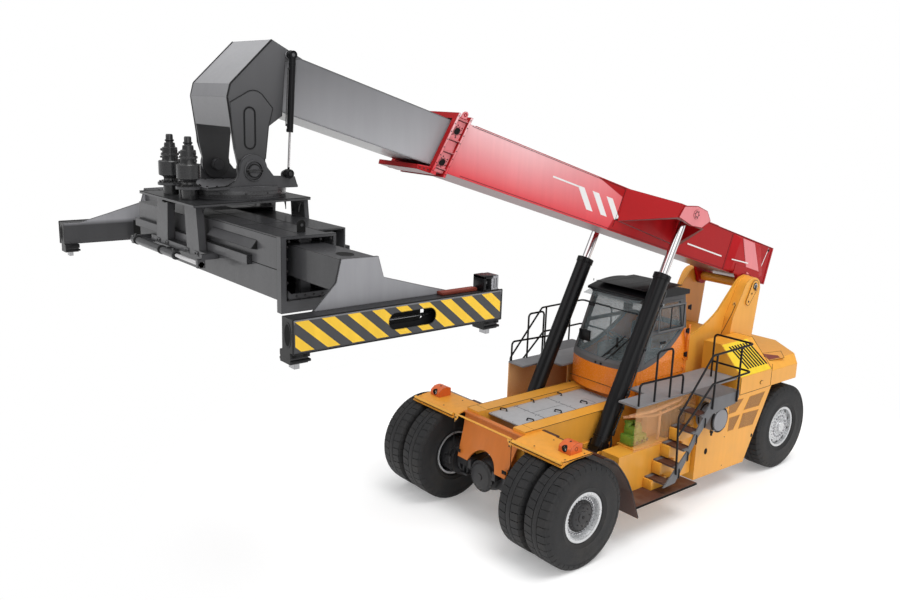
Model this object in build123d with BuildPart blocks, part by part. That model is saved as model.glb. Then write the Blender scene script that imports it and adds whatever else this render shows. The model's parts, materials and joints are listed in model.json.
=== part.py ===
"""Container reach stacker: chassis, cab, telescopic boom, rotator head and telescopic spreader.

Millimetres, +Z up, ground at z = 0. The machine faces -Y and +X is its left side. Every height is above
the ground and every length along Y is counted back from the front axle; the planes below put the front
axle where the whole machine's bounding box is centred on the origin.
"""
import os
from math import atan2, cos, degrees, hypot, radians, sin

from build123d import *

os.makedirs("parts", exist_ok=True)

# ---------------------------------------------------------------- driving dimensions
front_axle_y = -690.0
wheelbase = 6000.0

tower_inner = 520.0
tower_outer = 740.0

tyre_radius = 830.0
tyre_width = 500.0
bead_radius = 385.0
rim_wall = 34.0
dual_spacing = 560.0
front_outer_wheel_x = 1775.0
rear_wheel_x = 1390.0
kingpin_x = 1000.0
bearing_gap = 0.5
seat_gap = 0.3

rail_inner = 420.0
rail_outer = 700.0
rail_bottom = 1010.0
rail_top = 1760.0
rail_wall = 25.0
rail_end = 4600.0
deck_top = 1700.0
walkway_top = 2080.0
body_half_width = 1600.0

boom_angle = 16.45
boom_pivot_y = 5957.0
boom_pivot_z = 3459.0
outer_half_width = 420.0
outer_height = 757.0
outer_bottom = 125.0
outer_rear = -867.0
outer_front = 8083.0
outer_wall = 14.0
inner_half_width = 350.0
inner_height = 680.0
inner_bottom = 173.0
inner_rear = 1550.0
inner_wall = 14.0
head_start = 10388.0
wing_outer = 1075.0

lift_base_y = 1458.0
lift_base_z = 1079.0
lift_eye_s = 2936.0
lift_eye_h = 781.0
lift_barrel_radius = 140.0
lift_clearance = 35.0
lift_x = rail_outer + lift_clearance + lift_barrel_radius
lift_rod_radius = 75.0
lift_barrel_length = 3260.0
lift_pin_radius = 70.0

hang_y = -4515.0
tilt_pin_z = 5930.0
tilt_pin_radius = 70.0
damper_x = 600.0
damper_top_y = -4030.0
damper_top_z = 7250.0
damper_foot_y = -4100.0
damper_foot_z = 5875.0

ring_radius = 620.0
ring_bottom = 5600.0
ring_top = 5720.0
table_thickness = 30.0

shift_z = 4937.0
shift_rod_radius = 22.0
box_half_length = 2300.0
lane_tail = 1600.0
lane_low_top = 5370.0
lane_step = 60.0
box_half_depth = 575.0
box_bottom = 4780.0
box_top = 5430.0
box_wall = 16.0
beam_offset = 285.0
beam_half_depth = 185.0
beam_bottom = 5030.0
beam_top = 5350.0
end_beam_inner = 3200.0
end_beam_outer = 3400.0
end_beam_half = 1220.0
end_beam_shift = 120.0
beam_tail = 1500.0
end_beam_bottom = 4600.0
end_beam_top = 4910.0
lock_x = 3250.0
lock_y = 1129.5
lock_tip_z = 4430.0

cab_front_y = 2500.0
cab_rear_y = 3960.0
cab_half_width = 745.0
cab_roof_half_width = 620.0
cab_floor_z = 1800.0
cab_waist_z = 2380.0
cab_roof_z = 3520.0
cab_wall = 40.0

SIDES = ((1, "left"), (-1, "right"))


# ---------------------------------------------------------------- working planes
def side(x=0.0):
    """Side view at x: local x runs back from the front axle, local y is height."""
    return Plane(origin=(x, front_axle_y, 0), x_dir=(0, 1, 0), z_dir=(1, 0, 0))


def level(z=0.0):
    """Plan view at height z: local x is +X, local y runs back from the front axle."""
    return Plane(origin=(0, front_axle_y, z))


def facing(y=0.0):
    """Front view at y: local x is +X, local y is height, the normal points forward."""
    return Plane(origin=(0, front_axle_y + y, 0), x_dir=(1, 0, 0), z_dir=(0, -1, 0))


def boom_side(x=0.0):
    """Side view of the boom: local x runs forward along it from the pivot, local y is up from it."""
    lean = radians(boom_angle)
    return Plane(
        origin=(x, front_axle_y + boom_pivot_y, boom_pivot_z),
        x_dir=(0, -cos(lean), sin(lean)),
        z_dir=(-1, 0, 0),
    )


def boom_section(s):
    """Cross-section of the boom at s: local x is +X, local y is up, the normal points back."""
    lean = radians(boom_angle)
    return Plane(
        origin=(0, front_axle_y + boom_pivot_y - s * cos(lean), boom_pivot_z + s * sin(lean)),
        x_dir=(1, 0, 0),
        z_dir=(0, -cos(lean), sin(lean)),
    )


def spread_end(x):
    """End view of the spreader at x: local x runs back from its centre, local y is height."""
    return Plane(origin=(x, front_axle_y + hang_y, 0), x_dir=(0, 1, 0), z_dir=(1, 0, 0))


def at(x, y, z):
    """A point from its x, its length back from the front axle and its height."""
    return (x, front_axle_y + y, z)


def save(part, name):
    """Label the finished piece and write it under its own name."""
    part.label = name
    export_step(part, "parts/" + name + ".step")


# ---------------------------------------------------------------- wheels
def tyre_section(centre_x):
    """Closed outline of one tyre in a plane whose local origin is on the axle."""
    half = tyre_width / 2
    tread_half = half - 60
    bead_half = half - 50
    Polyline((centre_x - bead_half, bead_radius), (centre_x + bead_half, bead_radius))
    ThreePointArc(
        (centre_x + bead_half, bead_radius),
        (centre_x + half, (bead_radius + tyre_radius) / 2),
        (centre_x + half - 28, tyre_radius - 45),
    )
    Polyline(
        (centre_x + half - 28, tyre_radius - 45),
        (centre_x + tread_half, tyre_radius),
        (centre_x - tread_half, tyre_radius),
        (centre_x - half + 28, tyre_radius - 45),
    )
    ThreePointArc(
        (centre_x - half + 28, tyre_radius - 45),
        (centre_x - half, (bead_radius + tyre_radius) / 2),
        (centre_x - bead_half, bead_radius),
    )


def axle_plane(y):
    """Front view with its origin on the axle line."""
    return Plane(origin=at(0, y, tyre_radius), x_dir=(1, 0, 0), z_dir=(0, -1, 0))


def axle_line(y):
    return Axis(at(0, y, tyre_radius), (1, 0, 0))


hub_radius = 250.0
spindle_radius = 120.0
spindle_end = 1880.0
housing_radius = 300.0
housing_end = 1080.0
front_inner_wheel_x = front_outer_wheel_x - dual_spacing
rim_radius = bead_radius - seat_gap
rim_bore = rim_radius - rim_wall
rim_half = tyre_width / 2 - 50

for sign, hand in SIDES:
    with BuildPart() as front_tyres:
        for wheel_x in (front_inner_wheel_x, front_outer_wheel_x):
            with BuildSketch(axle_plane(0)):
                with BuildLine():
                    tyre_section(sign * wheel_x)
                make_face()
            revolve(axis=axle_line(0))
    save(front_tyres.part, "front_tyres_" + hand)

    with BuildPart() as front_rims:
        with BuildSketch(axle_plane(0)):
            with BuildLine():
                Polyline(
                    (sign * (front_inner_wheel_x - rim_half), rim_radius),
                    (sign * (front_outer_wheel_x + rim_half), rim_radius),
                    (sign * (front_outer_wheel_x + rim_half), rim_bore),
                    (sign * (front_outer_wheel_x + 120), rim_bore),
                    (sign * (front_outer_wheel_x + 120), hub_radius),
                    (sign * (front_outer_wheel_x + 150), hub_radius),
                    (sign * (front_outer_wheel_x + 150), 0),
                    (sign * (spindle_end + 5), 0),
                    (sign * (spindle_end + 5), spindle_radius + bearing_gap),
                    (sign * (housing_end + 5), spindle_radius + bearing_gap),
                    (sign * (housing_end + 5), hub_radius),
                    (sign * (front_outer_wheel_x + 90), hub_radius),
                    (sign * (front_outer_wheel_x + 90), rim_bore),
                    (sign * (front_inner_wheel_x - rim_half), rim_bore),
                    close=True,
                )
            make_face()
        revolve(axis=axle_line(0))
    save(front_rims.part, "front_rims_" + hand)

rear_spindle_radius = 90.0
rear_spindle_end = 1560.0
rear_hub_radius = 160.0
knuckle_half = 110.0
kingpin_radius = 50.0
arm_height = 60.0
rear_beam_bottom = 640.0
rear_beam_top = 1010.0
fork_root = kingpin_x - 160.0

for sign, hand in SIDES:
    with BuildPart() as rear_tyre:
        with BuildSketch(axle_plane(wheelbase)):
            with BuildLine():
                tyre_section(sign * rear_wheel_x)
            make_face()
        revolve(axis=axle_line(wheelbase))
    save(rear_tyre.part, "rear_tyre_" + hand)

    with BuildPart() as rear_wheel:
        with BuildSketch(axle_plane(wheelbase)):
            with BuildLine():
                Polyline(
                    (sign * (rear_wheel_x - rim_half), rim_radius),
                    (sign * (rear_wheel_x + rim_half), rim_radius),
                    (sign * (rear_wheel_x + rim_half), rim_bore),
                    (sign * (rear_wheel_x + 140), rim_bore),
                    (sign * (rear_wheel_x + 140), rear_hub_radius),
                    (sign * (rear_wheel_x + 215), rear_hub_radius - 40),
                    (sign * (rear_wheel_x + 215), 0),
                    (sign * (rear_spindle_end + 5), 0),
                    (sign * (rear_spindle_end + 5), rear_spindle_radius + bearing_gap),
                    (sign * (rear_wheel_x + 20), rear_spindle_radius + bearing_gap),
                    (sign * (rear_wheel_x + 20), rear_hub_radius),
                    (sign * (rear_wheel_x + 110), rear_hub_radius),
                    (sign * (rear_wheel_x + 110), rim_bore),
                    (sign * (rear_wheel_x - rim_half), rim_bore),
                    close=True,
                )
            make_face()
        revolve(axis=axle_line(wheelbase))
    save(rear_wheel.part, "rear_wheel_" + hand)

    with BuildPart() as knuckle:
        with Locations(at(sign * kingpin_x, wheelbase, (rear_beam_bottom + rear_beam_top) / 2)):
            Box(2 * 100, 2 * knuckle_half, rear_beam_top - rear_beam_bottom - 2 * arm_height - 10)
        with BuildSketch(level(rear_beam_bottom)):
            with Locations((sign * kingpin_x, wheelbase)):
                Circle(kingpin_radius)
        extrude(amount=rear_beam_top - rear_beam_bottom)
        knuckle_face = at(sign * (kingpin_x + 90), wheelbase, tyre_radius)
        with BuildSketch(Plane(origin=knuckle_face, z_dir=(sign, 0, 0))):
            Circle(rear_spindle_radius)
        extrude(amount=rear_spindle_end - kingpin_x - 90)
    save(knuckle.part, "rear_knuckle_" + hand)

# ---------------------------------------------------------------- axles
with BuildPart() as front_axle:
    with Locations(at(0, 0, tyre_radius)):
        Box(2 * 780, 300, 320)
        Sphere(290)
    with BuildSketch(facing(420)):
        with Locations((0, tyre_radius)):
            Circle(220)
    extrude(amount=700)
    for sign, hand in SIDES:
        with Locations(at(sign * (rail_inner + rail_outer) / 2, 0, (tyre_radius + rail_bottom) / 2)):
            Box(rail_outer - rail_inner - 40, 440, rail_bottom - tyre_radius)
        with BuildSketch(Plane(origin=at(sign * (rail_outer + 20), 0, tyre_radius), z_dir=(sign, 0, 0))):
            Circle(housing_radius)
        extrude(amount=housing_end - rail_outer - 20)
        with BuildSketch(Plane(origin=at(sign * housing_end, 0, tyre_radius), z_dir=(sign, 0, 0))):
            Circle(spindle_radius)
        extrude(amount=spindle_end - housing_end)
save(front_axle.part, "front_axle")

with BuildPart() as rear_axle:
    with Locations(at(0, wheelbase, (rear_beam_bottom + rear_beam_top) / 2)):
        Box(2 * fork_root, 300, rear_beam_top - rear_beam_bottom)
        Box(2 * (fork_root - 60), 150, rear_beam_top - rear_beam_bottom - 80, mode=Mode.SUBTRACT)
    for sign, hand in SIDES:
        for arm_z in (rear_beam_bottom, rear_beam_top - arm_height):
            with BuildSketch(level(arm_z)):
                with Locations((sign * (fork_root + kingpin_x) / 2, wheelbase)):
                    Rectangle(kingpin_x - fork_root, 200)
                with Locations((sign * kingpin_x, wheelbase)):
                    Circle(100)
                    Circle(kingpin_radius + bearing_gap, mode=Mode.SUBTRACT)
            extrude(amount=arm_height)
save(rear_axle.part, "rear_axle")

# ---------------------------------------------------------------- chassis
rear_box_half = 400.0
body_low = 1765.0
rear_box_bottom = 1110.0
rear_box_top = 1700.0
rear_box_start = rail_end - 60
rear_box_end = 6480.0
lift_ear_outer = lift_x + 140

with BuildPart() as chassis_frame:
    for sign, hand in SIDES:
        with BuildSketch(side(sign * rail_inner)):
            Polygon(
                (-30, rail_bottom), (rail_end, rail_bottom), (rail_end, rail_top), (-30, rail_top), align=None
            )
            Polygon(
                (-30 + rail_wall, rail_bottom + rail_wall),
                (rail_end - rail_wall, rail_bottom + rail_wall),
                (rail_end - rail_wall, rail_top - rail_wall),
                (-30 + rail_wall, rail_top - rail_wall),
                align=None,
                mode=Mode.SUBTRACT,
            )
        extrude(amount=sign * (rail_outer - rail_inner))
        for web_x in (rail_inner, rail_outer - rail_wall):
            with BuildSketch(side(sign * web_x)):
                Polygon(
                    (-30, rail_bottom),
                    (rail_end, rail_bottom),
                    (rail_end, rail_top),
                    (-30, rail_top),
                    align=None,
                )
            extrude(amount=sign * rail_wall)
        with Locations(at(sign * (rail_outer + lift_ear_outer) / 2, lift_base_y, lift_base_z - 170)):
            Box(lift_ear_outer - rail_outer, 300, 30)
        with BuildSketch(side(sign * (lift_ear_outer - 30))):
            with Locations((lift_base_y, lift_base_z)):
                Circle(130)
            with Locations((lift_base_y, lift_base_z - 92)):
                Rectangle(260, 184)
        extrude(amount=sign * 30)
        with Locations(at(sign * (rail_outer + 15), lift_base_y, lift_base_z)):
            Box(30, 260, 370)
        with BuildSketch(side(sign * (rail_outer - 5))):
            with Locations((lift_base_y, lift_base_z)):
                Circle(lift_pin_radius)
        extrude(amount=sign * (lift_ear_outer - rail_outer + 5))
    for cross_y in (20.0, 1250.0, 2450.0, rail_end - 60):
        with Locations(at(0, cross_y, 1400)):
            Box(2 * rail_inner, 40, 500)
    with Locations(at(0, (rear_box_start + rear_box_end) / 2, (rear_box_bottom + rear_box_top) / 2)):
        Box(2 * rear_box_half, rear_box_end - rear_box_start, rear_box_top - rear_box_bottom)
        Box(
            2 * (rear_box_half - rail_wall),
            rear_box_end - rear_box_start - 80,
            rear_box_top - rear_box_bottom - 2 * rail_wall,
            mode=Mode.SUBTRACT,
        )
    # deck under the towers, and the raised middle that carries the engine and the counterweight
    with Locations(at(0, (rail_end + rear_box_end) / 2, (rear_box_top + rail_top) / 2)):
        Box(2 * tower_outer, rear_box_end - rail_end, rail_top - rear_box_top)
    with Locations(at(0, (rail_end + rear_box_end) / 2, (rear_box_top + body_low - seat_gap) / 2)):
        Box(2 * (tower_inner - 10), rear_box_end - rail_end, body_low - seat_gap - rear_box_top)
    for hanger_y in (wheelbase - 150 - 40, wheelbase + 150):
        with BuildSketch(facing(hanger_y + 40)):
            with Locations((0, (rear_box_bottom + rear_beam_bottom + 100) / 2)):
                Rectangle(440, rear_box_bottom - rear_beam_bottom - 100)
        extrude(amount=40)
save(chassis_frame.part, "chassis_frame")

plate_top_y = -67.0
plate_bottom_y = -314.0
plate_bottom_z = 999.0
plate_lean = atan2(plate_top_y - plate_bottom_y, 1697 - plate_bottom_z)
plate_height = hypot(plate_top_y - plate_bottom_y, 1697 - plate_bottom_z)
lean_plane = Plane(
    origin=at(0, plate_top_y, 1697), x_dir=(1, 0, 0), z_dir=(0, -cos(plate_lean), sin(plate_lean))
)
with BuildPart() as front_plate:
    with BuildSketch(lean_plane):
        with BuildLine():
            Polyline(
                (-330, -plate_height),
                (-576, -plate_height),
                (-640, -260),
                (-695, 0),
                (695, 0),
                (640, -260),
                (576, -plate_height),
                (330, -plate_height),
            )
            ThreePointArc((330, -plate_height), (0, -plate_height + 270), (-330, -plate_height))
        make_face()
    extrude(amount=-25)
    for sign, hand in SIDES:
        with BuildSketch(side(sign * 500)):
            Polygon(
                (-30.3, rail_bottom + 20),
                (-30.3, 1690),
                (plate_top_y + 10, 1690),
                (plate_bottom_y + 22, rail_bottom + 20),
                align=None,
            )
        extrude(amount=sign * 30)
    with Locations(at(0, -75, 1707)):
        Box(2 * 695, 89.4, 20)
save(front_plate.part, "front_plate")

guard_radius = tyre_radius + 35
guard_sheet = 20.0
guard_top = tyre_radius + guard_radius
fender_outer = 2030.0
fender_plate_outer = 1800.0
arch_start = 300.0
with BuildPart() as mudguards:
    for sign, hand in SIDES:
        with BuildSketch(side(sign * rail_outer)):
            with BuildLine():
                front_drop = (-340, tyre_radius + (guard_radius**2 - 340**2) ** 0.5)
                Polyline((60, guard_top), (0, guard_top))
                ThreePointArc(
                    (0, guard_top),
                    (-180, tyre_radius + (guard_radius**2 - 180**2) ** 0.5),
                    front_drop,
                )
                outer = guard_radius + guard_sheet
                Polyline(front_drop, (-348, tyre_radius + (outer**2 - 348**2) ** 0.5))
                ThreePointArc(
                    (-348, tyre_radius + (outer**2 - 348**2) ** 0.5),
                    (-180, tyre_radius + (outer**2 - 180**2) ** 0.5),
                    (0, guard_top + guard_sheet),
                )
                Polyline((0, guard_top + guard_sheet), (60, guard_top + guard_sheet), (60, guard_top))
            make_face()
        extrude(amount=sign * (fender_plate_outer - rail_outer))
        with BuildSketch(side(sign * 1010)):
            with BuildLine():
                ThreePointArc((arch_start, guard_top), (500, 1612), (670, 1470))
                ThreePointArc((670, 1470), (890, 1200), (1020, 975))
                Polyline((1020, 975), (1225, 470), (1245, 478), (1040, 983))
                ThreePointArc((1040, 983), (908, 1212), (685, 1484))
                ThreePointArc((685, 1484), (512, 1632), (arch_start, guard_top + guard_sheet))
                Polyline((arch_start, guard_top + guard_sheet), (arch_start, guard_top))
            make_face()
        extrude(amount=sign * (fender_outer - 1010))
        with BuildSketch(side(sign * rail_outer)):
            with Locations((200, guard_top + guard_sheet / 2)):
                Rectangle(400, guard_sheet)
        extrude(amount=sign * (1030 - rail_outer))
        with BuildSketch(side(sign * 1010)):
            with Locations((arch_start / 2 + 5, guard_top + guard_sheet / 2)):
                Rectangle(arch_start + 10, guard_sheet)
        extrude(amount=sign * (fender_plate_outer - 1010))
save(mudguards.part, "mudguards")

lamp_inner = 1440.0
with BuildPart() as headlamps:
    for sign, hand in SIDES:
        with BuildSketch(side(sign * lamp_inner)):
            with BuildLine():
                lamp_base = guard_top + guard_sheet + seat_gap
                Polyline((210, 1850), (210, lamp_base), (-50, lamp_base), (-50, 1800))
                ThreePointArc((-50, 1800), (60, 1868), (210, 1850))
            make_face()
        extrude(amount=sign * 240)
        with BuildSketch(facing(-50)):
            with Locations((sign * (lamp_inner + 120), 1788)):
                Circle(48)
        extrude(amount=-120, mode=Mode.SUBTRACT)
save(headlamps.part, "headlamps")

with BuildPart() as deck_plates:
    with Locations(at(0, 1335, deck_top - 10)):
        Box(2 * (rail_inner - seat_gap), 2270, 20)
save(deck_plates.part, "deck_plates")

walk_start = 2310.0
walk_end = 4440.0
walk_inner = 800.0
walk_outer = 1520.0
tank_bottom = 560.0
with BuildPart() as walkways:
    for sign, hand in SIDES:
        with BuildSketch(level(walkway_top - 30)):
            Polygon(
                (sign * walk_inner, walk_start),
                (sign * 1130, walk_start),
                (sign * 1130, 1650),
                (sign * walk_outer, 1650),
                (sign * walk_outer, walk_end),
                (sign * walk_inner, walk_end),
                align=None,
            )
        extrude(amount=30)
save(walkways.part, "walkways")

with BuildPart() as side_covers:
    for sign, hand in SIDES:
        with BuildSketch(side(sign * (walk_outer - 20))):
            Polygon(
                (1650, 1300),
                (3240, 1300),
                (3240, walkway_top - 30),
                (1650, walkway_top - 30),
                align=None,
            )
        extrude(amount=sign * 20)
save(side_covers.part, "side_covers")

with BuildPart() as side_tanks:
    for sign, hand in SIDES:
        with BuildSketch(side(sign * (rail_outer + seat_gap))):
            Polygon(
                (2350, tank_bottom),
                (3240, tank_bottom),
                (3240, 1299.7),
                (2350, 1299.7),
                align=None,
            )
        extrude(amount=sign * (walk_outer - rail_outer))
        with BuildSketch(side(sign * 1150)):
            Polygon(
                (1290, tank_bottom),
                (2360, tank_bottom),
                (2360, 1299.7),
                (1290, 1299.7),
                align=None,
            )
        extrude(amount=sign * (walk_outer - 1150))
save(side_tanks.part, "side_tanks")

# ---------------------------------------------------------------- rear body
panel_start = 3260.0
with BuildPart() as side_panels:
    for sign, hand in SIDES:
        with BuildSketch(side(sign * (body_half_width - 40))):
            Polygon(
                (panel_start, 430),
                (wheelbase - 1210, 400),
                (wheelbase - 510, body_low - seat_gap),
                (4165, body_low - seat_gap),
                (4165, 1970),
                (panel_start, 1970),
                align=None,
            )
        extrude(amount=sign * 40)
        with Locations(at(sign * (rail_outer + body_half_width) / 2, panel_start + 15, 1110)):
            Box(body_half_width - rail_outer - 0.4, 30, 1360)
save(side_panels.part, "side_panels")

hood_front = 4450.0
hood_rear = 5449.7
hood_top = 2600.0
hood_edge = 2090.0
hood_flat = 1120.0
weight_top = 2200.0
weight_end = 7030.0


def hood_section(inset):
    """Front view of the hood, drawn in by inset and open below."""
    half = body_half_width - inset
    return (
        (-half, body_low - 2 * inset),
        (half, body_low - 2 * inset),
        (half, hood_edge - inset / 2),
        (hood_flat, hood_top - inset),
        (-hood_flat, hood_top - inset),
        (-half, hood_edge - inset / 2),
    )


with BuildPart() as engine_hood:
    with BuildSketch(facing(hood_rear)):
        Polygon(*hood_section(0), align=None)
    extrude(amount=hood_rear - hood_front)
    with BuildSketch(facing(hood_rear + 1)):
        Polygon(*hood_section(30), align=None)
    extrude(amount=hood_rear - hood_front - 29, mode=Mode.SUBTRACT)
    # slots for the two boom towers
    for sign, hand in SIDES:
        with Locations(at(sign * (tower_inner + tower_outer) / 2, (hood_front + hood_rear) / 2, 2200)):
            Box(tower_outer - tower_inner + 12, hood_rear - hood_front + 40, 900, mode=Mode.SUBTRACT)
save(engine_hood.part, "engine_hood")

with BuildPart() as counterweight:
    with BuildSketch(level(body_low)):
        Polygon(
            (-body_half_width, 5450),
            (body_half_width, 5450),
            (body_half_width, 6340),
            (700, weight_end),
            (-700, weight_end),
            (-body_half_width, 6340),
            align=None,
        )
    extrude(amount=weight_top - body_low)
    for sign, hand in SIDES:
        with BuildSketch(facing(weight_end + 50)):
            Polygon(
                (sign * (body_half_width + 1), weight_top - 150),
                (sign * (body_half_width + 1), weight_top + 1),
                (sign * (body_half_width - 150), weight_top + 1),
                align=None,
            )
        extrude(amount=weight_end, mode=Mode.SUBTRACT)
        with Locations(at(sign * (tower_inner + tower_outer) / 2, 5770, 2150)):
            Box(tower_outer - tower_inner + 12, 660, 800, mode=Mode.SUBTRACT)
save(counterweight.part, "counterweight")

with BuildPart() as engine_block:
    with Locations(at(0, 4990, body_low + 260)):
        Box(840, 800, 520)
save(engine_block.part, "engine_block")

# ---------------------------------------------------------------- boom towers
boom_pin_radius = 90.0
with BuildPart() as boom_towers:
    for sign, hand in SIDES:
        with BuildSketch(side(sign * tower_inner)):
            with BuildLine():
                Polyline((5990, rail_top), (4020, rail_top), (4020, 2620), (4180, 2650))
                ThreePointArc((4180, 2650), (4700, 2810), (5110, 3050))
                Polyline((5110, 3050), (5620, 3560))
                ThreePointArc((5620, 3560), (5860, 3650), (6150, 3560))
                Polyline((6150, 3560), (6190, 3400), (5990, rail_top))
            make_face()
        extrude(amount=sign * 40)
        with BuildSketch(side(sign * (tower_inner + 40))):
            with BuildLine():
                Polyline((5960, rail_top), (5120, rail_top), (5330, 2900), (5640, 3480))
                ThreePointArc((5640, 3480), (5880, 3630), (6130, 3530))
                Polyline((6130, 3530), (6170, 3400), (5960, rail_top))
            make_face()
        extrude(amount=sign * (tower_outer - tower_inner - 40))
    with BuildSketch(side(-(tower_inner + 10))):
        with Locations((boom_pivot_y, boom_pivot_z)):
            Circle(boom_pin_radius)
    extrude(amount=2 * (tower_inner + 10))
save(boom_towers.part, "boom_towers")

# ---------------------------------------------------------------- boom
lug_inner = 430.0
lug_outer = 500.0
collar_rear = 7815.0
collar_lean = 0.25
collar_front_flange = 40.0


def lean_back(height):
    """How far the slanting collar lies behind its middle at a height above the boom's axis."""
    return (height - outer_bottom - outer_height / 2) * collar_lean


def collar_slice(start, length, proud):
    """Side outline of one slanting slice of the collar."""
    high = outer_bottom + outer_height + proud
    low = outer_bottom - proud
    Polygon(
        (start - lean_back(high), high),
        (start + length - lean_back(high), high),
        (start + length - lean_back(low), low),
        (start - lean_back(low), low),
        align=None,
    )


with BuildPart() as collar:
    for flange_s, flange_length, proud in (
        (collar_rear, collar_front_flange, 75),
        (collar_rear, outer_front - collar_rear, 30),
        (outer_front - collar_front_flange, collar_front_flange, 75),
    ):
        with BuildSketch(boom_side(0)):
            collar_slice(flange_s, flange_length, proud)
        extrude(amount=outer_half_width + proud, both=True)
    with BuildSketch(boom_section(collar_rear - 300)):
        with Locations((0, outer_bottom + outer_height / 2)):
            Rectangle(2 * outer_half_width, outer_height)
    extrude(amount=outer_front - collar_rear + 600, mode=Mode.SUBTRACT)

pad_gap = 0.5
with BuildPart() as outer_boom:
    with BuildSketch(boom_section(outer_rear)):
        with Locations((0, outer_bottom + outer_height / 2)):
            Rectangle(2 * outer_half_width, outer_height)
            Rectangle(2 * (outer_half_width - outer_wall), outer_height - 2 * outer_wall, mode=Mode.SUBTRACT)
    extrude(amount=outer_front - outer_rear + 200)
    # the tube ends on the slant of the front collar, which is two flanges joined by a sleeve
    with BuildSketch(boom_side(0)):
        collar_slice(outer_front, 1000, 200)
    extrude(amount=outer_half_width + 200, both=True, mode=Mode.SUBTRACT)
    add(collar.part)
    # wear pads that carry the inner boom
    with BuildSketch(boom_section(outer_front - 400)):
        with Locations((0, outer_bottom + outer_height / 2)):
            Rectangle(2 * (outer_half_width - outer_wall), outer_height - 2 * outer_wall)
        with Locations((0, inner_bottom + inner_height / 2)):
            Rectangle(2 * (inner_half_width + pad_gap), inner_height + 2 * pad_gap, mode=Mode.SUBTRACT)
    extrude(amount=250)
    # lower lip ahead of the collar
    with BuildSketch(boom_side(0)):
        Polygon(
            (outer_front - 20, outer_bottom - 75),
            (outer_front + 320, outer_bottom - 75),
            (outer_front + 320, outer_bottom - 10),
            (outer_front - 20, inner_bottom - 20),
            align=None,
        )
    extrude(amount=outer_half_width + 30, both=True)
    # foot lugs with the pivot bore
    for sign, hand in SIDES:
        with BuildSketch(boom_side(sign * lug_inner)):
            with BuildLine():
                Polyline((-360, outer_bottom + 60), (-150, -60))
                ThreePointArc((-150, -60), (0, -160), (150, -60))
                Polyline((150, -60), (360, outer_bottom + 60), (-360, outer_bottom + 60))
            make_face()
            Circle(boom_pin_radius + bearing_gap, mode=Mode.SUBTRACT)
        extrude(amount=-sign * (lug_outer - lug_inner))
        with BuildSketch(boom_side(sign * (outer_half_width - 1))):
            with Locations((0, outer_bottom + 100)):
                Rectangle(900, 200)
            Circle(boom_pin_radius + 150, mode=Mode.SUBTRACT)
        extrude(amount=-sign * (lug_outer - outer_half_width + 1))
    # lift cylinder brackets: a hollow wing each side, open below, with the rod's eye under its roof
    boom_top = outer_bottom + outer_height
    for sign, hand in SIDES:
        with BuildSketch(boom_side(sign * (outer_half_width - 5))):
            Polygon((4080, boom_top), (4090, 316), (2300, 245), (2400, boom_top), align=None)
        with BuildSketch(boom_side(sign * wing_outer)):
            Polygon((3390, boom_top - 22), (3400, 620), (2600, 600), (2560, boom_top - 22), align=None)
        loft()
        with BuildSketch(boom_side(sign * (outer_half_width + 22))):
            Polygon((4020, boom_top - 30), (4030, 80), (2420, 80), (2440, boom_top - 30), align=None)
        with BuildSketch(boom_side(sign * (wing_outer - 45))):
            Polygon((3350, boom_top - 52), (3360, 480), (2640, 480), (2600, boom_top - 52), align=None)
        loft(mode=Mode.SUBTRACT)
        with BuildSketch(boom_side(sign * (outer_half_width + 22))):
            with Locations((lift_eye_s + 65, boom_top)):
                Rectangle(480, 260)
        extrude(amount=-sign * (wing_outer - outer_half_width - 67), mode=Mode.SUBTRACT)
        with BuildSketch(boom_side(sign * (wing_outer - 45))):
            Polygon(
                (2931, 925),
                (2643, 907),
                (2481, 767),
                (2683, 598),
                (2975, 567),
                (3391, 626),
                (3303, 840),
                align=None,
            )
        extrude(amount=-sign * 55)
save(outer_boom.part, "outer_boom")

with BuildPart() as inner_boom:
    with BuildSketch(boom_section(inner_rear)):
        with Locations((0, inner_bottom + inner_height / 2)):
            Rectangle(2 * inner_half_width, inner_height)
            Rectangle(2 * (inner_half_width - inner_wall), inner_height - 2 * inner_wall, mode=Mode.SUBTRACT)
    extrude(amount=head_start + 330 - inner_rear)
save(inner_boom.part, "inner_boom")

# head: side cheeks, wrapped skins and the tilt bores
head_half = 500.0
cheek = 40.0
cheek_radius = 165.0


def head_outline(inset):
    """Side outline of the head, drawn in by inset."""
    Polyline(
        (-3850 - inset, 7214 - 1.0 * inset),
        (-4240, 7410 - 1.2 * inset),
        (-4770 + 1.0 * inset, 6900),
        (-4810 + inset, 6755),
        (-4730 + inset, 6180),
        (-4690 + inset, 6000),
    )
    ThreePointArc((-4690 + inset, 6000), (hang_y, tilt_pin_z - cheek_radius + inset), (-4350 - inset, 6000))
    Polyline(
        (-4350 - inset, 6000),
        (-4305 - inset, 6427),
        (-4120 - inset, 6555 + inset),
        (-4075 - inset, 7170),
        (-3850 - inset, 7214 - 1.0 * inset),
    )


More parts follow.
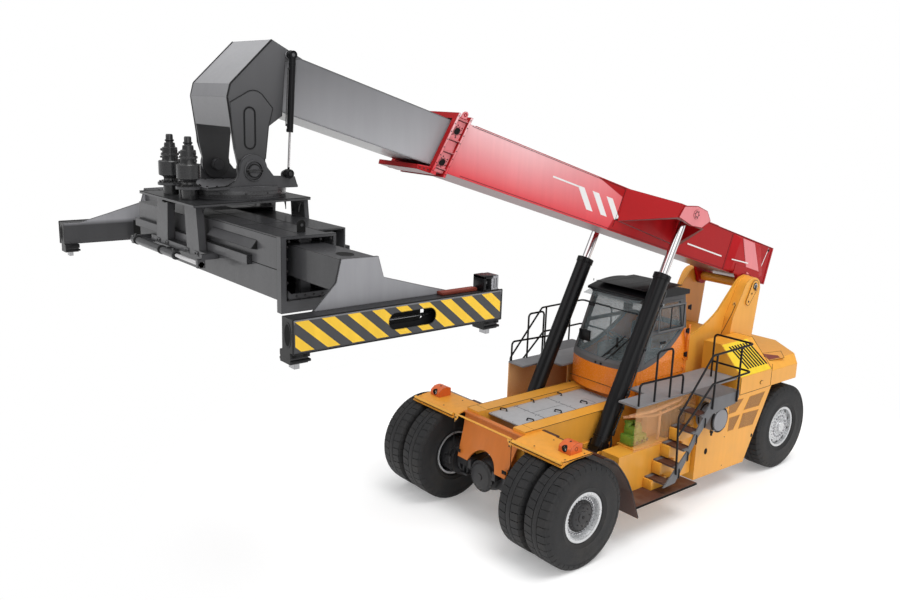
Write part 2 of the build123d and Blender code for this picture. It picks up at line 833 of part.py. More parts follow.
with BuildPart() as boom_head:
    with BuildSketch(side(0)):
        with BuildLine():
            head_outline(0)
        make_face()
    extrude(amount=head_half, both=True)
    with BuildSketch(side(0)):
        with BuildLine():
            head_outline(cheek)
        make_face()
    extrude(amount=head_half - cheek, both=True, mode=Mode.SUBTRACT)
    # open below between the two cheeks
    with BuildSketch(side(0)):
        Polygon((-5000, 6420), (-4250, 6420), (-4250, 5700), (-5000, 5700), align=None)
    extrude(amount=head_half - cheek, both=True, mode=Mode.SUBTRACT)
    # seat of the inner boom
    with BuildSketch(boom_section(head_start - 400)):
        with Locations((0, inner_bottom + inner_height / 2)):
            Rectangle(2 * (inner_half_width + seat_gap), inner_height + 2 * seat_gap)
    extrude(amount=400 + 331, mode=Mode.SUBTRACT)
    with BuildSketch(side(0)):
        with Locations((hang_y, tilt_pin_z)):
            Circle(tilt_pin_radius + bearing_gap)
    extrude(amount=head_half, both=True, mode=Mode.SUBTRACT)
    for sign, hand in SIDES:
        with BuildSketch(side(sign * head_half)):
            with Locations((damper_top_y, damper_top_z)):
                Circle(45)
        extrude(amount=sign * (damper_x - head_half - 42))
        with BuildSketch(side(sign * head_half)):
            with Locations((damper_top_y, damper_top_z)):
                Circle(25)
        extrude(amount=sign * (damper_x - head_half + 20))
save(boom_head.part, "boom_head")

# ---------------------------------------------------------------- rotator
yoke_inner = 505.0
yoke_outer = 540.0
yoke_base = ring_top
motor_y = hang_y - 670.0
with BuildPart() as head_yoke:
    with BuildSketch(level(yoke_base)):
        Polygon(
            (-yoke_outer, -5100), (yoke_outer, -5100), (yoke_outer, -3940), (-yoke_outer, -3940), align=None
        )
        with Locations((0, hang_y)):
            Circle(ring_radius)
        with Locations((265, motor_y), (-265, motor_y)):
            Circle(150)
    extrude(amount=30)
    with BuildSketch(level(ring_bottom + bearing_gap)):
        with Locations((0, hang_y)):
            Circle(ring_radius)
            Circle(ring_radius - 140, mode=Mode.SUBTRACT)
    extrude(amount=ring_top - ring_bottom - bearing_gap)
    for sign, hand in SIDES:
        with BuildSketch(side(sign * yoke_inner)):
            with BuildLine():
                Polyline((-5080, yoke_base + 25), (-4850, yoke_base + 40))
                ThreePointArc((-4850, yoke_base + 40), (-4760, yoke_base + 90), (-4690, tilt_pin_z + 40))
                ThreePointArc((-4690, tilt_pin_z + 40), (hang_y, tilt_pin_z + 190), (-4345, tilt_pin_z + 40))
                Polyline(
                    (-4345, tilt_pin_z + 40),
                    (-4260, yoke_base + 145),
                    (-3980, yoke_base + 130),
                    (-3945, yoke_base + 25),
                    (-5080, yoke_base + 25),
                )
            make_face()
            with Locations((damper_foot_y, damper_foot_z)):
                Circle(50)
        extrude(amount=sign * (yoke_outer - yoke_inner))
        with BuildSketch(side(sign * 380)):
            with Locations((hang_y, tilt_pin_z)):
                Circle(tilt_pin_radius)
        extrude(amount=sign * (yoke_outer + 25 - 380))
save(head_yoke.part, "head_yoke")

with BuildPart() as slew_motors:
    for motor_x in (-265, 265):
        with BuildSketch(level(ring_bottom + 6)):
            with Locations((motor_x, motor_y)):
                Circle(90)
        extrude(amount=yoke_base - ring_bottom - 6)
        motor_steps = ((0, 60, 140), (60, 210, 115), (210, 330, 135), (330, 430, 70), (430, 560, 40))
        for base, top, radius in motor_steps:
            with BuildSketch(level(yoke_base + 30 + base)):
                with Locations((motor_x, motor_y)):
                    Circle(radius)
            extrude(amount=top - base)
save(slew_motors.part, "slew_motors")

table_half = 800.0
table_rear_half = 625.0
table_front = -5370.0
table_rear = hang_y + box_half_depth + 125
slide_bottom = 5060.0
slide_height = 100.0
slide_proud = 60.0
leg_gap = slide_proud + 5.5
foot_bottom = slide_bottom - 70.5
with BuildPart() as table_frame:
    with BuildSketch(level(ring_bottom - table_thickness)):
        Polygon(
            (-table_half, table_front),
            (table_half, table_front),
            (table_rear_half, table_rear),
            (-table_rear_half, table_rear),
            align=None,
        )
        with Locations((0, hang_y)):
            Circle(200, mode=Mode.SUBTRACT)
    extrude(amount=table_thickness)
    # flared legs down the front and the rear of the box, and the feet that hook under its slide rails
    front_face = hang_y - box_half_depth
    rear_face = hang_y + box_half_depth
    for leg_y, depth in ((front_face - leg_gap, 90), (rear_face + leg_gap + 59.5, 59.5)):
        with BuildSketch(facing(leg_y)):
            for sign, hand in SIDES:
                Polygon(
                    (sign * 240, ring_bottom - table_thickness),
                    (sign * 560, ring_bottom - table_thickness),
                    (sign * 640, foot_bottom),
                    (sign * 290, foot_bottom),
                    align=None,
                )
        extrude(amount=depth)
    front_foot = (front_face - leg_gap - 90, front_face - 5)
    rear_foot = (rear_face + 5, rear_face + leg_gap + 59.5)
    for foot_start, foot_end in (front_foot, rear_foot):
        with Locations(at(0, (foot_start + foot_end) / 2, (foot_bottom + slide_bottom - 0.5) / 2)):
            Box(2 * table_half, foot_end - foot_start, slide_bottom - 0.5 - foot_bottom)
    # lug of the side-shift rod and the rod itself
    with Locations(at(775, -5300, foot_bottom - 40)):
        Box(50, 90, 100)
    with Locations(at(775, -5265, foot_bottom + 30)):
        Box(50, 60, 60)
    with BuildSketch(Plane(origin=at(760, -5300, shift_z), z_dir=(-1, 0, 0))):
        Circle(shift_rod_radius)
    extrude(amount=1340)
save(table_frame.part, "table_frame")

# ---------------------------------------------------------------- spreader
with BuildPart() as spreader_box:
    box_height = box_top - box_bottom
    for sign, hand in SIDES:
        lane = -sign * beam_offset
        # one lane: low over the tail of its beam, higher towards the mouth
        spans = ((-lane_tail, lane_step, lane_low_top), (lane_step, box_half_length, box_top))
        for start, end, top in spans:
            with BuildSketch(spread_end(sign * start)):
                with Locations((-sign * box_half_depth / 2, (box_bottom + top) / 2)):
                    Rectangle(box_half_depth, top - box_bottom)
                with Locations((lane, (box_bottom + top) / 2)):
                    Rectangle(
                        2 * (beam_offset - box_wall),
                        top - box_bottom - 2 * box_wall,
                        mode=Mode.SUBTRACT,
                    )
            extrude(amount=sign * (end - start))
        # flange round the mouth
        with BuildSketch(spread_end(sign * (box_half_length - 90))):
            with Locations((-sign * (box_half_depth / 2 + 10), box_bottom + (box_height - 95) / 2)):
                Rectangle(box_half_depth + 60, box_height + 125)
            with Locations((lane, box_bottom + box_height / 2)):
                Rectangle(2 * (beam_offset - box_wall), box_height - 2 * box_wall, mode=Mode.SUBTRACT)
        extrude(amount=sign * 90)
    # slide rails for the side shift
    for rail_y in (-box_half_depth - slide_proud / 2, box_half_depth + slide_proud / 2):
        with BuildSketch(spread_end(-lane_tail)):
            with Locations((rail_y, slide_bottom + slide_height / 2)):
                Rectangle(slide_proud, slide_height)
        extrude(amount=2 * lane_tail)
    # wear pads under and over each telescopic beam
    for sign, hand in SIDES:
        lower_pad = (box_bottom + box_wall, beam_bottom - pad_gap)
        upper_pad = (beam_top + pad_gap, box_top - box_wall)
        for low, high in (lower_pad, upper_pad):
            with Locations((sign * 2150, front_axle_y + hang_y - sign * beam_offset, (low + high) / 2)):
                Box(100, 120, high - low)
    # barrel of the side-shift cylinder and its bracket
    with BuildSketch(Plane(origin=at(-1270, -5300, shift_z), z_dir=(1, 0, 0))):
        Circle(46)
    extrude(amount=1370)
    with BuildSketch(Plane(origin=at(-1210, -5300, shift_z), z_dir=(1, 0, 0))):
        Circle(shift_rod_radius + bearing_gap)
    extrude(amount=1400, mode=Mode.SUBTRACT)
    with Locations(at(-1240, (-5300 + hang_y - box_half_depth) / 2 - 15, shift_z)):
        Box(60, hang_y - box_half_depth + 5300 + 30, 100)
save(spreader_box.part, "spreader_box")

lock_middle = front_axle_y + hang_y + end_beam_shift

for sign, hand in SIDES:
    lane = -sign * beam_offset
    with BuildPart() as beam:
        with BuildSketch(spread_end(-sign * beam_tail)):
            with Locations((lane, (beam_bottom + beam_top) / 2)):
                Rectangle(2 * beam_half_depth, beam_top - beam_bottom)
                Rectangle(2 * beam_half_depth - 28, beam_top - beam_bottom - 28, mode=Mode.SUBTRACT)
        extrude(amount=sign * (end_beam_inner + beam_tail))
    save(beam.part, "telescopic_beam_" + hand)

    with BuildPart() as end_beam:
        for start, depth, hollow in (
            (end_beam_inner, end_beam_outer - end_beam_inner, True),
            (end_beam_inner, 14, False),
            (end_beam_outer - 14, 14, False),
        ):
            with BuildSketch(spread_end(sign * start)):
                with Locations((end_beam_shift, (end_beam_bottom + end_beam_top) / 2)):
                    Rectangle(2 * end_beam_half, end_beam_top - end_beam_bottom)
                    if hollow:
                        Rectangle(
                            2 * end_beam_half - 28, end_beam_top - end_beam_bottom - 28, mode=Mode.SUBTRACT
                        )
                if not hollow:
                    with Locations((end_beam_shift + 75, (end_beam_bottom + end_beam_top) / 2)):
                        SlotOverall(560, 160, mode=Mode.SUBTRACT)
            extrude(amount=sign * depth)
        # gusset that joins it to the telescopic beam, and the two stiffeners under the beam
        with BuildSketch(spread_end(sign * end_beam_inner)):
            Polygon(
                (sign * -800, end_beam_top),
                (sign * -556, 5152),
                (sign * -504, 5368),
                (sign * -93, 5359),
                (sign * -30, 5153),
                (sign * 480, 5009),
                (sign * 850, end_beam_top),
                align=None,
            )
        extrude(amount=sign * 25)
        for web_y in (-140, 120):
            with BuildSketch(facing(hang_y + lane + web_y + 20)):
                Polygon(
                    (sign * (end_beam_inner - 250), beam_bottom - seat_gap),
                    (sign * end_beam_inner, beam_bottom - seat_gap),
                    (sign * end_beam_inner, end_beam_bottom + 100),
                    align=None,
                )
            extrude(amount=20)
        for lock_side in (-lock_y, lock_y):
            with Locations((sign * lock_x, lock_middle + lock_side, end_beam_bottom - 55)):
                Box(180, 180, 110)
                Cylinder(24 + bearing_gap, 300, mode=Mode.SUBTRACT)
    save(end_beam.part, "end_beam_" + hand)

    for lock_side, place in ((-lock_y, "front"), (lock_y, "rear")):
        with BuildPart() as lock:
            with Locations((sign * lock_x, lock_middle + lock_side, 0)):
                with Locations((0, 0, lock_tip_z)):
                    Cylinder(
                        24, end_beam_bottom + 40 - lock_tip_z, align=(Align.CENTER, Align.CENTER, Align.MIN)
                    )
                    Box(100, 52, 59.5, align=(Align.CENTER, Align.CENTER, Align.MIN))
                with Locations((0, 0, end_beam_bottom + 14.5)):
                    Cylinder(34, 25.5, align=(Align.CENTER, Align.CENTER, Align.MIN))
        save(lock.part, "twistlock_" + place + "_" + hand)

# ---------------------------------------------------------------- cylinders
def cylinder_section(x, y, z, run, rise, distance):
    """Plane square to a cylinder's line, at a distance along it from the pin at x, y, z."""
    share = distance / hypot(run, rise)
    return Plane(origin=at(x, y + run * share, z + rise * share), x_dir=(1, 0, 0), z_dir=(0, run, rise))


lean = radians(boom_angle)
eye_y = boom_pivot_y - lift_eye_s * cos(lean) + lift_eye_h * sin(lean)
eye_z = boom_pivot_z + lift_eye_s * sin(lean) + lift_eye_h * cos(lean)
lift_run = eye_y - lift_base_y
lift_rise = eye_z - lift_base_z
damper_run = damper_foot_y - damper_top_y
damper_rise = damper_foot_z - damper_top_z
damper_length = hypot(damper_run, damper_rise)

for sign, hand in SIDES:
    lift_from = (sign * lift_x, lift_base_y, lift_base_z, lift_run, lift_rise)
    with BuildPart() as lift_barrel:
        with BuildSketch(side(sign * (lift_x - 100))):
            with Locations((lift_base_y, lift_base_z)):
                Circle(130)
        extrude(amount=sign * 200)
        with BuildSketch(cylinder_section(*lift_from, 40)):
            Rectangle(200, 220)
        extrude(amount=130)
        with BuildSketch(cylinder_section(*lift_from, 155)):
            Circle(lift_barrel_radius)
        extrude(amount=lift_barrel_length - 155)
        with BuildSketch(cylinder_section(*lift_from, lift_barrel_length - 70)):
            Circle(lift_barrel_radius + 12)
        extrude(amount=70)
        with BuildSketch(side(sign * (lift_x - 160))):
            with Locations((lift_base_y, lift_base_z)):
                Circle(lift_pin_radius + bearing_gap)
        extrude(amount=sign * 320, mode=Mode.SUBTRACT)
        with BuildSketch(cylinder_section(*lift_from, 160)):
            Circle(lift_rod_radius + bearing_gap)
        extrude(amount=lift_barrel_length, mode=Mode.SUBTRACT)
    save(lift_barrel.part, "lift_barrel_" + hand)

    with BuildPart() as lift_rod:
        with BuildSketch(cylinder_section(*lift_from, 1000)):
            Circle(lift_rod_radius)
        extrude(amount=hypot(lift_run, lift_rise) - 1000)
        with BuildSketch(side(sign * (lift_x - 60))):
            with Locations((eye_y, eye_z)):
                Circle(100)
        extrude(amount=sign * 120)
        with BuildSketch(side(sign * (outer_half_width + 27))):
            with Locations((eye_y, eye_z)):
                Circle(60)
        extrude(amount=sign * (wing_outer - 50 - outer_half_width - 27))
    save(lift_rod.part, "lift_rod_" + hand)

    damper_from = (sign * damper_x, damper_top_y, damper_top_z, damper_run, damper_rise)
    with BuildPart() as damper_barrel:
        with BuildSketch(side(sign * (damper_x - 25))):
            with Locations((damper_top_y, damper_top_z)):
                Circle(48)
        extrude(amount=sign * 50)
        with BuildSketch(cylinder_section(*damper_from, 30)):
            Circle(38)
        extrude(amount=850)
        with BuildSketch(side(sign * (damper_x - 60))):
            with Locations((damper_top_y, damper_top_z)):
                Circle(25 + bearing_gap)
        extrude(amount=sign * 120, mode=Mode.SUBTRACT)
        with BuildSketch(cylinder_section(*damper_from, 60)):
            Circle(14 + bearing_gap)
        extrude(amount=900, mode=Mode.SUBTRACT)
    save(damper_barrel.part, "damper_barrel_" + hand)

    with BuildPart() as damper_rod:
        with BuildSketch(cylinder_section(*damper_from, 370)):
            Circle(14)
        extrude(amount=damper_length - 370)
        with BuildSketch(side(sign * (damper_x - 25))):
            with Locations((damper_foot_y, damper_foot_z)):
                Circle(40)
        extrude(amount=sign * 50)
        with BuildSketch(side(sign * (yoke_outer + seat_gap))):
            with Locations((damper_foot_y, damper_foot_z)):
                Circle(25)
        extrude(amount=sign * (damper_x - yoke_outer))
    save(damper_rod.part, "damper_rod_" + hand)


# ---------------------------------------------------------------- cab
def cab_hull(inset):
    """The cab's outer shape drawn in by inset: upright below the waist and leaning in above it."""
    with BuildPart() as hull:
        for z, half, corner, nose, rear in (
            (cab_floor_z + inset, cab_half_width, cab_front_y + 60, cab_front_y - 150, cab_rear_y),
            (cab_waist_z, cab_half_width, cab_front_y + 60, cab_front_y - 150, cab_rear_y),
            (cab_roof_z - inset, cab_roof_half_width, cab_front_y + 360, cab_front_y + 260, cab_rear_y - 30),
        ):
            with BuildSketch(level(z)):
                with BuildLine():
                    Polyline(
                        (inset - half, corner + inset),
                        (inset - half, rear - inset),
                        (half - inset, rear - inset),
                        (half - inset, corner + inset),
                    )
                    ThreePointArc(
                        (half - inset, corner + inset), (0, nose + inset), (inset - half, corner + inset)
                    )
                make_face()
            if z == cab_floor_z + inset:
                extrude(amount=cab_waist_z - z)
        loft()
    return hull.part


def side_prism(x0, x1, *points):
    """Straight prism between two x positions from an outline in side view."""
    with BuildPart() as prism:
        with BuildSketch(side(x0)):
            Polygon(*points, align=None)
        extrude(amount=x1 - x0)
    return prism.part


def front_prism(y0, y1, *points):
    """Straight prism between two lengths from an outline in front view."""
    with BuildPart() as prism:
        with BuildSketch(facing(y1)):
            Polygon(*points, align=None)
        extrude(amount=y1 - y0)
    return prism.part


def below_belt():
    """Everything under the line where the painted lower body meets the black upper frame."""
    with BuildPart() as lower:
        with BuildSketch(side(-900)):
            with BuildLine():
                Polyline((2640, 2300), (2000, 2300), (2000, 1600), (4200, 1600), (4200, 2900), (3880, 2900))
                ThreePointArc((3880, 2900), (3480, 2590), (2640, 2300))
            make_face()
        extrude(amount=1800)
    return lower.part


door_low = walkway_top + 25.0
door_rear = 3880.0
windscreen = front_prism(2000, 3000, (-650, 2440), (650, 2440), (545, 3440), (-545, 3440))
rear_window = front_prism(3800, 4100, (-560, 2990), (560, 2990), (520, 3400), (-520, 3400))
side_window = ((2850, 2950), (3815, 2950), (3780, 3400), (2970, 3400))
quarter_window = ((2740, 2410), (2850, 2885), (3780, 2885), (3500, 2690), (3130, 2500))
right_windows = side_prism(-900, -550, *side_window) + side_prism(-900, -550, *quarter_window)
left_windows = side_prism(550, 900, *side_window) + side_prism(550, 900, *quarter_window)
doorway = side_prism(
    540, 900, (2650, door_low - 5), (2650, 2380), (2930, 3440), (door_rear, 3440), (door_rear, door_low - 5)
)
door_leaf = side_prism(
    540, 900, (2655, door_low), (2655, 2380), (2934, 3435), (door_rear - 5, 3435), (door_rear - 5, door_low)
)
hinge_x = cab_half_width + 16.0

with BuildPart() as cab_body:
    add(cab_hull(0))
    add(cab_hull(cab_wall), mode=Mode.SUBTRACT)
    add(below_belt(), mode=Mode.INTERSECT)
    add(doorway, mode=Mode.SUBTRACT)
    add(windscreen, mode=Mode.SUBTRACT)
    add(right_windows, mode=Mode.SUBTRACT)
    # mounts on the frame rails
    for mount_y in (2800, 3700):
        mount_z = (rail_top + cab_floor_z) / 2
        with Locations(at(-560, mount_y, mount_z), at(560, mount_y, mount_z)):
            Cylinder(60, cab_floor_z - rail_top)
    # fixed halves of the door hinges, with their pins
    for hinge_z in (2150, 2320):
        with Locations(at(cab_half_width + 9, door_rear + 25, hinge_z)):
            Box(18.5, 40, 28)
        with Locations(at(hinge_x, door_rear + 2, hinge_z)):
            Cylinder(14, 28)
        with Locations(at(hinge_x, door_rear + 2, hinge_z + 14)):
            Cylinder(7, 56)
save(cab_body.part, "cab_body")

with BuildPart() as cab_frame:
    add(cab_hull(0))
    add(cab_hull(cab_wall), mode=Mode.SUBTRACT)
    add(below_belt(), mode=Mode.SUBTRACT)
    add(doorway, mode=Mode.SUBTRACT)
    add(windscreen, mode=Mode.SUBTRACT)
    add(rear_window, mode=Mode.SUBTRACT)
    add(right_windows, mode=Mode.SUBTRACT)
save(cab_frame.part, "cab_frame")

with BuildPart() as cab_door:
    add(cab_hull(0))
    add(cab_hull(cab_wall), mode=Mode.SUBTRACT)
    add(below_belt(), mode=Mode.INTERSECT)
    add(door_leaf, mode=Mode.INTERSECT)
    add(left_windows, mode=Mode.SUBTRACT)
    for hinge_z in (2179, 2349):
        with Locations(at(hinge_x, door_rear + 2, hinge_z)):
            Cylinder(14, 28)
        with Locations(at(cab_half_width + 9, door_rear - 30, hinge_z)):
            Box(18.5, 60, 28)
        with Locations(at(hinge_x, door_rear + 2, hinge_z)):
            Cylinder(7.5, 60, mode=Mode.SUBTRACT)
save(cab_door.part, "cab_door")

with BuildPart() as cab_door_frame:
    add(cab_hull(0))
    add(cab_hull(cab_wall), mode=Mode.SUBTRACT)
    add(below_belt(), mode=Mode.SUBTRACT)
    add(door_leaf, mode=Mode.INTERSECT)
    add(left_windows, mode=Mode.SUBTRACT)
save(cab_door_frame.part, "cab_door_frame")

with BuildPart() as cab_glass:
    add(cab_hull(12))
    add(cab_hull(20), mode=Mode.SUBTRACT)
    add(windscreen + rear_window + right_windows, mode=Mode.INTERSECT)
save(cab_glass.part, "cab_glass")

with BuildPart() as door_glass:
    add(cab_hull(12))
    add(cab_hull(20), mode=Mode.SUBTRACT)
    add(left_windows, mode=Mode.INTERSECT)
save(door_glass.part, "door_glass")

with BuildPart() as cab_roof:
    with BuildSketch(side(-cab_roof_half_width - 45)):
        with BuildLine():
            roof_base = cab_roof_z + seat_gap
            Polyline((2740, 3560), (2740, roof_base), (3990, roof_base), (3990, 3600))
            ThreePointArc((3990, 3600), (3350, 3665), (2740, 3560))
        make_face()
    extrude(amount=2 * cab_roof_half_width + 90)
save(cab_roof.part, "cab_roof")

with BuildPart() as cab_seat:
    seat_base = cab_floor_z + cab_wall + seat_gap
    with Locations(at(0, 3300, seat_base + 170)):
        Box(320, 360, 340)
    with Locations(at(0, 3280, seat_base + 400)):
        Box(520, 540, 120)
    with Locations(at(0, 3560, seat_base + 780)):
        Box(500, 130, 760)
save(cab_seat.part, "cab_seat")

# ---------------------------------------------------------------- access
stair_outer = 1960.0
stair_sheet = 20.0
first_tread_z = 814.0
tread_count = 5
tread_pitch = (walkway_top - first_tread_z) / tread_count
stair_slope = 933.0 / 1170.0
with BuildPart() as stairs:
    for sign, hand in SIDES:
        with BuildSketch(side(sign * (stair_outer - stair_sheet))):
            Polygon(
                (1911, 771),
                (2223, 786),
                (2758, 1473),
                (3098, 1796),
                (3756, 1863),
                (3836, 1951),
                (3836, walkway_top),
                (3060, walkway_top),
                (2731, 1648),
                (2471, 1269),
                align=None,
            )
        extrude(amount=sign * stair_sheet)
        for step in range(tread_count):
            tread_z = first_tread_z + step * tread_pitch
            tread_y = 2067 + (tread_z - 780) * stair_slope
            with Locations(at(sign * (walk_outer + seat_gap + stair_outer) / 2, tread_y, tread_z - 15)):
                Box(stair_outer - walk_outer - seat_gap, 220, 30)
        with Locations(at(sign * (walk_outer + seat_gap + stair_outer) / 2, 3448, walkway_top - 15)):
            Box(stair_outer - walk_outer - seat_gap, 776, 30)
        # low platform along the foot of the stairs
        with Locations(at(sign * (walk_outer + seat_gap + stair_outer) / 2, 2045, 605)):
            Box(stair_outer - walk_outer - seat_gap, 1610, 30)
save(stairs.part, "stairs")


def tube(*points):
    """A bent round handrail through the points."""
    with BuildPart() as rail:
        with BuildLine() as centre:
            FilletPolyline(*points, radius=70)
        with BuildSketch(Plane(origin=centre.wires()[0] @ 0, z_dir=centre.wires()[0] % 0)):
            Circle(18)
        sweep()
    return rail.part


with BuildPart() as handrails:
    for sign, hand in SIDES:
        rail_x = sign * (stair_outer + 18.5)
        for points in (
            (
                at(rail_x, 2200, 950),
                at(rail_x, 2130, 1950),
                at(rail_x, 2930, 2850),
                at(rail_x, 4100, 2870),
                at(sign * 1200, 4100, 2870),
                at(sign * 1200, 4100, walkway_top + seat_gap),
            ),
            (
                at(rail_x, 2153, 1620),
                at(rail_x, 2500, 1900),
                at(rail_x, 3000, 2350),
                at(rail_x, 4100, 2370),
                at(sign * 1200, 4100, 2370),
            ),
        ):
            add(tube(*points))
        for post_y in (3050, 3750):
            with BuildSketch(level(1900)):
                with Locations((rail_x, post_y)):
                    Circle(18)
            extrude(amount=950)
        inner_x = sign * (walk_outer - 20)
        foot_z = walkway_top + seat_gap
        for start_y, end_y, start_z, end_z in ((1700, 2840, 2450, 2420), (2100, 2500, 2930, 2930)):
            feet = (at(inner_x, start_y, foot_z), at(inner_x, end_y, foot_z))
            add(tube(feet[0], at(inner_x, start_y, start_z), at(inner_x, end_y, end_z), feet[1]))
save(handrails.part, "handrails")

with BuildPart() as air_cleaner:
    with BuildSketch(side(body_half_width + seat_gap)):
        with Locations((3384, 1626)):
            Circle(220)
    extrude(amount=300)
    with BuildSketch(side(body_half_width + 300)):
        with Locations((3384, 1626)):
            Circle(170)
    extrude(amount=35)
save(air_cleaner.part, "air_cleaner")
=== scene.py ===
"""Looks of a container reach stacker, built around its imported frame.

Lengths are in metres in the machine's own frame: +Z up, -Y forward, +X to the machine's left.
"""

from __future__ import annotations

import json
import logging
import math
from dataclasses import dataclass
from enum import Enum
from typing import Callable, Iterable, Sequence

import bmesh
import bpy
from mathutils import Matrix, Vector

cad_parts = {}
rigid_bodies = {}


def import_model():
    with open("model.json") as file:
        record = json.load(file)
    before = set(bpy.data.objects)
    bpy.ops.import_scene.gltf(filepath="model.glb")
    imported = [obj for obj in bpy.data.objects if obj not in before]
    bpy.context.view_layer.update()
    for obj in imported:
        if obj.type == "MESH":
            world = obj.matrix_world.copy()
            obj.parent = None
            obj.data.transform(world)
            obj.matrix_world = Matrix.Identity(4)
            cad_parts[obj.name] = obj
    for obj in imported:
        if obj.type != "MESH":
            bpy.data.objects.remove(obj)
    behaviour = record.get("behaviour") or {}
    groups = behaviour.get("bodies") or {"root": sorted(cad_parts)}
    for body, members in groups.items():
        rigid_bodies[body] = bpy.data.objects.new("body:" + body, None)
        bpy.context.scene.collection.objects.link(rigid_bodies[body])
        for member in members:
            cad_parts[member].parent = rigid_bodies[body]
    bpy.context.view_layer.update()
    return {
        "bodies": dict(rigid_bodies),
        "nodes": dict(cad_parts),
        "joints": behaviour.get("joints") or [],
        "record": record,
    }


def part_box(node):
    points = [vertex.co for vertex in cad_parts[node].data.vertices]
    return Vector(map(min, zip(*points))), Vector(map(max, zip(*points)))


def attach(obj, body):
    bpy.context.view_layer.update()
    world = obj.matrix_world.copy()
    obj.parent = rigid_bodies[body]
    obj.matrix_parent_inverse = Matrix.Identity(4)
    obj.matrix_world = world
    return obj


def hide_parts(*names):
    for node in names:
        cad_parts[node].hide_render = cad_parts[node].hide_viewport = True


log = logging.getLogger("reach_stacker")

Point = tuple[float, float, float]
Pair = tuple[float, float]
Colour = tuple[float, float, float]

FRONT_AXLE_Y = -0.690
REAR_AXLE = 6.0
AXLE_Z = 0.830
HANG = -4.515
HEAD_PIVOT_Z = 5.930
PIVOT_Y, PIVOT_Z = 5.957, 3.459
BOOM_PIVOT = Vector((0.0, PIVOT_Y, PIVOT_Z))
INNER_WHEEL, OUTER_WHEEL, REAR_WHEEL = 1.215, 1.775, 1.390
BOOM_LEAN = math.radians(16.45)


class Side(Enum):
    """The machine's two sides, by the sign of x there."""

    LEFT = 1
    RIGHT = -1


SIDES: tuple[tuple[int, str], ...] = tuple((side.value, side.name.lower()) for side in Side)


# ---------------------------------------------------------------- finishes
class Graph:
    """A node tree being wired, with one short call for each node."""

    def __init__(self, tree: bpy.types.NodeTree) -> None:
        """Start on a tree with no nodes in it.

        Args:
            tree: The tree to fill; whatever it holds is cleared.
        """
        self.tree = tree
        tree.nodes.clear()

    def add(self, kind: str, settings: dict | None = None, **inputs: object) -> bpy.types.Node:
        """Add a node, set its properties and wire or set its inputs.

        Args:
            kind: The node's class name without its ShaderNode or Node prefix.
            settings: Property values of the node itself.
            inputs: Values or sockets by input name, spaces written as underscores, or by i and a number.

        Returns:
            The new node.
        """
        prefix = "" if kind.startswith("Node") else "ShaderNode"
        node = self.tree.nodes.new(prefix + kind)
        for key, value in (settings or {}).items():
            setattr(node, key, value)
        for key, value in inputs.items():
            if key[0] == "i" and key[1:].isdigit():
                socket = node.inputs[int(key[1:])]
            else:
                socket = node.inputs[key.replace("_", " ")]
            if isinstance(value, bpy.types.NodeSocket):
                self.tree.links.new(value, socket)
            elif isinstance(value, tuple) and len(value) == 3 and socket.type == "RGBA":
                socket.default_value = (*value, 1.0)
            else:
                socket.default_value = value
        return node

    def math(self, operation: str, *values: object) -> bpy.types.NodeSocket:
        """Add a Math node and return its output."""
        inputs = {f"i{n}": value for n, value in enumerate(values)}
        return self.add("Math", {"operation": operation}, **inputs).outputs[0]

    def mix(self, factor: object, low: object, high: object) -> bpy.types.NodeSocket:
        """Blend two colours and return the result."""
        node = self.add("Mix", {"data_type": "RGBA"}, i0=factor, i6=low, i7=high)
        return node.outputs[2]

    def span(
        self, value: object, low: float, high: float, to_low: float = 0.0, to_high: float = 1.0,
    ) -> bpy.types.NodeSocket:
        """Map a value from one range to another, clamped, and return the result."""
        node = self.add("MapRange", None, i0=value, i1=low, i2=high, i3=to_low, i4=to_high)
        return node.outputs[0]

    def noise(self, vector: object, scale: float, detail: float = 3.0) -> bpy.types.NodeSocket:
        """Add a noise texture and return its value."""
        return self.add("TexNoise", None, Vector=vector, Scale=scale, Detail=detail).outputs[0]


def shared_group(
    name: str, sockets: Sequence[tuple[str, str, str]],
    fill: Callable[[Graph, bpy.types.Node, bpy.types.Node], None],
) -> bpy.types.NodeTree:
    """Return a named node group, building it on first use.

    Args:
        name: The group's name.
        sockets: Direction, name and type of each socket.
        fill: Wires the group from its graph, input node and output node.

    Returns:
        The group's node tree.
    """
    known = bpy.data.node_groups.get(name)
    if known:
        return known
    tree = bpy.data.node_groups.new(name, "ShaderNodeTree")
    for direction, label, kind in sockets:
        tree.interface.new_socket(label, in_out=direction, socket_type="NodeSocket" + kind)
    graph = Graph(tree)
    fill(graph, graph.add("NodeGroupInput"), graph.add("NodeGroupOutput"))
    return tree


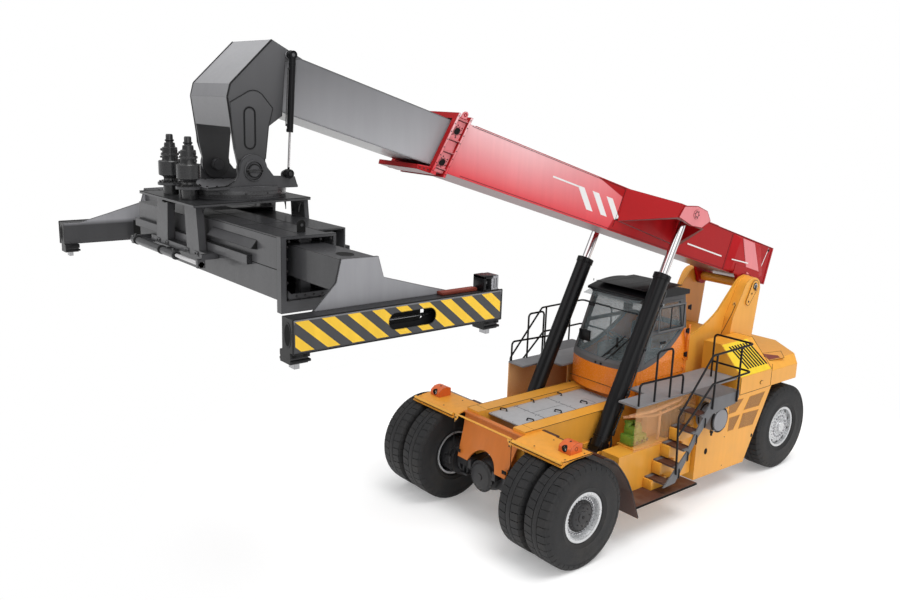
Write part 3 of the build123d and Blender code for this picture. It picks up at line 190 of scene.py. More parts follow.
def fill_weather_and_edge_shade(g: Graph, given: bpy.types.Node, out: bpy.types.Node) -> None:
    """Wire the weathering and edge-shade group: broad tone, fine speckle, dust low down, and the edge
    colour along edges and creases.
    """
    where = given.outputs["Vector"]
    broad = g.noise(where, 0.9, 2.0)
    fine = g.noise(where, 38.0, 4.0)
    streaky = g.add("Mapping", None, Vector=where, Scale=(6.0, 6.0, 0.7)).outputs[0]
    streaks = g.noise(streaky, 1.6, 5.0)
    tone = g.math("ADD", g.span(broad, 0.3, 0.7, -0.5, 0.5), g.span(streaks, 0.35, 0.75, -0.45, 0.45))
    tone = g.math("MULTIPLY", tone, given.outputs["Variation"])
    shade = g.math("ADD", 1.0, tone)
    paint = g.add("VectorMath", {"operation": "SCALE"}, i0=given.outputs["Colour"], Scale=shade).outputs[0]
    height = g.add("SeparateXYZ", None, Vector=where).outputs[2]
    low_down = g.span(height, 2.2, 0.2, 0.0, 1.0)
    patchy = g.span(g.noise(where, 3.2, 6.0), 0.46, 0.68)
    dust = g.math("MULTIPLY", g.math("MULTIPLY", low_down, patchy), given.outputs["Dust"])
    dusty = g.mix(dust, paint, given.outputs["Dust Colour"])
    # Painted shade: where the bevelled normal leaves the true one, along edges and creases, the colour
    # turns to the edge colour, darker than the paint on most finishes.
    bevel = g.add("Bevel", {"samples": 4}, Radius=given.outputs["Edge Width"])
    flat = g.add("NewGeometry")
    aligned = g.add(
        "VectorMath", {"operation": "DOT_PRODUCT"}, i0=bevel.outputs[0], i1=flat.outputs["Normal"],
    )
    seam = g.span(aligned.outputs["Value"], 0.995, 0.90)
    seam = g.math("MULTIPLY", seam, given.outputs["Edge"])
    edged = g.mix(seam, dusty, given.outputs["Edge Colour"])
    rough = g.math("ADD", given.outputs["Roughness"], g.span(fine, 0.3, 0.7, -0.05, 0.05))
    rough = g.math("ADD", rough, g.math("MULTIPLY", dust, 0.3))
    bumpy = g.add(
        "Bump", None, Strength=given.outputs["Bump"], Distance=0.004,
        Height=g.math("ADD", fine, g.math("MULTIPLY", broad, 2.0)),
    )
    g.tree.links.new(edged, out.inputs["Colour"])
    g.tree.links.new(rough, out.inputs["Roughness"])
    g.tree.links.new(bumpy.outputs[0], out.inputs["Normal"])


WEATHER_AND_EDGE_SHADE_SOCKETS = (
    ("INPUT", "Vector", "Vector"),
    ("INPUT", "Colour", "Color"),
    ("INPUT", "Roughness", "Float"),
    ("INPUT", "Variation", "Float"),
    ("INPUT", "Dust", "Float"),
    ("INPUT", "Dust Colour", "Color"),
    ("INPUT", "Edge", "Float"),
    ("INPUT", "Edge Width", "Float"),
    ("INPUT", "Edge Colour", "Color"),
    ("INPUT", "Bump", "Float"),
    ("OUTPUT", "Colour", "Color"),
    ("OUTPUT", "Roughness", "Float"),
    ("OUTPUT", "Normal", "Vector"),
)


@dataclass(frozen=True)
class Finish:
    """A surface finish: paint, rubber or metal with random tone, dust, and an edge colour along its edges,
    mostly darker as painted shade.
    """

    name: str
    colour: Colour
    roughness: float = 0.4
    metallic: float = 0.0
    coat: float = 0.0
    gloss: float = 0.4
    variation: float = 0.10
    dust: float = 0.15
    dust_colour: Colour = (0.30, 0.24, 0.18)
    # edge, edge_width and edge_colour draw a line along edges and creases: painted shade where the edge
    # colour is darker than the paint.
    edge: float = 0.5
    edge_width: float = 0.008
    edge_colour: Colour = (0.02, 0.015, 0.012)
    bump: float = 0.03

    def pattern(self, g: Graph, where: bpy.types.NodeSocket) -> object:
        """Return the base colour before weathering; plain here."""
        return self.colour

    def material(self) -> bpy.types.Material:
        """Return this finish's material, building it on first use."""
        known = bpy.data.materials.get(self.name)
        if known:
            return known
        made = bpy.data.materials.new(self.name)
        made.use_nodes = True
        g = Graph(made.node_tree)
        where = g.add("TexCoord").outputs["Object"]
        group = g.add("Group", {"node_tree": shared_group("weather", WEATHER_AND_EDGE_SHADE_SOCKETS, fill_weather_and_edge_shade)})
        values = {
            "Vector": where,
            "Colour": self.pattern(g, where),
            "Roughness": self.roughness,
            "Variation": self.variation,
            "Dust": self.dust,
            "Dust Colour": self.dust_colour,
            "Edge": self.edge,
            "Edge Width": self.edge_width,
            "Edge Colour": self.edge_colour,
            "Bump": self.bump,
        }
        for label, value in values.items():
            if isinstance(value, bpy.types.NodeSocket):
                g.tree.links.new(value, group.inputs[label])
            elif isinstance(value, tuple):
                group.inputs[label].default_value = (*value, 1.0)
            else:
                group.inputs[label].default_value = value
        surface = g.add(
            "BsdfPrincipled",
            None,
            Base_Color=group.outputs["Colour"],
            Roughness=group.outputs["Roughness"],
            Normal=group.outputs["Normal"],
            Metallic=self.metallic,
            Coat_Weight=self.coat,
            Specular_IOR_Level=self.gloss,
            Coat_Roughness=0.12,
        )
        self.shade(g, surface, where)
        g.add("OutputMaterial", None, Surface=surface.outputs[0])
        made.diffuse_color = (*self.colour, 1.0)
        return made

    def shade(self, g: Graph, surface: bpy.types.Node, where: bpy.types.NodeSocket) -> None:
        """Set what a special finish adds to the shader; nothing here."""


@dataclass(frozen=True)
class FaceLitPaint(Finish):
    """Paint with painted light: its own tones for front, side and top faces as if lit from one way, scaled
    by a painted shade gain that changes with height.
    """

    # Painted light: side and top are lit and shaded copies of the paint, and low_gain to high_gain is
    # painted shade by height.
    side: Colour = (0.2, 0.2, 0.2)
    top: Colour = (0.1, 0.1, 0.1)
    low: float = 0.0
    high: float = 1.0
    low_gain: float = 1.0
    high_gain: float = 1.0

    def pattern(self, g: Graph, where: bpy.types.NodeSocket) -> bpy.types.NodeSocket:
        """Return the painted light: a tone by which way a face looks, scaled by a painted shade gain by
        height.
        """
        axes = g.add("SeparateXYZ", None, Vector=g.add("NewGeometry").outputs["True Normal"]).outputs
        sideways = g.span(g.math("ABSOLUTE", axes[0]), 0.55, 0.85)
        upward = g.span(axes[2], 0.55, 0.9)
        tone = g.mix(upward, g.mix(sideways, self.colour, self.side), self.top)
        height = g.add("SeparateXYZ", None, Vector=where).outputs[2]
        gain = g.span(height, self.low, self.high, self.low_gain, self.high_gain)
        return g.add("VectorMath", {"operation": "SCALE"}, i0=tone, Scale=gain).outputs[0]


@dataclass(frozen=True)
class HazardBeam(FaceLitPaint):
    """An end beam: dark faceted paint with slanting warning stripes on its outer face."""

    yellow: Colour = (0.90, 0.56, 0.04)
    dark: Colour = (0.10, 0.10, 0.105)
    pitch: float = 0.268
    rise: float = 1.2
    phase: float = 0.155
    reach: float = 3.396
    ends: Pair = (-6.285, -3.885)
    heights: Pair = (4.618, 4.892)

    def pattern(self, g: Graph, where: bpy.types.NodeSocket) -> bpy.types.NodeSocket:
        """Return stripes inside the outer face's border and faceted paint elsewhere."""
        axes = g.add("SeparateXYZ", None, Vector=where).outputs
        slant = g.math("ADD", axes[1], g.math("MULTIPLY", axes[2], self.rise))
        turn = g.math("FRACT", g.math("DIVIDE", g.math("ADD", slant, 100.0 - self.phase), self.pitch))
        stripes = g.mix(g.math("GREATER_THAN", turn, 0.5), self.yellow, self.dark)
        inside = g.math("GREATER_THAN", g.math("ABSOLUTE", axes[0]), self.reach)
        for axis, (low, high) in ((axes[1], self.ends), (axes[2], self.heights)):
            inside = g.math("MULTIPLY", inside, g.math("GREATER_THAN", axis, low))
            inside = g.math("MULTIPLY", inside, g.math("LESS_THAN", axis, high))
        return g.mix(inside, FaceLitPaint.pattern(self, g, where), stripes)


@dataclass(frozen=True)
class BoomPaint(Finish):
    """The boom's red with painted light: a pink painted highlight ahead of a curved line on its sides, and
    grey-pink painted light underneath.
    """

    # Painted light: sheen is the painted highlight, lit the red it rises from, and under the painted
    # grey-pink of faces that look down.
    sheen: Colour = (0.90, 0.42, 0.44)
    lit: Colour = (0.74, 0.06, 0.075)
    under: Colour = (0.22, 0.12, 0.125)

    def pattern(self, g: Graph, where: bpy.types.NodeSocket) -> bpy.types.NodeSocket:
        """Return the red with its painted highlight and underside light by place along the boom, height on
        it and which way a face looks.
        """
        axes = g.add("SeparateXYZ", None, Vector=where).outputs
        along = g.math("SUBTRACT", axes[1], FRONT_AXLE_Y + BOOM_PIVOT.y)
        above = g.math("SUBTRACT", axes[2], BOOM_PIVOT.z)
        cos, sin = math.cos(BOOM_LEAN), math.sin(BOOM_LEAN)
        s = g.math("SUBTRACT", g.math("MULTIPLY", above, sin), g.math("MULTIPLY", along, cos))
        h = g.math("ADD", g.math("MULTIPLY", along, sin), g.math("MULTIPLY", above, cos))
        bow = g.math("MULTIPLY", g.math("MAXIMUM", g.math("SUBTRACT", h, 0.72), 0.0), 4.4)
        line = g.math(
            "ADD", g.math("MULTIPLY", g.math("MAXIMUM", g.math("SUBTRACT", 0.50, h), 0.0), 0.45),
            g.math("ADD", bow, 4.10),
        )
        ahead = g.span(g.math("SUBTRACT", s, line), 0.0, 0.03)
        # Painted highlight, rising toward the top and front of the side faces.
        rise = g.math("MULTIPLY", g.span(h, 0.12, 0.90), g.span(s, 4.0, 6.4, 0.25, 1.0))
        lit = g.mix(rise, self.lit, self.sheen)
        # Only side faces take the painted highlight; faces that look down take the painted underside light.
        normal = g.add("SeparateXYZ", None, Vector=g.add("NewGeometry").outputs["True Normal"]).outputs
        sideways = g.math("GREATER_THAN", g.math("ABSOLUTE", normal[0]), 0.9)
        painted = g.mix(g.math("MULTIPLY", ahead, sideways), self.colour, lit)
        return g.mix(g.span(normal[2], -0.55, -0.9), painted, self.under)


@dataclass(frozen=True)
class TablePaint(FaceLitPaint):
    """The table's grey, with its side-shift rod left bright."""

    bright: Colour = (0.62, 0.61, 0.62)
    rod: Pair = (-5.990, 4.937)
    reach: float = 0.026
    start: float = 0.09

    def pattern(self, g: Graph, where: bpy.types.NodeSocket) -> bpy.types.NodeSocket:
        """Return bright steel round the rod's line and faceted paint elsewhere."""
        axes = g.add("SeparateXYZ", None, Vector=where).outputs
        inside = g.math("GREATER_THAN", axes[0], self.start)
        for axis, middle in ((axes[1], self.rod[0]), (axes[2], self.rod[1])):
            off = g.math("ABSOLUTE", g.math("SUBTRACT", axis, middle))
            inside = g.math("MULTIPLY", inside, g.math("LESS_THAN", off, self.reach))
        return g.mix(inside, FaceLitPaint.pattern(self, g, where), self.bright)


@dataclass(frozen=True)
class EyeRod(Finish):
    """A chromed rod whose lower eye is dark."""

    eye: Colour = (0.012, 0.012, 0.013)
    level: float = 5.965

    def pattern(self, g: Graph, where: bpy.types.NodeSocket) -> bpy.types.NodeSocket:
        """Return chrome above a height and the dark colour below it."""
        height = g.add("SeparateXYZ", None, Vector=where).outputs[2]
        return g.mix(g.math("GREATER_THAN", height, self.level), self.eye, self.colour)


@dataclass(frozen=True)
class GuardPaint(Finish):
    """A fender: body paint on its flat plate and dark rubber sheet on its arch."""

    arch: Colour = (0.075, 0.028, 0.018)

    def pattern(self, g: Graph, where: bpy.types.NodeSocket) -> bpy.types.NodeSocket:
        """Return paint on the flat plate and the arch's colour elsewhere."""
        axes = g.add("SeparateXYZ", None, Vector=where).outputs
        flat = g.math(
            "MULTIPLY", g.math("GREATER_THAN", axes[2], 1.60), g.math("LESS_THAN", axes[1], -0.36),
        )
        flat = g.math("MULTIPLY", flat, g.math("LESS_THAN", g.math("ABSOLUTE", axes[0]), 1.803))
        return g.mix(flat, self.arch, self.colour)


@dataclass(frozen=True)
class GhostSide(Finish):
    """Body paint that turns half clear on the machine's left."""

    opacity: float = 0.20

    def shade(self, g: Graph, surface: bpy.types.Node, where: bpy.types.NodeSocket) -> None:
        """Clear the paint on the left."""
        across = g.add("SeparateXYZ", None, Vector=where).outputs[0]
        g.tree.links.new(g.span(across, -0.1, 0.1, 1.0, self.opacity), surface.inputs["Alpha"])


@dataclass(frozen=True)
class TwoTone(Finish):
    """A wheel finish whose colour changes at a radius from the axle line."""

    inner: Colour = (0.06, 0.06, 0.065)
    radius: float = 0.26
    axle_y: float = FRONT_AXLE_Y

    def pattern(self, g: Graph, where: bpy.types.NodeSocket) -> bpy.types.NodeSocket:
        """Return the colour by distance from the axle line."""
        axes = g.add("SeparateXYZ", None, Vector=where).outputs
        along = g.math("SUBTRACT", axes[1], self.axle_y)
        up = g.math("SUBTRACT", axes[2], AXLE_Z)
        out = g.math("SQRT", g.math("ADD", g.math("MULTIPLY", along, along), g.math("MULTIPLY", up, up)))
        return g.mix(g.span(out, self.radius - 0.003, self.radius + 0.003), self.inner, self.colour)


@dataclass(frozen=True)
class MeshScreen(Finish):
    """A woven wire screen over an opening drawn in painted shade."""

    gap: Colour = (0.05, 0.025, 0.01)
    pitch: float = 0.014

    def pattern(self, g: Graph, where: bpy.types.NodeSocket) -> bpy.types.NodeSocket:
        """Return wire colour on the wires and painted shade for the opening between them."""
        axes = g.add("SeparateXYZ", None, Vector=where).outputs
        wires = None
        for axis in (axes[1], axes[2]):
            turn = g.math("FRACT", g.math("DIVIDE", g.math("ADD", axis, 100.0), self.pitch))
            wire = g.math("LESS_THAN", turn, 0.45)
            wires = wire if wires is None else g.math("MAXIMUM", wires, wire)
        return g.mix(wires, self.gap, self.colour)


@dataclass(frozen=True)
class Pane(Finish):
    """Clear or tinted glass and half-clear sheet."""

    transmission: float = 1.0
    opacity: float = 1.0

    def shade(self, g: Graph, surface: bpy.types.Node, where: bpy.types.NodeSocket) -> None:
        """Let light through the sheet."""
        surface.inputs["Transmission Weight"].default_value = self.transmission
        surface.inputs["IOR"].default_value = 1.45
        surface.inputs["Alpha"].default_value = self.opacity


@dataclass(frozen=True)
class Cloth(Finish):
    """Woven seat cloth."""

    def shade(self, g: Graph, surface: bpy.types.Node, where: bpy.types.NodeSocket) -> None:
        """Add a soft sheen and a fine weave."""
        surface.inputs["Sheen Weight"].default_value = 0.4
        weave = g.add(
            "TexWave", {"wave_type": "BANDS", "bands_direction": "DIAGONAL"}, Vector=where, Scale=160.0,
        )
        bump = g.add("Bump", None, Strength=0.4, Distance=0.002, Height=weave.outputs[1])
        g.tree.links.new(bump.outputs[0], surface.inputs["Normal"])


BOOM_RED = Finish(
    "boom_red_paint", (0.46, 0.012, 0.016), 0.36, coat=0.05, variation=0.10, dust=0.0, edge=0.6,
    edge_colour=(0.09, 0.002, 0.003), gloss=0.14,
)
# The outer boom's sides: red with a painted pink highlight and painted light on faces that look down.
BOOM_SIDES = BoomPaint(
    "boom_red_sides", (0.40, 0.008, 0.011), 0.36, coat=0.05, variation=0.06, dust=0.0, edge=0.7,
    edge_width=0.012, edge_colour=(0.08, 0.002, 0.003), sheen=(0.93, 0.56, 0.58), gloss=0.14,
)
PALE_RED = Finish(
    "pale_red_paint", (0.80, 0.26, 0.28), 0.36, coat=0.12, variation=0.08, dust=0.0, edge=0.8,
    edge_width=0.010, edge_colour=(0.10, 0.003, 0.004), gloss=0.2,
)
# Painted light: the amber's side and top faces are a little darker than its front faces.
AMBER = FaceLitPaint(
    "amber_body_paint", (0.86, 0.42, 0.05), 0.38, coat=0.18, variation=0.07, dust=0.08, edge=0.6,
    edge_colour=(0.22, 0.06, 0.008), side=(0.84, 0.38, 0.045), top=(0.80, 0.36, 0.04),
)
AMBER_LIGHT = Finish(
    "amber_tower_paint", (0.85, 0.40, 0.05), 0.40, coat=0.15, variation=0.06, dust=0.0, edge=0.7,
    edge_width=0.012, edge_colour=(0.18, 0.06, 0.01),
)
DARK_AMBER = Finish(
    "dark_amber_paint", (0.62, 0.17, 0.02), 0.40, coat=0.2, variation=0.10, edge=0.6,
    edge_colour=(0.15, 0.03, 0.005),
)
ORANGE = Finish(
    "orange_cab_paint", (0.92, 0.25, 0.018), 0.26, coat=0.5, variation=0.08, dust=0.05, edge=0.5,
    edge_colour=(0.22, 0.03, 0.003),
)
YELLOW = Finish(
    "yellow_panel_paint", (0.88, 0.62, 0.02), 0.38, coat=0.2, dust=0.05, edge_colour=(0.2, 0.1, 0.01),
)
LAMP_RED = Finish(
    "lamp_housing_paint", (0.70, 0.13, 0.025), 0.34, coat=0.3, dust=0.0, edge=0.8,
    edge_colour=(0.08, 0.01, 0.004),
)
DEEP_RED = Finish("shaded_red_paint", (0.20, 0.035, 0.02), 0.5, dust=0.3)
BROWN = Finish("brown_rubber_sheet", (0.085, 0.030, 0.018), 0.55, dust=0.2, edge=0.7, bump=0.12)
# Painted light: the spreader box's tops much darker and its sides a little darker than its fronts.
STEEL_GREY = FaceLitPaint(
    "grey_attachment_paint", (0.082, 0.082, 0.086), 0.36, coat=0.25, variation=0.14, dust=0.0, edge=0.95,
    edge_width=0.014, edge_colour=(0.004, 0.004, 0.004), side=(0.066, 0.066, 0.070),
    top=(0.028, 0.028, 0.030), gloss=0.25,
)
# Painted light: the table's tops much darker and its sides a little darker than its fronts.
TABLE_GREY = TablePaint(
    "grey_table_paint", (0.082, 0.082, 0.086), 0.36, coat=0.25, variation=0.14, dust=0.0, edge=0.6,
    edge_width=0.014, edge_colour=(0.004, 0.004, 0.004), side=(0.066, 0.066, 0.070),
    top=(0.028, 0.028, 0.030), gloss=0.25,
)
# Painted light: the beams' sides lighter and their tops darker than their fronts.
BEAM_GREY = FaceLitPaint(
    "grey_beam_paint", (0.050, 0.050, 0.053), 0.36, coat=0.25, variation=0.14, dust=0.0, edge=0.95,
    edge_width=0.014, edge_colour=(0.004, 0.004, 0.004), side=(0.075, 0.075, 0.080),
    top=(0.040, 0.040, 0.043), gloss=0.25,
)
# Painted light: its sides much lighter than its front and top, and painted shade darkening it below 4.86 m,
# full tone from 4.93 m.
END_BEAM = HazardBeam(
    "hazard_end_beam", (0.028, 0.028, 0.03), 0.38, coat=0.15, variation=0.12, dust=0.0, edge=0.95,
    edge_width=0.014, edge_colour=(0.004, 0.004, 0.004), side=(0.32, 0.32, 0.338),
    top=(0.030, 0.030, 0.032), low=4.86, high=4.93, low_gain=0.15, high_gain=1.0,
    dark=(0.060, 0.060, 0.063), gloss=0.25,
)
# Painted light: the head's tops lighter and its sides darker than its fronts, and painted shade that
# darkens it toward the bottom.
HEAD_GREY = FaceLitPaint(
    "grey_head_paint", (0.27, 0.27, 0.283), 0.36, coat=0.20, variation=0.06, dust=0.0, edge=0.95,
    edge_width=0.016, edge_colour=(0.006, 0.006, 0.006), side=(0.105, 0.105, 0.110),
    top=(0.40, 0.40, 0.415), low=5.9, high=7.3, low_gain=0.34, high_gain=1.15,
)
# Painted light: the inner boom's sides lighter and its tops darker than its fronts, brighter low down near
# the collar and darker higher up.
INNER_GREY = FaceLitPaint(
    "grey_inner_boom_paint", (0.20, 0.20, 0.205), 0.36, coat=0.20, variation=0.05, dust=0.0, edge=0.9,
    edge_width=0.030, edge_colour=(0.006, 0.006, 0.006), side=(0.30, 0.30, 0.315), top=(0.08, 0.08, 0.085),
    low=5.7, high=7.1, low_gain=1.7, high_gain=0.65,
)
# Painted light: the yoke's tops lighter and its sides a little lighter than its fronts.
YOKE_GREY = FaceLitPaint(
    "grey_yoke_paint", (0.060, 0.060, 0.063), 0.36, coat=0.2, variation=0.16, dust=0.0, edge=0.95,
    edge_width=0.014, edge_colour=(0.004, 0.004, 0.004), side=(0.066, 0.066, 0.070),
    top=(0.16, 0.16, 0.168), gloss=0.25,
)
MOTOR_GREY = Finish(
    "motor_grey_paint", (0.022, 0.022, 0.023), 0.28, coat=0.3, variation=0.2, dust=0.0, edge=0.6,
    edge_colour=(0.12, 0.12, 0.12),
)
RING_GREY = Finish(
    "slew_ring_paint", (0.085, 0.085, 0.088), 0.26, metallic=0.5, variation=0.1, dust=0.0, edge=0.5,
)
BLACK = Finish(
    "black_paint", (0.005, 0.005, 0.006), 0.34, coat=0.05, dust=0.02, edge=0.2,
    edge_colour=(0.05, 0.05, 0.05), gloss=0.22,
)
RUBBER = Finish(
    "tyre_rubber", (0.020, 0.020, 0.021), 0.60, variation=0.22, dust=0.04, edge=0.25,
    edge_colour=(0.05, 0.05, 0.049), bump=0.2, gloss=0.3,
)
SOFT_BLACK = Finish("black_rubber", (0.008, 0.008, 0.009), 0.6, dust=0.03, edge=0.0, bump=0.12)
DARK_STEEL = Finish("dark_axle_paint", (0.020, 0.020, 0.022), 0.42, variation=0.2, dust=0.05, edge=0.5)
SILVER = Finish(
    "silver_rim_paint", (0.62, 0.63, 0.64), 0.30, metallic=0.45, variation=0.08, dust=0.02, edge=0.6,
)
BOLT = Finish("plated_bolt", (0.62, 0.62, 0.64), 0.28, metallic=1.0, variation=0.05, dust=0.0, edge=0.4)
DARK_BOLT = Finish("dark_bolt", (0.03, 0.03, 0.032), 0.35, metallic=0.3, variation=0.05, dust=0.0, edge=0.4)
CHROME = Finish(
    "chromed_rod", (0.74, 0.72, 0.73), 0.10, metallic=1.0, variation=0.02, dust=0.0, edge=0.0, bump=0.0,
)
DAMPER_ROD = EyeRod(
    "damper_rod_steel", (0.74, 0.72, 0.73), 0.14, metallic=1.0, variation=0.02, dust=0.0, edge=0.0,
    bump=0.0,
)
MACHINED = Finish(
    "machined_steel", (0.42, 0.42, 0.43), 0.24, metallic=0.9, variation=0.10, dust=0.0, edge=0.5,
)
DECK = Finish("grey_deck_paint", (0.42, 0.42, 0.43), 0.50, variation=0.10, dust=0.10, edge=0.8, bump=0.10)
STAIR_GREY = Finish("grey_stair_paint", (0.135, 0.135, 0.142), 0.5, variation=0.12, dust=0.05, edge=0.8)
WALK_GREY = Finish(
    "grey_walkway_paint", (0.24, 0.24, 0.25), 0.5, variation=0.12, dust=0.05, edge=0.8, bump=0.10,
)
CANISTER = Finish("canister_paint", (0.235, 0.235, 0.25), 0.42, variation=0.08, dust=0.0, edge=0.9)
TRIM_GREY = Finish("grey_trim", (0.16, 0.16, 0.165), 0.5, variation=0.06, dust=0.0, edge=0.7)
LINING = Finish("cab_lining", (0.12, 0.12, 0.125), 0.6, variation=0.08, dust=0.0, edge=0.5)
GREEN = Finish("green_gearbox_paint", (0.17, 0.30, 0.03), 0.45, variation=0.2, dust=0.1, edge=0.8)
PEACH = Finish(
    "pale_tube_paint", (0.80, 0.42, 0.22), 0.45, variation=0.1, dust=0.0, edge=0.8,
    edge_colour=(0.3, 0.12, 0.05),
)
WHITE_LINE = Finish("white_marking", (0.86, 0.85, 0.85), 0.45, variation=0.03, dust=0.0, edge=0.0)
# Near-black for dark joints and gaps, and painted shade where holes, slots and recesses are drawn as thin
# flat sheets.
SHADOW = Finish("dark_opening", (0.004, 0.004, 0.004), 0.9, dust=0.0, edge=0.0)
FRONT_RIM = TwoTone(
    "front_rim_paint", (0.60, 0.61, 0.62), 0.30, metallic=0.40, dust=0.02, edge=0.6,
    inner=(0.03, 0.03, 0.032),
)
REAR_RIM = TwoTone(
    "rear_rim_paint", (0.62, 0.63, 0.64), 0.28, metallic=0.45, dust=0.02, edge=0.6,
    inner=(0.50, 0.50, 0.52), axle_y=FRONT_AXLE_Y + REAR_AXLE,
)
SCREEN = MeshScreen("vent_screen", (0.42, 0.19, 0.04), 0.5, dust=0.0, edge=0.0, gap=(0.16, 0.06, 0.01))
GUARD = GuardPaint(
    "fender_paint", (0.84, 0.36, 0.04), 0.40, coat=0.15, dust=0.0, edge=0.6,
    edge_colour=(0.12, 0.03, 0.006),
)
GHOST = GhostSide(
    "half_clear_cover", (0.95, 0.55, 0.26), 0.25, variation=0.0, dust=0.0, edge=0.3,
    edge_colour=(0.4, 0.15, 0.03), bump=0.0,
)
GLASS = Pane(
    "window_glass", (0.86, 0.88, 0.90), 0.02, variation=0.0, dust=0.0, edge=0.0, bump=0.0, opacity=0.08,
)
LENS = Pane("lamp_lens", (0.90, 0.90, 0.88), 0.05, variation=0.0, dust=0.0, edge=0.0, bump=0.0)
SEAT_CLOTH = Cloth("seat_cloth", (0.035, 0.035, 0.04), 0.85, dust=0.0, edge=0.0)


# ---------------------------------------------------------------- placing
def boom_point(along: float, up: float, x: float = 0.0) -> Vector:
    """Return the point at a length forward from the boom pivot and a height square to the boom."""
    cos, sin = math.cos(BOOM_LEAN), math.sin(BOOM_LEAN)
    return BOOM_PIVOT + Vector((x, up * sin - along * cos, along * sin + up * cos))


def boom_frame(x: float = 0.0) -> Matrix:
    """Return the frame whose local x runs forward along the boom, y square up from it and z inward."""
    cos, sin = math.cos(BOOM_LEAN), math.sin(BOOM_LEAN)
    turn = Matrix(((0, 0, -1), (-cos, sin, 0), (sin, cos, 0))).to_4x4()
    return Matrix.Translation(BOOM_PIVOT + Vector((x, 0, 0))) @ turn


def side_frame(x: float = 0.0) -> Matrix:
    """Return the frame whose local x runs rearward, y is height and z points to the machine's left."""
    turn = Matrix(((0, 0, 1), (1, 0, 0), (0, 1, 0))).to_4x4()
    return Matrix.Translation(Vector((x, 0, 0))) @ turn


def outward_frame(x: float, side: int) -> Matrix:
    """Return the side frame with its z turned to point away from the machine's middle."""
    return side_frame(x) @ Matrix.Diagonal((1.0, 1.0, float(side), 1.0))


def front_frame(y: float = 0.0) -> Matrix:
    """Return the frame whose local x is the machine's left, y is height and z points forward."""
    turn = Matrix(((1, 0, 0), (0, 0, -1), (0, 1, 0))).to_4x4()
    return Matrix.Translation(Vector((0, y, 0))) @ turn


def aim(start: Sequence[float], end: Sequence[float]) -> Matrix:
    """Return the frame at start whose local z points at end."""
    line = Vector(end) - Vector(start)
    return Matrix.Translation(Vector(start)) @ line.to_track_quat("Z", "Y").to_matrix().to_4x4()


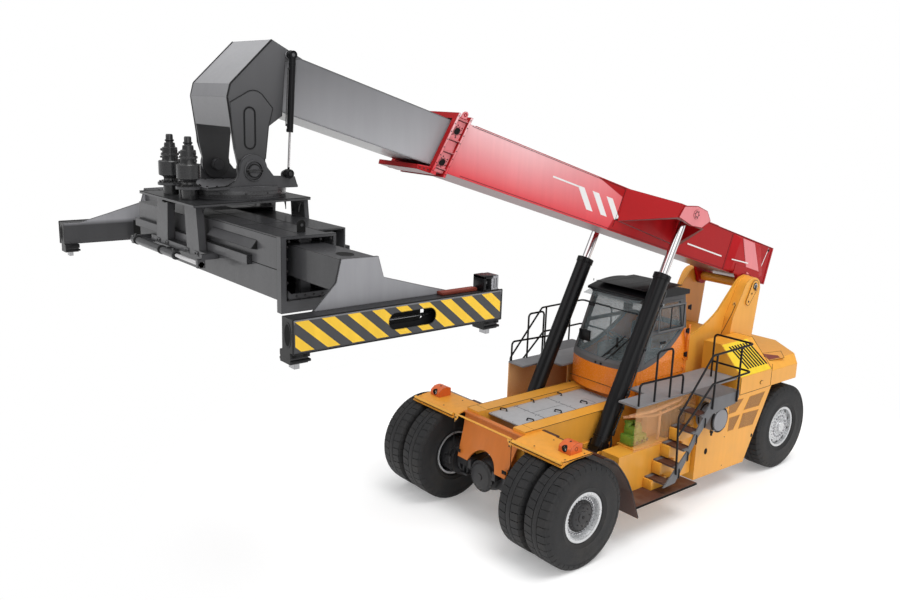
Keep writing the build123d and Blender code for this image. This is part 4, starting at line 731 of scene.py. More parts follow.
# ---------------------------------------------------------------- modelling
class Mould:
    """One piece being modelled, with its lengths along y counted back from the front axle."""

    def __init__(self, name: str, body: str, *finishes: Finish) -> None:
        """Start an empty piece.

        Args:
            name: The piece's name.
            body: The body it rides on.
            finishes: Its finishes, in the order its shapes number them.
        """
        self.name = name
        self.body = body
        self.finishes = finishes
        self.mesh = bmesh.new()

    def own(self, faces: Iterable[bmesh.types.BMFace], finish: int) -> list[bmesh.types.BMFace]:
        """Give faces a finish number and return them as a list."""
        owned = [face for face in faces if face.is_valid]
        for face in owned:
            face.material_index = finish
        return owned

    def seal(self, faces: list[bmesh.types.BMFace]) -> None:
        """Turn a closed shape's faces outward."""
        bmesh.ops.recalc_face_normals(self.mesh, faces=[face for face in faces if face.is_valid])

    def since(self, mark: set[bmesh.types.BMFace]) -> list[bmesh.types.BMFace]:
        """Return the faces made since a mark was taken."""
        return [face for face in self.mesh.faces if face not in mark]

    def soften(
        self, mark: set[bmesh.types.BMFace], radius: float, segments: int, angle: float = 30.0,
    ) -> None:
        """Round the sharp edges of the faces made since a mark was taken.

        Args:
            mark: The faces that were there before.
            radius: How far the rounding reaches from each edge.
            segments: Steps in the rounding.
            angle: Edges flatter than this stay as they are, in degrees.
        """
        if radius <= 0.0:
            return
        edges = {edge for face in self.since(mark) for edge in face.edges}
        sharp = [
            edge
            for edge in edges if edge.is_manifold and edge.calc_face_angle(0.0) > math.radians(angle)
        ]
        bmesh.ops.bevel(
            self.mesh, geom=sharp, offset=radius, segments=segments, profile=0.5,
            affect="EDGES", material=-1, clamp_overlap=True,
        )

    def block(
        self, low: Sequence[float], high: Sequence[float], radius: float = 0.004, finish: int = 0,
        at: Matrix | None = None, segments: int = 2,
    ) -> Mould:
        """Add a box with rounded edges.

        Args:
            low: Its lowest corner.
            high: Its highest corner.
            radius: Rounding of its edges.
            finish: Which of the piece's finishes it has.
            at: The frame its corners are given in.
            segments: Steps in the rounding.

        Returns:
            This piece.
        """
        mark = set(self.mesh.faces)
        size = Vector(high) - Vector(low)
        centre = (Vector(high) + Vector(low)) / 2
        place = (at or Matrix()) @ Matrix.Translation(centre) @ Matrix.Diagonal((*size, 1.0))
        bmesh.ops.create_cube(self.mesh, size=1.0, matrix=place)
        self.soften(mark, min(radius, 0.45 * min(abs(s) for s in size)), segments)
        self.seal(self.own(self.since(mark), finish))
        return self

    def slab(
        self, outline: Sequence[Pair], depth: float, radius: float = 0.003, finish: int = 0,
        at: Matrix | None = None, segments: int = 1,
    ) -> Mould:
        """Add a plate: an outline in a frame's x and y, extruded along its z.

        Args:
            outline: Corners in order round the plate.
            depth: How far it reaches along local z; negative reaches the other way.
            radius: Rounding of its edges.
            finish: Which of the piece's finishes it has.
            at: The frame the outline lies in.
            segments: Steps in the rounding.

        Returns:
            This piece.
        """
        mark = set(self.mesh.faces)
        place = at or Matrix()
        ring = [self.mesh.verts.new(place @ Vector((a, b, 0.0))) for a, b in outline]
        face = self.mesh.faces.new(ring)
        grown = bmesh.ops.extrude_face_region(self.mesh, geom=[face], use_keep_orig=True)
        moved = [item for item in grown["geom"] if isinstance(item, bmesh.types.BMVert)]
        way = (place.to_3x3() @ Vector((0.0, 0.0, depth)))
        bmesh.ops.translate(self.mesh, vec=way, verts=moved)
        self.seal(self.since(mark))
        self.soften(mark, radius, segments)
        self.own(self.since(mark), finish)
        return self

    def frame_slab(
        self, outline: Sequence[Pair], hole: Sequence[Pair], depth: float, finish: int = 0,
        at: Matrix | None = None,
    ) -> Mould:
        """Add a plate with one hole through it, both rings having as many corners.

        Args:
            outline: Corners round the outside.
            hole: Corners round the hole, each beside the outside corner of its number.
            depth: Thickness along local z.
            finish: Which of the piece's finishes it has.
            at: The frame the outline lies in.

        Returns:
            This piece.
        """
        mark = set(self.mesh.faces)
        place = at or Matrix()
        rings = []
        for points, height in ((outline, 0.0), (hole, 0.0), (hole, depth), (outline, depth)):
            verts = [self.mesh.verts.new(place @ Vector((a, b, height))) for a, b in points]
            rings.append([self.mesh.edges.new((verts[n - 1], verts[n])) for n in range(len(verts))])
        for first, second in ((0, 1), (1, 2), (2, 3), (3, 0)):
            bmesh.ops.bridge_loops(self.mesh, edges=rings[first] + rings[second])
        self.seal(self.own(self.since(mark), finish))
        return self

    def turned(
        self, profile: Sequence[Pair], at: Matrix | None = None, steps: int = 48, finish: int = 0,
    ) -> Mould:
        """Add a turned shape: a profile of radius and length spun a full turn about local z.

        Args:
            profile: Radius and length along local z of each corner; ends on the axis close the shape.
            at: The frame whose z is the axis.
            steps: Sides round the axis.
            finish: Which of the piece's finishes it has.

        Returns:
            This piece.
        """
        mark = set(self.mesh.faces)
        verts = [self.mesh.verts.new((radius, 0.0, length)) for radius, length in profile]
        edges = [self.mesh.edges.new(pair) for pair in zip(verts, verts[1:])]
        if profile[0][0] > 1e-6 and profile[-1][0] > 1e-6:
            edges.append(self.mesh.edges.new((verts[-1], verts[0])))
        known = set(self.mesh.verts) - set(verts)
        bmesh.ops.spin(
            self.mesh, geom=verts + edges, axis=(
                0, 0, 1,
            ), cent=(0, 0, 0), angle=math.tau, steps=steps, use_merge=True, use_duplicate=False
        )
        made = [vert for vert in self.mesh.verts if vert not in known]
        bmesh.ops.remove_doubles(self.mesh, verts=made, dist=1e-6)
        made = [vert for vert in self.mesh.verts if vert not in known]
        bmesh.ops.transform(self.mesh, matrix=at or Matrix(), verts=made)
        self.seal(self.own(self.since(mark), finish))
        return self

    def disc(self, radius: float, levels: Point, at: Matrix, steps: int = 48, finish: int = 0) -> Mould:
        """Add a disc from its low, rim and middle levels along local z."""
        low, rim, middle = levels
        return self.turned([(0.0, low), (radius, low), (radius, rim), (0.0, middle)], at, steps, finish)

    def hoop(self, radii: Pair, levels: Pair, at: Matrix, steps: int = 48, finish: int = 0) -> Mould:
        """Add a square-edged ring between two radii and two levels along local z."""
        (inner, outer), (low, high) = radii, levels
        return self.turned([(inner, low), (outer, low), (outer, high), (inner, high)], at, steps, finish)

    def line(
        self, route: Sequence[Pair], at: Matrix, level: float, radius: float, finish: int, steps: int = 6,
    ) -> Mould:
        """Add a thin bead along points in a frame's x and y, at one level of its z."""
        return self.chain([at @ Vector((a, b, level)) for a, b in route], radius, finish, steps, 0.0)

    def chain(
        self, places: Sequence[Sequence[float]], radius: float, finish: int, steps: int,
        edge: float = 0.003,
    ) -> Mould:
        """Add round bars end to end through points."""
        for start, end in zip(places, places[1:]):
            self.rod(start, end, radius, finish, steps, edge)
        return self

    def rod(
        self, start: Sequence[float], end: Sequence[float], radius: float, finish: int = 0, steps: int = 24,
        edge: float = 0.003,
    ) -> Mould:
        """Add a round bar between two points with chamfered ends."""
        length = (Vector(end) - Vector(start)).length
        lip = min(edge, radius * 0.4, length * 0.4)
        profile = (
            (0.0, 0.0), (radius - lip, 0.0), (radius, lip), (radius, length - lip), (radius - lip, length),
            (0.0, length),
        )
        return self.turned(profile, aim(start, end), steps, finish)

    def bolt(self, at: Matrix, radius: float = 0.018, height: float = 0.014, finish: int = 0) -> Mould:
        """Add a hexagon bolt head on its washer, standing on a frame's origin along local z."""
        lip = radius * 0.16
        washer = radius * 1.35
        self.turned(
            (
                (0.0, 0.0), (washer, 0.0), (washer, height * 0.18), (radius, height * 0.18),
                (radius, height - lip), (radius - lip, height), (0.0, height),
            ),
            at, 6, finish,
        )
        return self

    def bolt_ring(
        self, at: Matrix, ring: float, count: int, radius: float = 0.018, height: float = 0.02,
        finish: int = 0, start: float = 0.0,
    ) -> Mould:
        """Add bolt heads evenly round a circle.

        Args:
            at: The frame whose z is the ring's axis.
            ring: The circle's radius.
            count: How many heads.
            radius: Size of each head.
            height: Height of each head.
            finish: Which of the piece's finishes they have.
            start: Angle of the first one, in degrees.

        Returns:
            This piece.
        """
        for n in range(count):
            turn = Matrix.Rotation(math.radians(start) + math.tau * n / count, 4, "Z")
            self.bolt(at @ turn @ Matrix.Translation((ring, 0.0, 0.0)), radius, height, finish)
        return self

    def pipe(
        self, points: Sequence[Sequence[float]], radius: float, finish: int = 0, corner: float = 0.06,
        sides: int = 10,
    ) -> Mould:
        """Add a round tube along points with rounded corners.

        Args:
            points: The corners of its route.
            radius: The tube's radius.
            finish: Which of the piece's finishes it has.
            corner: How far from each corner its rounding starts.
            sides: Sides round the tube.

        Returns:
            This piece.
        """
        mark = set(self.mesh.faces)
        curve = bpy.data.curves.new("route", "CURVE")
        curve.dimensions = "3D"
        curve.bevel_depth = radius
        curve.bevel_resolution = max(1, sides // 4)
        curve.resolution_u = 6
        curve.use_fill_caps = True
        places = [Vector(point) for point in points]
        stations: list[tuple[Vector, Vector, Vector]] = []
        for n, here in enumerate(places):
            if n in (0, len(places) - 1):
                near = places[1] if n == 0 else places[-2]
                toward = (near - here) / 3
                stations.append(
                    (
                        here, here - toward, here + toward,
                    ) if n == 0 else (here, here + toward, here - toward),
                )
                continue
            back, on = places[n - 1] - here, places[n + 1] - here
            reach = min(corner, back.length * 0.45, on.length * 0.45)
            enter, leave = here + back.normalized() * reach, here + on.normalized() * reach
            stations.append(
                (enter, enter + back.normalized() * reach * 0.5, enter - back.normalized() * reach * 0.55),
            )
            stations.append(
                (leave, leave - on.normalized() * reach * 0.55, leave + on.normalized() * reach * 0.5),
            )
        spline = curve.splines.new("BEZIER")
        spline.bezier_points.add(len(stations) - 1)
        for knot, (here, before, after) in zip(spline.bezier_points, stations):
            knot.co, knot.handle_left, knot.handle_right = here, before, after
        holder = bpy.data.objects.new("route", curve)
        shaped = bpy.data.meshes.new_from_object(holder)
        self.mesh.from_mesh(shaped)
        bpy.data.objects.remove(holder)
        bpy.data.curves.remove(curve)
        bpy.data.meshes.remove(shaped)
        fresh = self.since(mark)
        verts = list({vert for face in fresh for vert in face.verts})
        bmesh.ops.remove_doubles(self.mesh, verts=verts, dist=1e-5)
        self.seal(self.own(self.since(mark), finish))
        return self

    def finish_piece(
        self, smooth: float = 32.0, replaces: Sequence[str] = (),
    ) -> bpy.types.Object:
        """Close the mesh, dress it and hand it over.

        Args:
            smooth: Edges sharper than this stay crisp, in degrees.
            replaces: CAD nodes this piece stands for.

        Returns:
            The finished object.
        """
        made = bpy.data.meshes.new(self.name)
        bmesh.ops.translate(self.mesh, vec=(0.0, FRONT_AXLE_Y, 0.0), verts=self.mesh.verts)
        self.mesh.normal_update()
        self.mesh.to_mesh(made)
        self.mesh.free()
        for finish in self.finishes:
            made.materials.append(finish.material())
        made.shade_smooth()
        made.set_sharp_from_angle(angle=math.radians(smooth))
        piece = bpy.data.objects.new(self.name, made)
        bpy.context.scene.collection.objects.link(piece)
        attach(piece, self.body)
        if replaces:
            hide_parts(*replaces)
        log.info("%s: %d faces on %s", self.name, len(made.polygons), self.body)
        return piece


def circle(centre: Pair, radius: float, steps: int = 32, start: float = 0.0) -> list[Pair]:
    """Return the corners of a circle."""
    return [
        (
            centre[0] + radius * math.cos(math.radians(start) + math.tau * n / steps),
            centre[1] + radius * math.sin(math.radians(start) + math.tau * n / steps),
        )
        for n in range(steps)
    ]


def mirrored(side: int) -> Matrix:
    """Return the transform that puts a left-hand shape on the given side."""
    return Matrix.Diagonal((float(side), 1.0, 1.0, 1.0))


# ---------------------------------------------------------------- wheels
@dataclass(frozen=True)
class TyreSize:
    """Section and tread of one tyre, in metres."""

    radius: float = 0.830
    half: float = 0.250
    tread_half: float = 0.205
    bead: float = 0.385
    lugs: int = 40
    groove: float = 0.017

    def section(self) -> list[Pair]:
        """Return radius and width of the casing from bead to bead."""
        half = self.half
        return [
            (self.bead, -half + 0.055),
            (self.bead + 0.012, -half + 0.040),
            (self.bead + 0.020, -half + 0.046),
            (self.bead + 0.030, -half + 0.024),
            (0.46, -half + 0.010),
            (0.475, -half + 0.002),
            (0.485, -half + 0.006),
            (0.60, -half + 0.001),
            (0.67, -half + 0.004),
            (0.70, -half + 0.008),
        ]


class Wheels:
    """Tyres with shoulder lugs, bolted rims and hubs at both axles."""

    SIZE = TyreSize()

    def build(self) -> None:
        """Build every wheel."""
        for sign, hand in SIDES:
            for n, centre in enumerate((INNER_WHEEL, OUTER_WHEEL)):
                self.tyre(
                    f"front_tyre_{hand}_{n}", f"front_wheels_{hand}", sign * centre, 0.0,
                    [f"front_tyres_{hand}"],
                )
            self.tyre(
                f"rear_tyre_piece_{hand}", f"rear_wheel_{hand}", sign * REAR_WHEEL, REAR_AXLE,
                [f"rear_tyre_{hand}"],
            )
            self.front_rim(sign, hand)
            self.rear_rim(sign, hand)

    def tyre(self, name: str, body: str, centre: float, back: float, replaces: list[str]) -> None:
        """Build one tyre with tread blocks.

        Args:
            name: Name of the piece.
            body: The body it turns with.
            centre: The x of its middle.
            back: Length back from the front axle to its axle.
            replaces: The CAD nodes it stands for.
        """
        size = self.SIZE
        mould = Mould(name, body, RUBBER, SOFT_BLACK)
        at = Matrix.Translation((centre, back, AXLE_Z)) @ Matrix.Rotation(math.pi / 2, 4, "Y")
        base = size.radius - size.groove
        wall = size.section()
        shoulder = [
            (0.745, -size.half + 0.016), (base - 0.012, -size.half + 0.030),
            (base, -size.tread_half + 0.02),
        ]
        half = wall + shoulder
        profile = half + [(radius, -width) for radius, width in reversed(half)]
        mould.turned(profile, at, 96)
        for side in (-1, 1):
            self.lugs(mould, at, side)
        self.centre_rib(mould, at)
        mould.finish_piece(38.0, replaces)

    def lugs(self, mould: Mould, at: Matrix, side: int) -> None:
        """Add the tread blocks of one shoulder.

        Args:
            mould: The tyre being built.
            at: The wheel's frame, z along the axle.
            side: Which shoulder, +1 or -1.
        """
        size = self.SIZE
        pitch = math.tau / size.lugs
        top = size.radius - 0.001
        base = size.radius - size.groove - 0.006
        edge = size.half - 0.013
        for n in range(size.lugs):
            turn = at @ Matrix.Rotation(pitch * (n + (0.5 if side > 0 else 0.0)), 4, "Z")
            gap = 0.0065 / size.radius
            low, high = gap, pitch - gap
            outer = (
                (top, 0.055), (top, 0.160), (top - 0.004, size.tread_half), (0.772, edge),
                (0.735, edge + 0.003),
            )
            inner = (
                (base, 0.055), (base, 0.160), (base, size.tread_half - 0.01), (0.752, edge - 0.03),
                (0.735, edge - 0.02),
            )
            skew = (0.020, 0.004, 0.0, 0.0, 0.0)
            rings = []
            for angle in (low, high):
                ring = []
                for (radius, width), lean in list(zip(outer, skew)) + list(zip(inner, skew))[::-1]:
                    a = angle + lean
                    ring.append(
                        mould.mesh.verts.new(
                            turn @ Vector((radius * math.cos(a), radius * math.sin(a), side * width)),
                        ),
                    )
                rings.append(ring)
            mark = set(mould.mesh.faces)
            first = mould.mesh.faces.new(rings[0])
            second = mould.mesh.faces.new(rings[1])
            bmesh.ops.bridge_loops(mould.mesh, edges=list(first.edges) + list(second.edges))
            mould.seal(mould.own(mould.since(mark), 0))

    def centre_rib(self, mould: Mould, at: Matrix) -> None:
        """Add the tread's middle rib with its hooked sipes.

        Args:
            mould: The tyre being built.
            at: The wheel's frame.
        """
        size = self.SIZE
        top = size.radius - 0.001
        base = size.radius - size.groove - 0.004
        mould.turned(
            [
                (base, -0.044), (top - 0.002, -0.044), (top, -0.040), (top, 0.040), (top - 0.002, 0.044),
                (base, 0.044),
            ],
            at, 96,
        )
        for n in range(size.lugs):
            for side in (-1, 1):
                turn = at @ Matrix.Rotation(math.tau * (n + 0.3 * side) / size.lugs, 4, "Z")
                mould.block(
                    (top - 0.006, -0.004, side * 0.012), (top + 0.0007, 0.004, side * 0.046), 0.0, 1, turn,
                )

    def front_rim(self, sign: int, hand: str) -> None:
        """Build the lock ring, wheel nuts and planetary hub of one front pair.

        Args:
            sign: +1 on the left, -1 on the right.
            hand: The side's name.
        """
        mould = Mould(
            f"front_rim_trim_{hand}", f"front_wheels_{hand}", SILVER, BOLT, DARK_STEEL, SOFT_BLACK,
        )
        at = Matrix.Translation(
            (sign * OUTER_WHEEL, 0.0, AXLE_Z),
        ) @ Matrix.Rotation(sign * math.pi / 2, 4, "Y")
        mould.turned(
            [
                (0.352, 0.175), (0.386, 0.175), (0.400, 0.198), (0.398, 0.212), (0.372, 0.214),
                (0.352, 0.206),
            ],
            at, 96, 0,
        )
        mould.turned(
            [(0.318, 0.120), (0.350, 0.120), (0.350, 0.202), (0.338, 0.204), (0.318, 0.150)], at, 96, 0,
        )
        mould.hoop((0.236, 0.318), (0.119, 0.128), at, 96, 0)
        mould.bolt_ring(at @ Matrix.Translation((0, 0, 0.127)), 0.283, 32, 0.0155, 0.034, 1)
        mould.bolt_ring(at @ Matrix.Translation((0, 0, 0.120)), 0.332, 24, 0.010, 0.050, 1, 4.0)
        mould.turned(
            [
                (0.0, 0.120), (0.248, 0.120), (0.248, 0.150), (0.240, 0.160), (0.214, 0.162),
                (0.206, 0.176), (0.192, 0.186), (0.096, 0.192), (0.090, 0.204), (0.0, 0.206),
            ],
            at,
            72,
            2,
        )
        mould.bolt_ring(at @ Matrix.Translation((0, 0, 0.160)), 0.226, 24, 0.0085, 0.012, 2)
        mould.bolt_ring(at @ Matrix.Translation((0, 0, 0.190)), 0.145, 8, 0.009, 0.008, 3)
        mould.disc(0.026, (0.206, 0.212, 0.214), at, 24, 3)
        mould.finish_piece()

    def rear_rim(self, sign: int, hand: str) -> None:
        """Build the bolted disc and hub cap of one steered wheel.

        Args:
            sign: +1 on the left, -1 on the right.
            hand: The side's name.
        """
        mould = Mould(f"rear_rim_trim_{hand}", f"rear_wheel_{hand}", SILVER, BOLT, SOFT_BLACK)
        low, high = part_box(f"rear_wheel_{hand}")
        face = (high.x if sign > 0 else -low.x) - REAR_WHEEL
        at = Matrix.Translation(
            (sign * REAR_WHEEL, REAR_AXLE, AXLE_Z),
        ) @ Matrix.Rotation(sign * math.pi / 2, 4, "Y")
        mould.turned(
            [
                (0.352, 0.175), (0.386, 0.175), (0.400, 0.198), (0.398, 0.212), (0.372, 0.214),
                (0.352, 0.206),
            ],
            at, 96, 0,
        )
        disc = min(face, 0.19) - 0.03
        mould.turned(
            [
                (0.120, disc - 0.012), (0.350, disc - 0.05), (0.350, disc - 0.02), (0.300, disc + 0.010),
                (0.235, disc + 0.022), (0.120, disc + 0.022),
            ],
            at, 96, 0,
        )
        for n in range(10):
            turn = at @ Matrix.Rotation(math.tau * n / 10, 4, "Z")
            mould.disc(
                0.024, (disc - 0.01, disc + 0.006, disc + 0.007),
                turn @ Matrix.Translation((0.312, 0, 0.004)), 20, 2,
            )
        mould.bolt_ring(at @ Matrix.Translation((0, 0, disc + 0.021)), 0.205, 20, 0.0165, 0.030, 1)
        mould.bolt_ring(at @ Matrix.Translation((0, 0, disc + 0.008)), 0.265, 20, 0.010, 0.020, 1, 9.0)
        mould.turned(
            [
                (0.0, disc + 0.02), (0.150, disc + 0.02), (0.150, disc + 0.034), (0.136, disc + 0.045),
                (0.104, disc + 0.048), (0.096, disc + 0.070), (0.0, disc + 0.078),
            ],
            at, 60, 0,
        )
        mould.bolt_ring(at @ Matrix.Translation((0, 0, disc + 0.045)), 0.120, 12, 0.009, 0.010, 1)
        mould.finish_piece()


# ---------------------------------------------------------------- boom
@dataclass
class OuterBoom:
    """White lines, collar hardware, wing and rear plates of the red boom section."""

    half: float = 0.420
    low: float = 0.125
    high: float = 0.882
    rear: float = -0.867
    front: float = 8.083
    collar: float = 7.815
    slant: float = 0.25
    line_height: float = 0.608
    line_width: float = 0.026

    def build(self) -> None:
        """Build every piece of trim."""
        for sign, hand in SIDES:
            self.markings(sign, hand)
            self.collar_hardware(sign, hand)
            self.rear_housing(sign, hand)
            self.bracket(sign, hand)
        self.lip()
        self.top_plates()

    def face(self, sign: int, proud: float = 0.0) -> Matrix:
        """Return the frame of one side face: x forward along the boom, y up, z outward."""
        frame = boom_frame(sign * (self.half + proud))
        return frame @ Matrix.Diagonal((1.0, 1.0, -float(sign), 1.0))

    def markings(self, sign: int, hand: str) -> None:
        """Lay the white line and the slanted bars on one side.

        Args:
            sign: +1 on the left, -1 on the right.
            hand: The side's name.
        """
        mould = Mould(f"boom_markings_{hand}", "outer_boom", WHITE_LINE)
        at = self.face(sign, 0.0006)
        level, wide = self.line_height, self.line_width
        for start, end, height in ((5.21, 5.82, level), (2.50, 3.89, 0.388), (0.86, 2.02, 0.356)):
            mould.slab(
                ((start, height), (end, height), (end, height + wide), (start, height + wide)), 0.0012, 0.0,
                0, at,
            )
        for start in (5.10, 4.73, 4.37):
            outline = (
                (start - 0.36, 0.322), (start - 0.20, 0.322), (start + 0.135, 0.636), (start - 0.03, 0.636),
            )
            mould.slab(outline, 0.0012, 0.0, 0, at)
        mould.slab(((3.87, 0.388), (4.02, 0.322), (4.17, 0.322), (3.99, 0.412)), 0.0012, 0.0, 0, at)
        mould.finish_piece()

    def collar_face(self, sign: int, proud: float) -> Matrix:
        """Return the frame of the slanting collar's side face: x forward, y up, z outward."""
        middle = (self.low + self.high) / 2
        lean = Matrix(
            ((1.0, -self.slant, 0.0, self.slant * middle), (0, 1, 0, 0), (0, 0, 1, 0), (0, 0, 0, 1)),
        )
        return self.face(sign, proud) @ lean

    def collar_hardware(self, sign: int, hand: str) -> None:
        """Dress one side of the front collar: ribs, bolts and adjuster holes.

        Args:
            sign: +1 on the left, -1 on the right.
            hand: The side's name.
        """
        mould = Mould(f"boom_collar_trim_{hand}", "outer_boom", BOOM_RED, SHADOW, DARK_BOLT, PALE_RED)
        at = self.collar_face(sign, 0.0295)
        start, end = self.collar + 0.041, self.front - 0.041
        mould.slab(((start, 0.100), (end, 0.100), (end, 0.908), (start, 0.908)), 0.0015, 0.0, 3, at)
        for height in (0.150, 0.395, 0.575, 0.868):
            mould.slab(
                ((start, height), (end, height), (end, height + 0.016), (start, height + 0.016)), 0.042,
                0.003, 3, at,
            )
            # A near-black strip just under each rib is its painted shadow.
            mould.slab(
                ((start, height - 0.008), (end, height - 0.008), (end, height), (start, height)), 0.003,
                0.0, 1, at,
            )
        for height in (0.244, 0.714):
            centre = at @ Matrix.Translation(((start + end) / 2, height, 0.0015))
            mould.disc(0.052, (0.0, 0.002, 0.002), centre, 40, 1)
            mould.hoop((0.052, 0.060), (0.0, 0.006), centre, 40, 3)
            for n in range(7):
                spot = centre @ Matrix.Rotation(math.tau * n / 7, 4, "Z")
                mould.slab(
                    ((0.046, -0.010), (0.076, -0.005), (0.076, 0.005), (0.046, 0.010)), 0.0022, 0.0, 1,
                    spot,
                )
            mould.bolt_ring(centre, 0.088, 6, 0.007, 0.008, 2, 15)
        for s in (self.collar + 0.02, self.front - 0.02):
            edge = self.collar_face(sign, 0.0745)
            for n in range(8):
                height = self.low - 0.03 + n * (self.high - self.low + 0.06) / 7
                mould.bolt(edge @ Matrix.Translation((s, height, 0.0)), 0.007, 0.007, 2)
        ear = self.collar_face(sign, 0.020) @ Matrix.Translation((self.front - 0.14, 0.952, 0.0))
        outline = [(-0.055, -0.045)] + [
            (0.050 * math.cos(math.radians(a)), 0.012 + 0.050 * math.sin(math.radians(a)))
            for a in range(180, -1, -20)
        ] + [(0.055, -0.045)]
        mould.slab(outline, 0.024, 0.003, 3, ear)
        mould.hoop((0.016, 0.026), (-0.001, 0.027), ear @ Matrix.Translation((0, 0.012, 0)), 24, 0)
        mould.finish_piece()

    def rear_housing(self, sign: int, hand: str) -> None:
        """Build the flared pivot reinforcement, its lighter band and the plates at the rear.

        Args:
            sign: +1 on the left, -1 on the right.
            hand: The side's name.
        """
        mould = Mould(f"boom_rear_trim_{hand}", "outer_boom", BOOM_RED, SHADOW, PALE_RED)
        at = self.face(sign, 0.0)
        lower = ((0.70, 0.150), (0.64, 0.858), (-0.30, 0.858), (-0.62, 0.240), (-0.30, 0.150))
        mark = set(mould.mesh.faces)
        mould.slab(lower, 0.070, 0.0, 0, at)
        back = at.inverted()
        for vert in {v for f in mould.since(mark) for v in f.verts}:
            place = back @ vert.co
            if place.z > 0.05:
                place.x = place.x - 0.16 if place.x > 0.3 else place.x + 0.03
                place.y = place.y - 0.05 if place.y > 0.5 else place.y + 0.03
                vert.co = at @ place
        mould.soften(mark, 0.006, 2)
        mould.own(mould.since(mark), 0)
        band = ((0.42, 0.846), (-0.02, 0.846), (-0.47, 0.292), (-0.02, 0.215))
        mould.slab(band, 0.012, 0.003, 2, at @ Matrix.Translation((0, -0.02, 0.066)))
        mould.slab(((-0.845, 0.14), (-0.845, 0.868), (-0.80, 0.868), (-0.80, 0.14)), 0.012, 0.003, 0, at)
        mould.disc(0.030, (0.0, 0.004, 0.004), at @ Matrix.Translation((-0.70, 0.80, 0.0)), 24, 1)
        mould.slab(((0.722, 0.150), (0.672, 0.850), (0.680, 0.850), (0.730, 0.150)), 0.003, 0.0, 1, at)
        mould.slab(((4.16, 0.20), (4.075, 0.845), (4.083, 0.845), (4.168, 0.20)), 0.003, 0.0, 1, at)
        for h in (0.150, 0.862):
            mould.slab(((-0.82, h), (7.62, h), (7.62, h + 0.006), (-0.82, h + 0.006)), 0.003, 0.0, 1, at)
        mould.finish_piece()
        line = Mould(f"boom_rear_line_{hand}", "outer_boom", WHITE_LINE)
        line.slab(
            ((-0.560, 0.37), (-0.680, 0.84), (-0.700, 0.84), (-0.580, 0.37)), 0.0012, 0.0, 0,
            self.face(sign, 0.0006),
        )
        line.slab(
            ((0.03, 0.395), (0.62, 0.360), (0.62, 0.382), (0.03, 0.417)), 0.0012, 0.0, 0,
            self.face(sign, 0.0792),
        )
        line.finish_piece()

    def bracket(self, sign: int, hand: str) -> None:
        """Build the pin retainer and edge plates on one lift-cylinder bracket.

        Args:
            sign: +1 on the left, -1 on the right.
            hand: The side's name.
        """
        mould = Mould(f"boom_bracket_trim_{hand}", "outer_boom", PALE_RED, DARK_BOLT, SHADOW)
        frame = boom_frame(sign * 1.085) @ Matrix.Diagonal((1.0, 1.0, -float(sign), 1.0))
        eye = frame @ Matrix.Translation((2.936, 0.781, 0.0))
        plate = (
            (2.931, 0.915), (2.65, 0.898), (2.495, 0.765), (2.69, 0.607), (2.975, 0.576), (3.375, 0.634),
            (3.293, 0.832),
        )
        mould.slab(plate, 0.004, 0.0, 0, frame @ Matrix.Translation((0.0, 0.0, -0.001)))
        mould.turned(
            [(0.0, -0.002), (0.078, -0.002), (0.078, 0.012), (0.070, 0.018), (0.0, 0.018)], eye, 36, 0,
        )
        mould.hoop((0.040, 0.048), (0.017, 0.021), eye, 36, 2)
        mould.bolt_ring(eye @ Matrix.Translation((0, 0, 0.017)), 0.062, 6, 0.008, 0.006, 1)
        mould.finish_piece()

    def lip(self) -> None:
        """Build the bolts and edge strips of the lower lip ahead of the collar."""
        mould = Mould("boom_lip_trim", "outer_boom", BOOM_RED, DARK_BOLT)
        for sign, _ in SIDES:
            at = self.face(sign, 0.030)
            mould.slab(((8.18, 0.055), (8.395, 0.055), (8.395, 0.105), (8.18, 0.125)), 0.006, 0.002, 0, at)
            for s in (8.22, 8.29, 8.36):
                mould.bolt(at @ Matrix.Translation((s, 0.085, 0.006)), 0.009, 0.007, 1)
        mould.finish_piece()

    def top_plates(self) -> None:
        """Lay the stiffening strips and hose guides along the boom's top."""
        mould = Mould("boom_top_trim", "outer_boom", BOOM_RED, BLACK)
        for x in (-0.405, 0.405):
            at = boom_frame(x)
            mould.slab(
                (
                    (1.2, self.high - 0.001), (7.55, self.high - 0.001), (7.55, self.high + 0.010),
                    (1.2, self.high + 0.010),
                ),
                0.020, 0.002, 0, at @ Matrix.Translation((0, 0, -0.010)),
            )
        for s in (1.6, 4.4, 6.2):
            low, high = boom_point(s, self.high + 0.012, -0.10), boom_point(s, self.high + 0.012, 0.10)
            mould.rod(low, high, 0.014, 0, 16)
        for x in (-0.12, 0.0, 0.12):
            mould.pipe(
                [boom_point(s, h, x) for s, h in ((-0.60, 0.896), (2.0, 0.905), (7.4, 0.905))], 0.011, 1,
                0.05, 8,
            )
        mould.finish_piece()


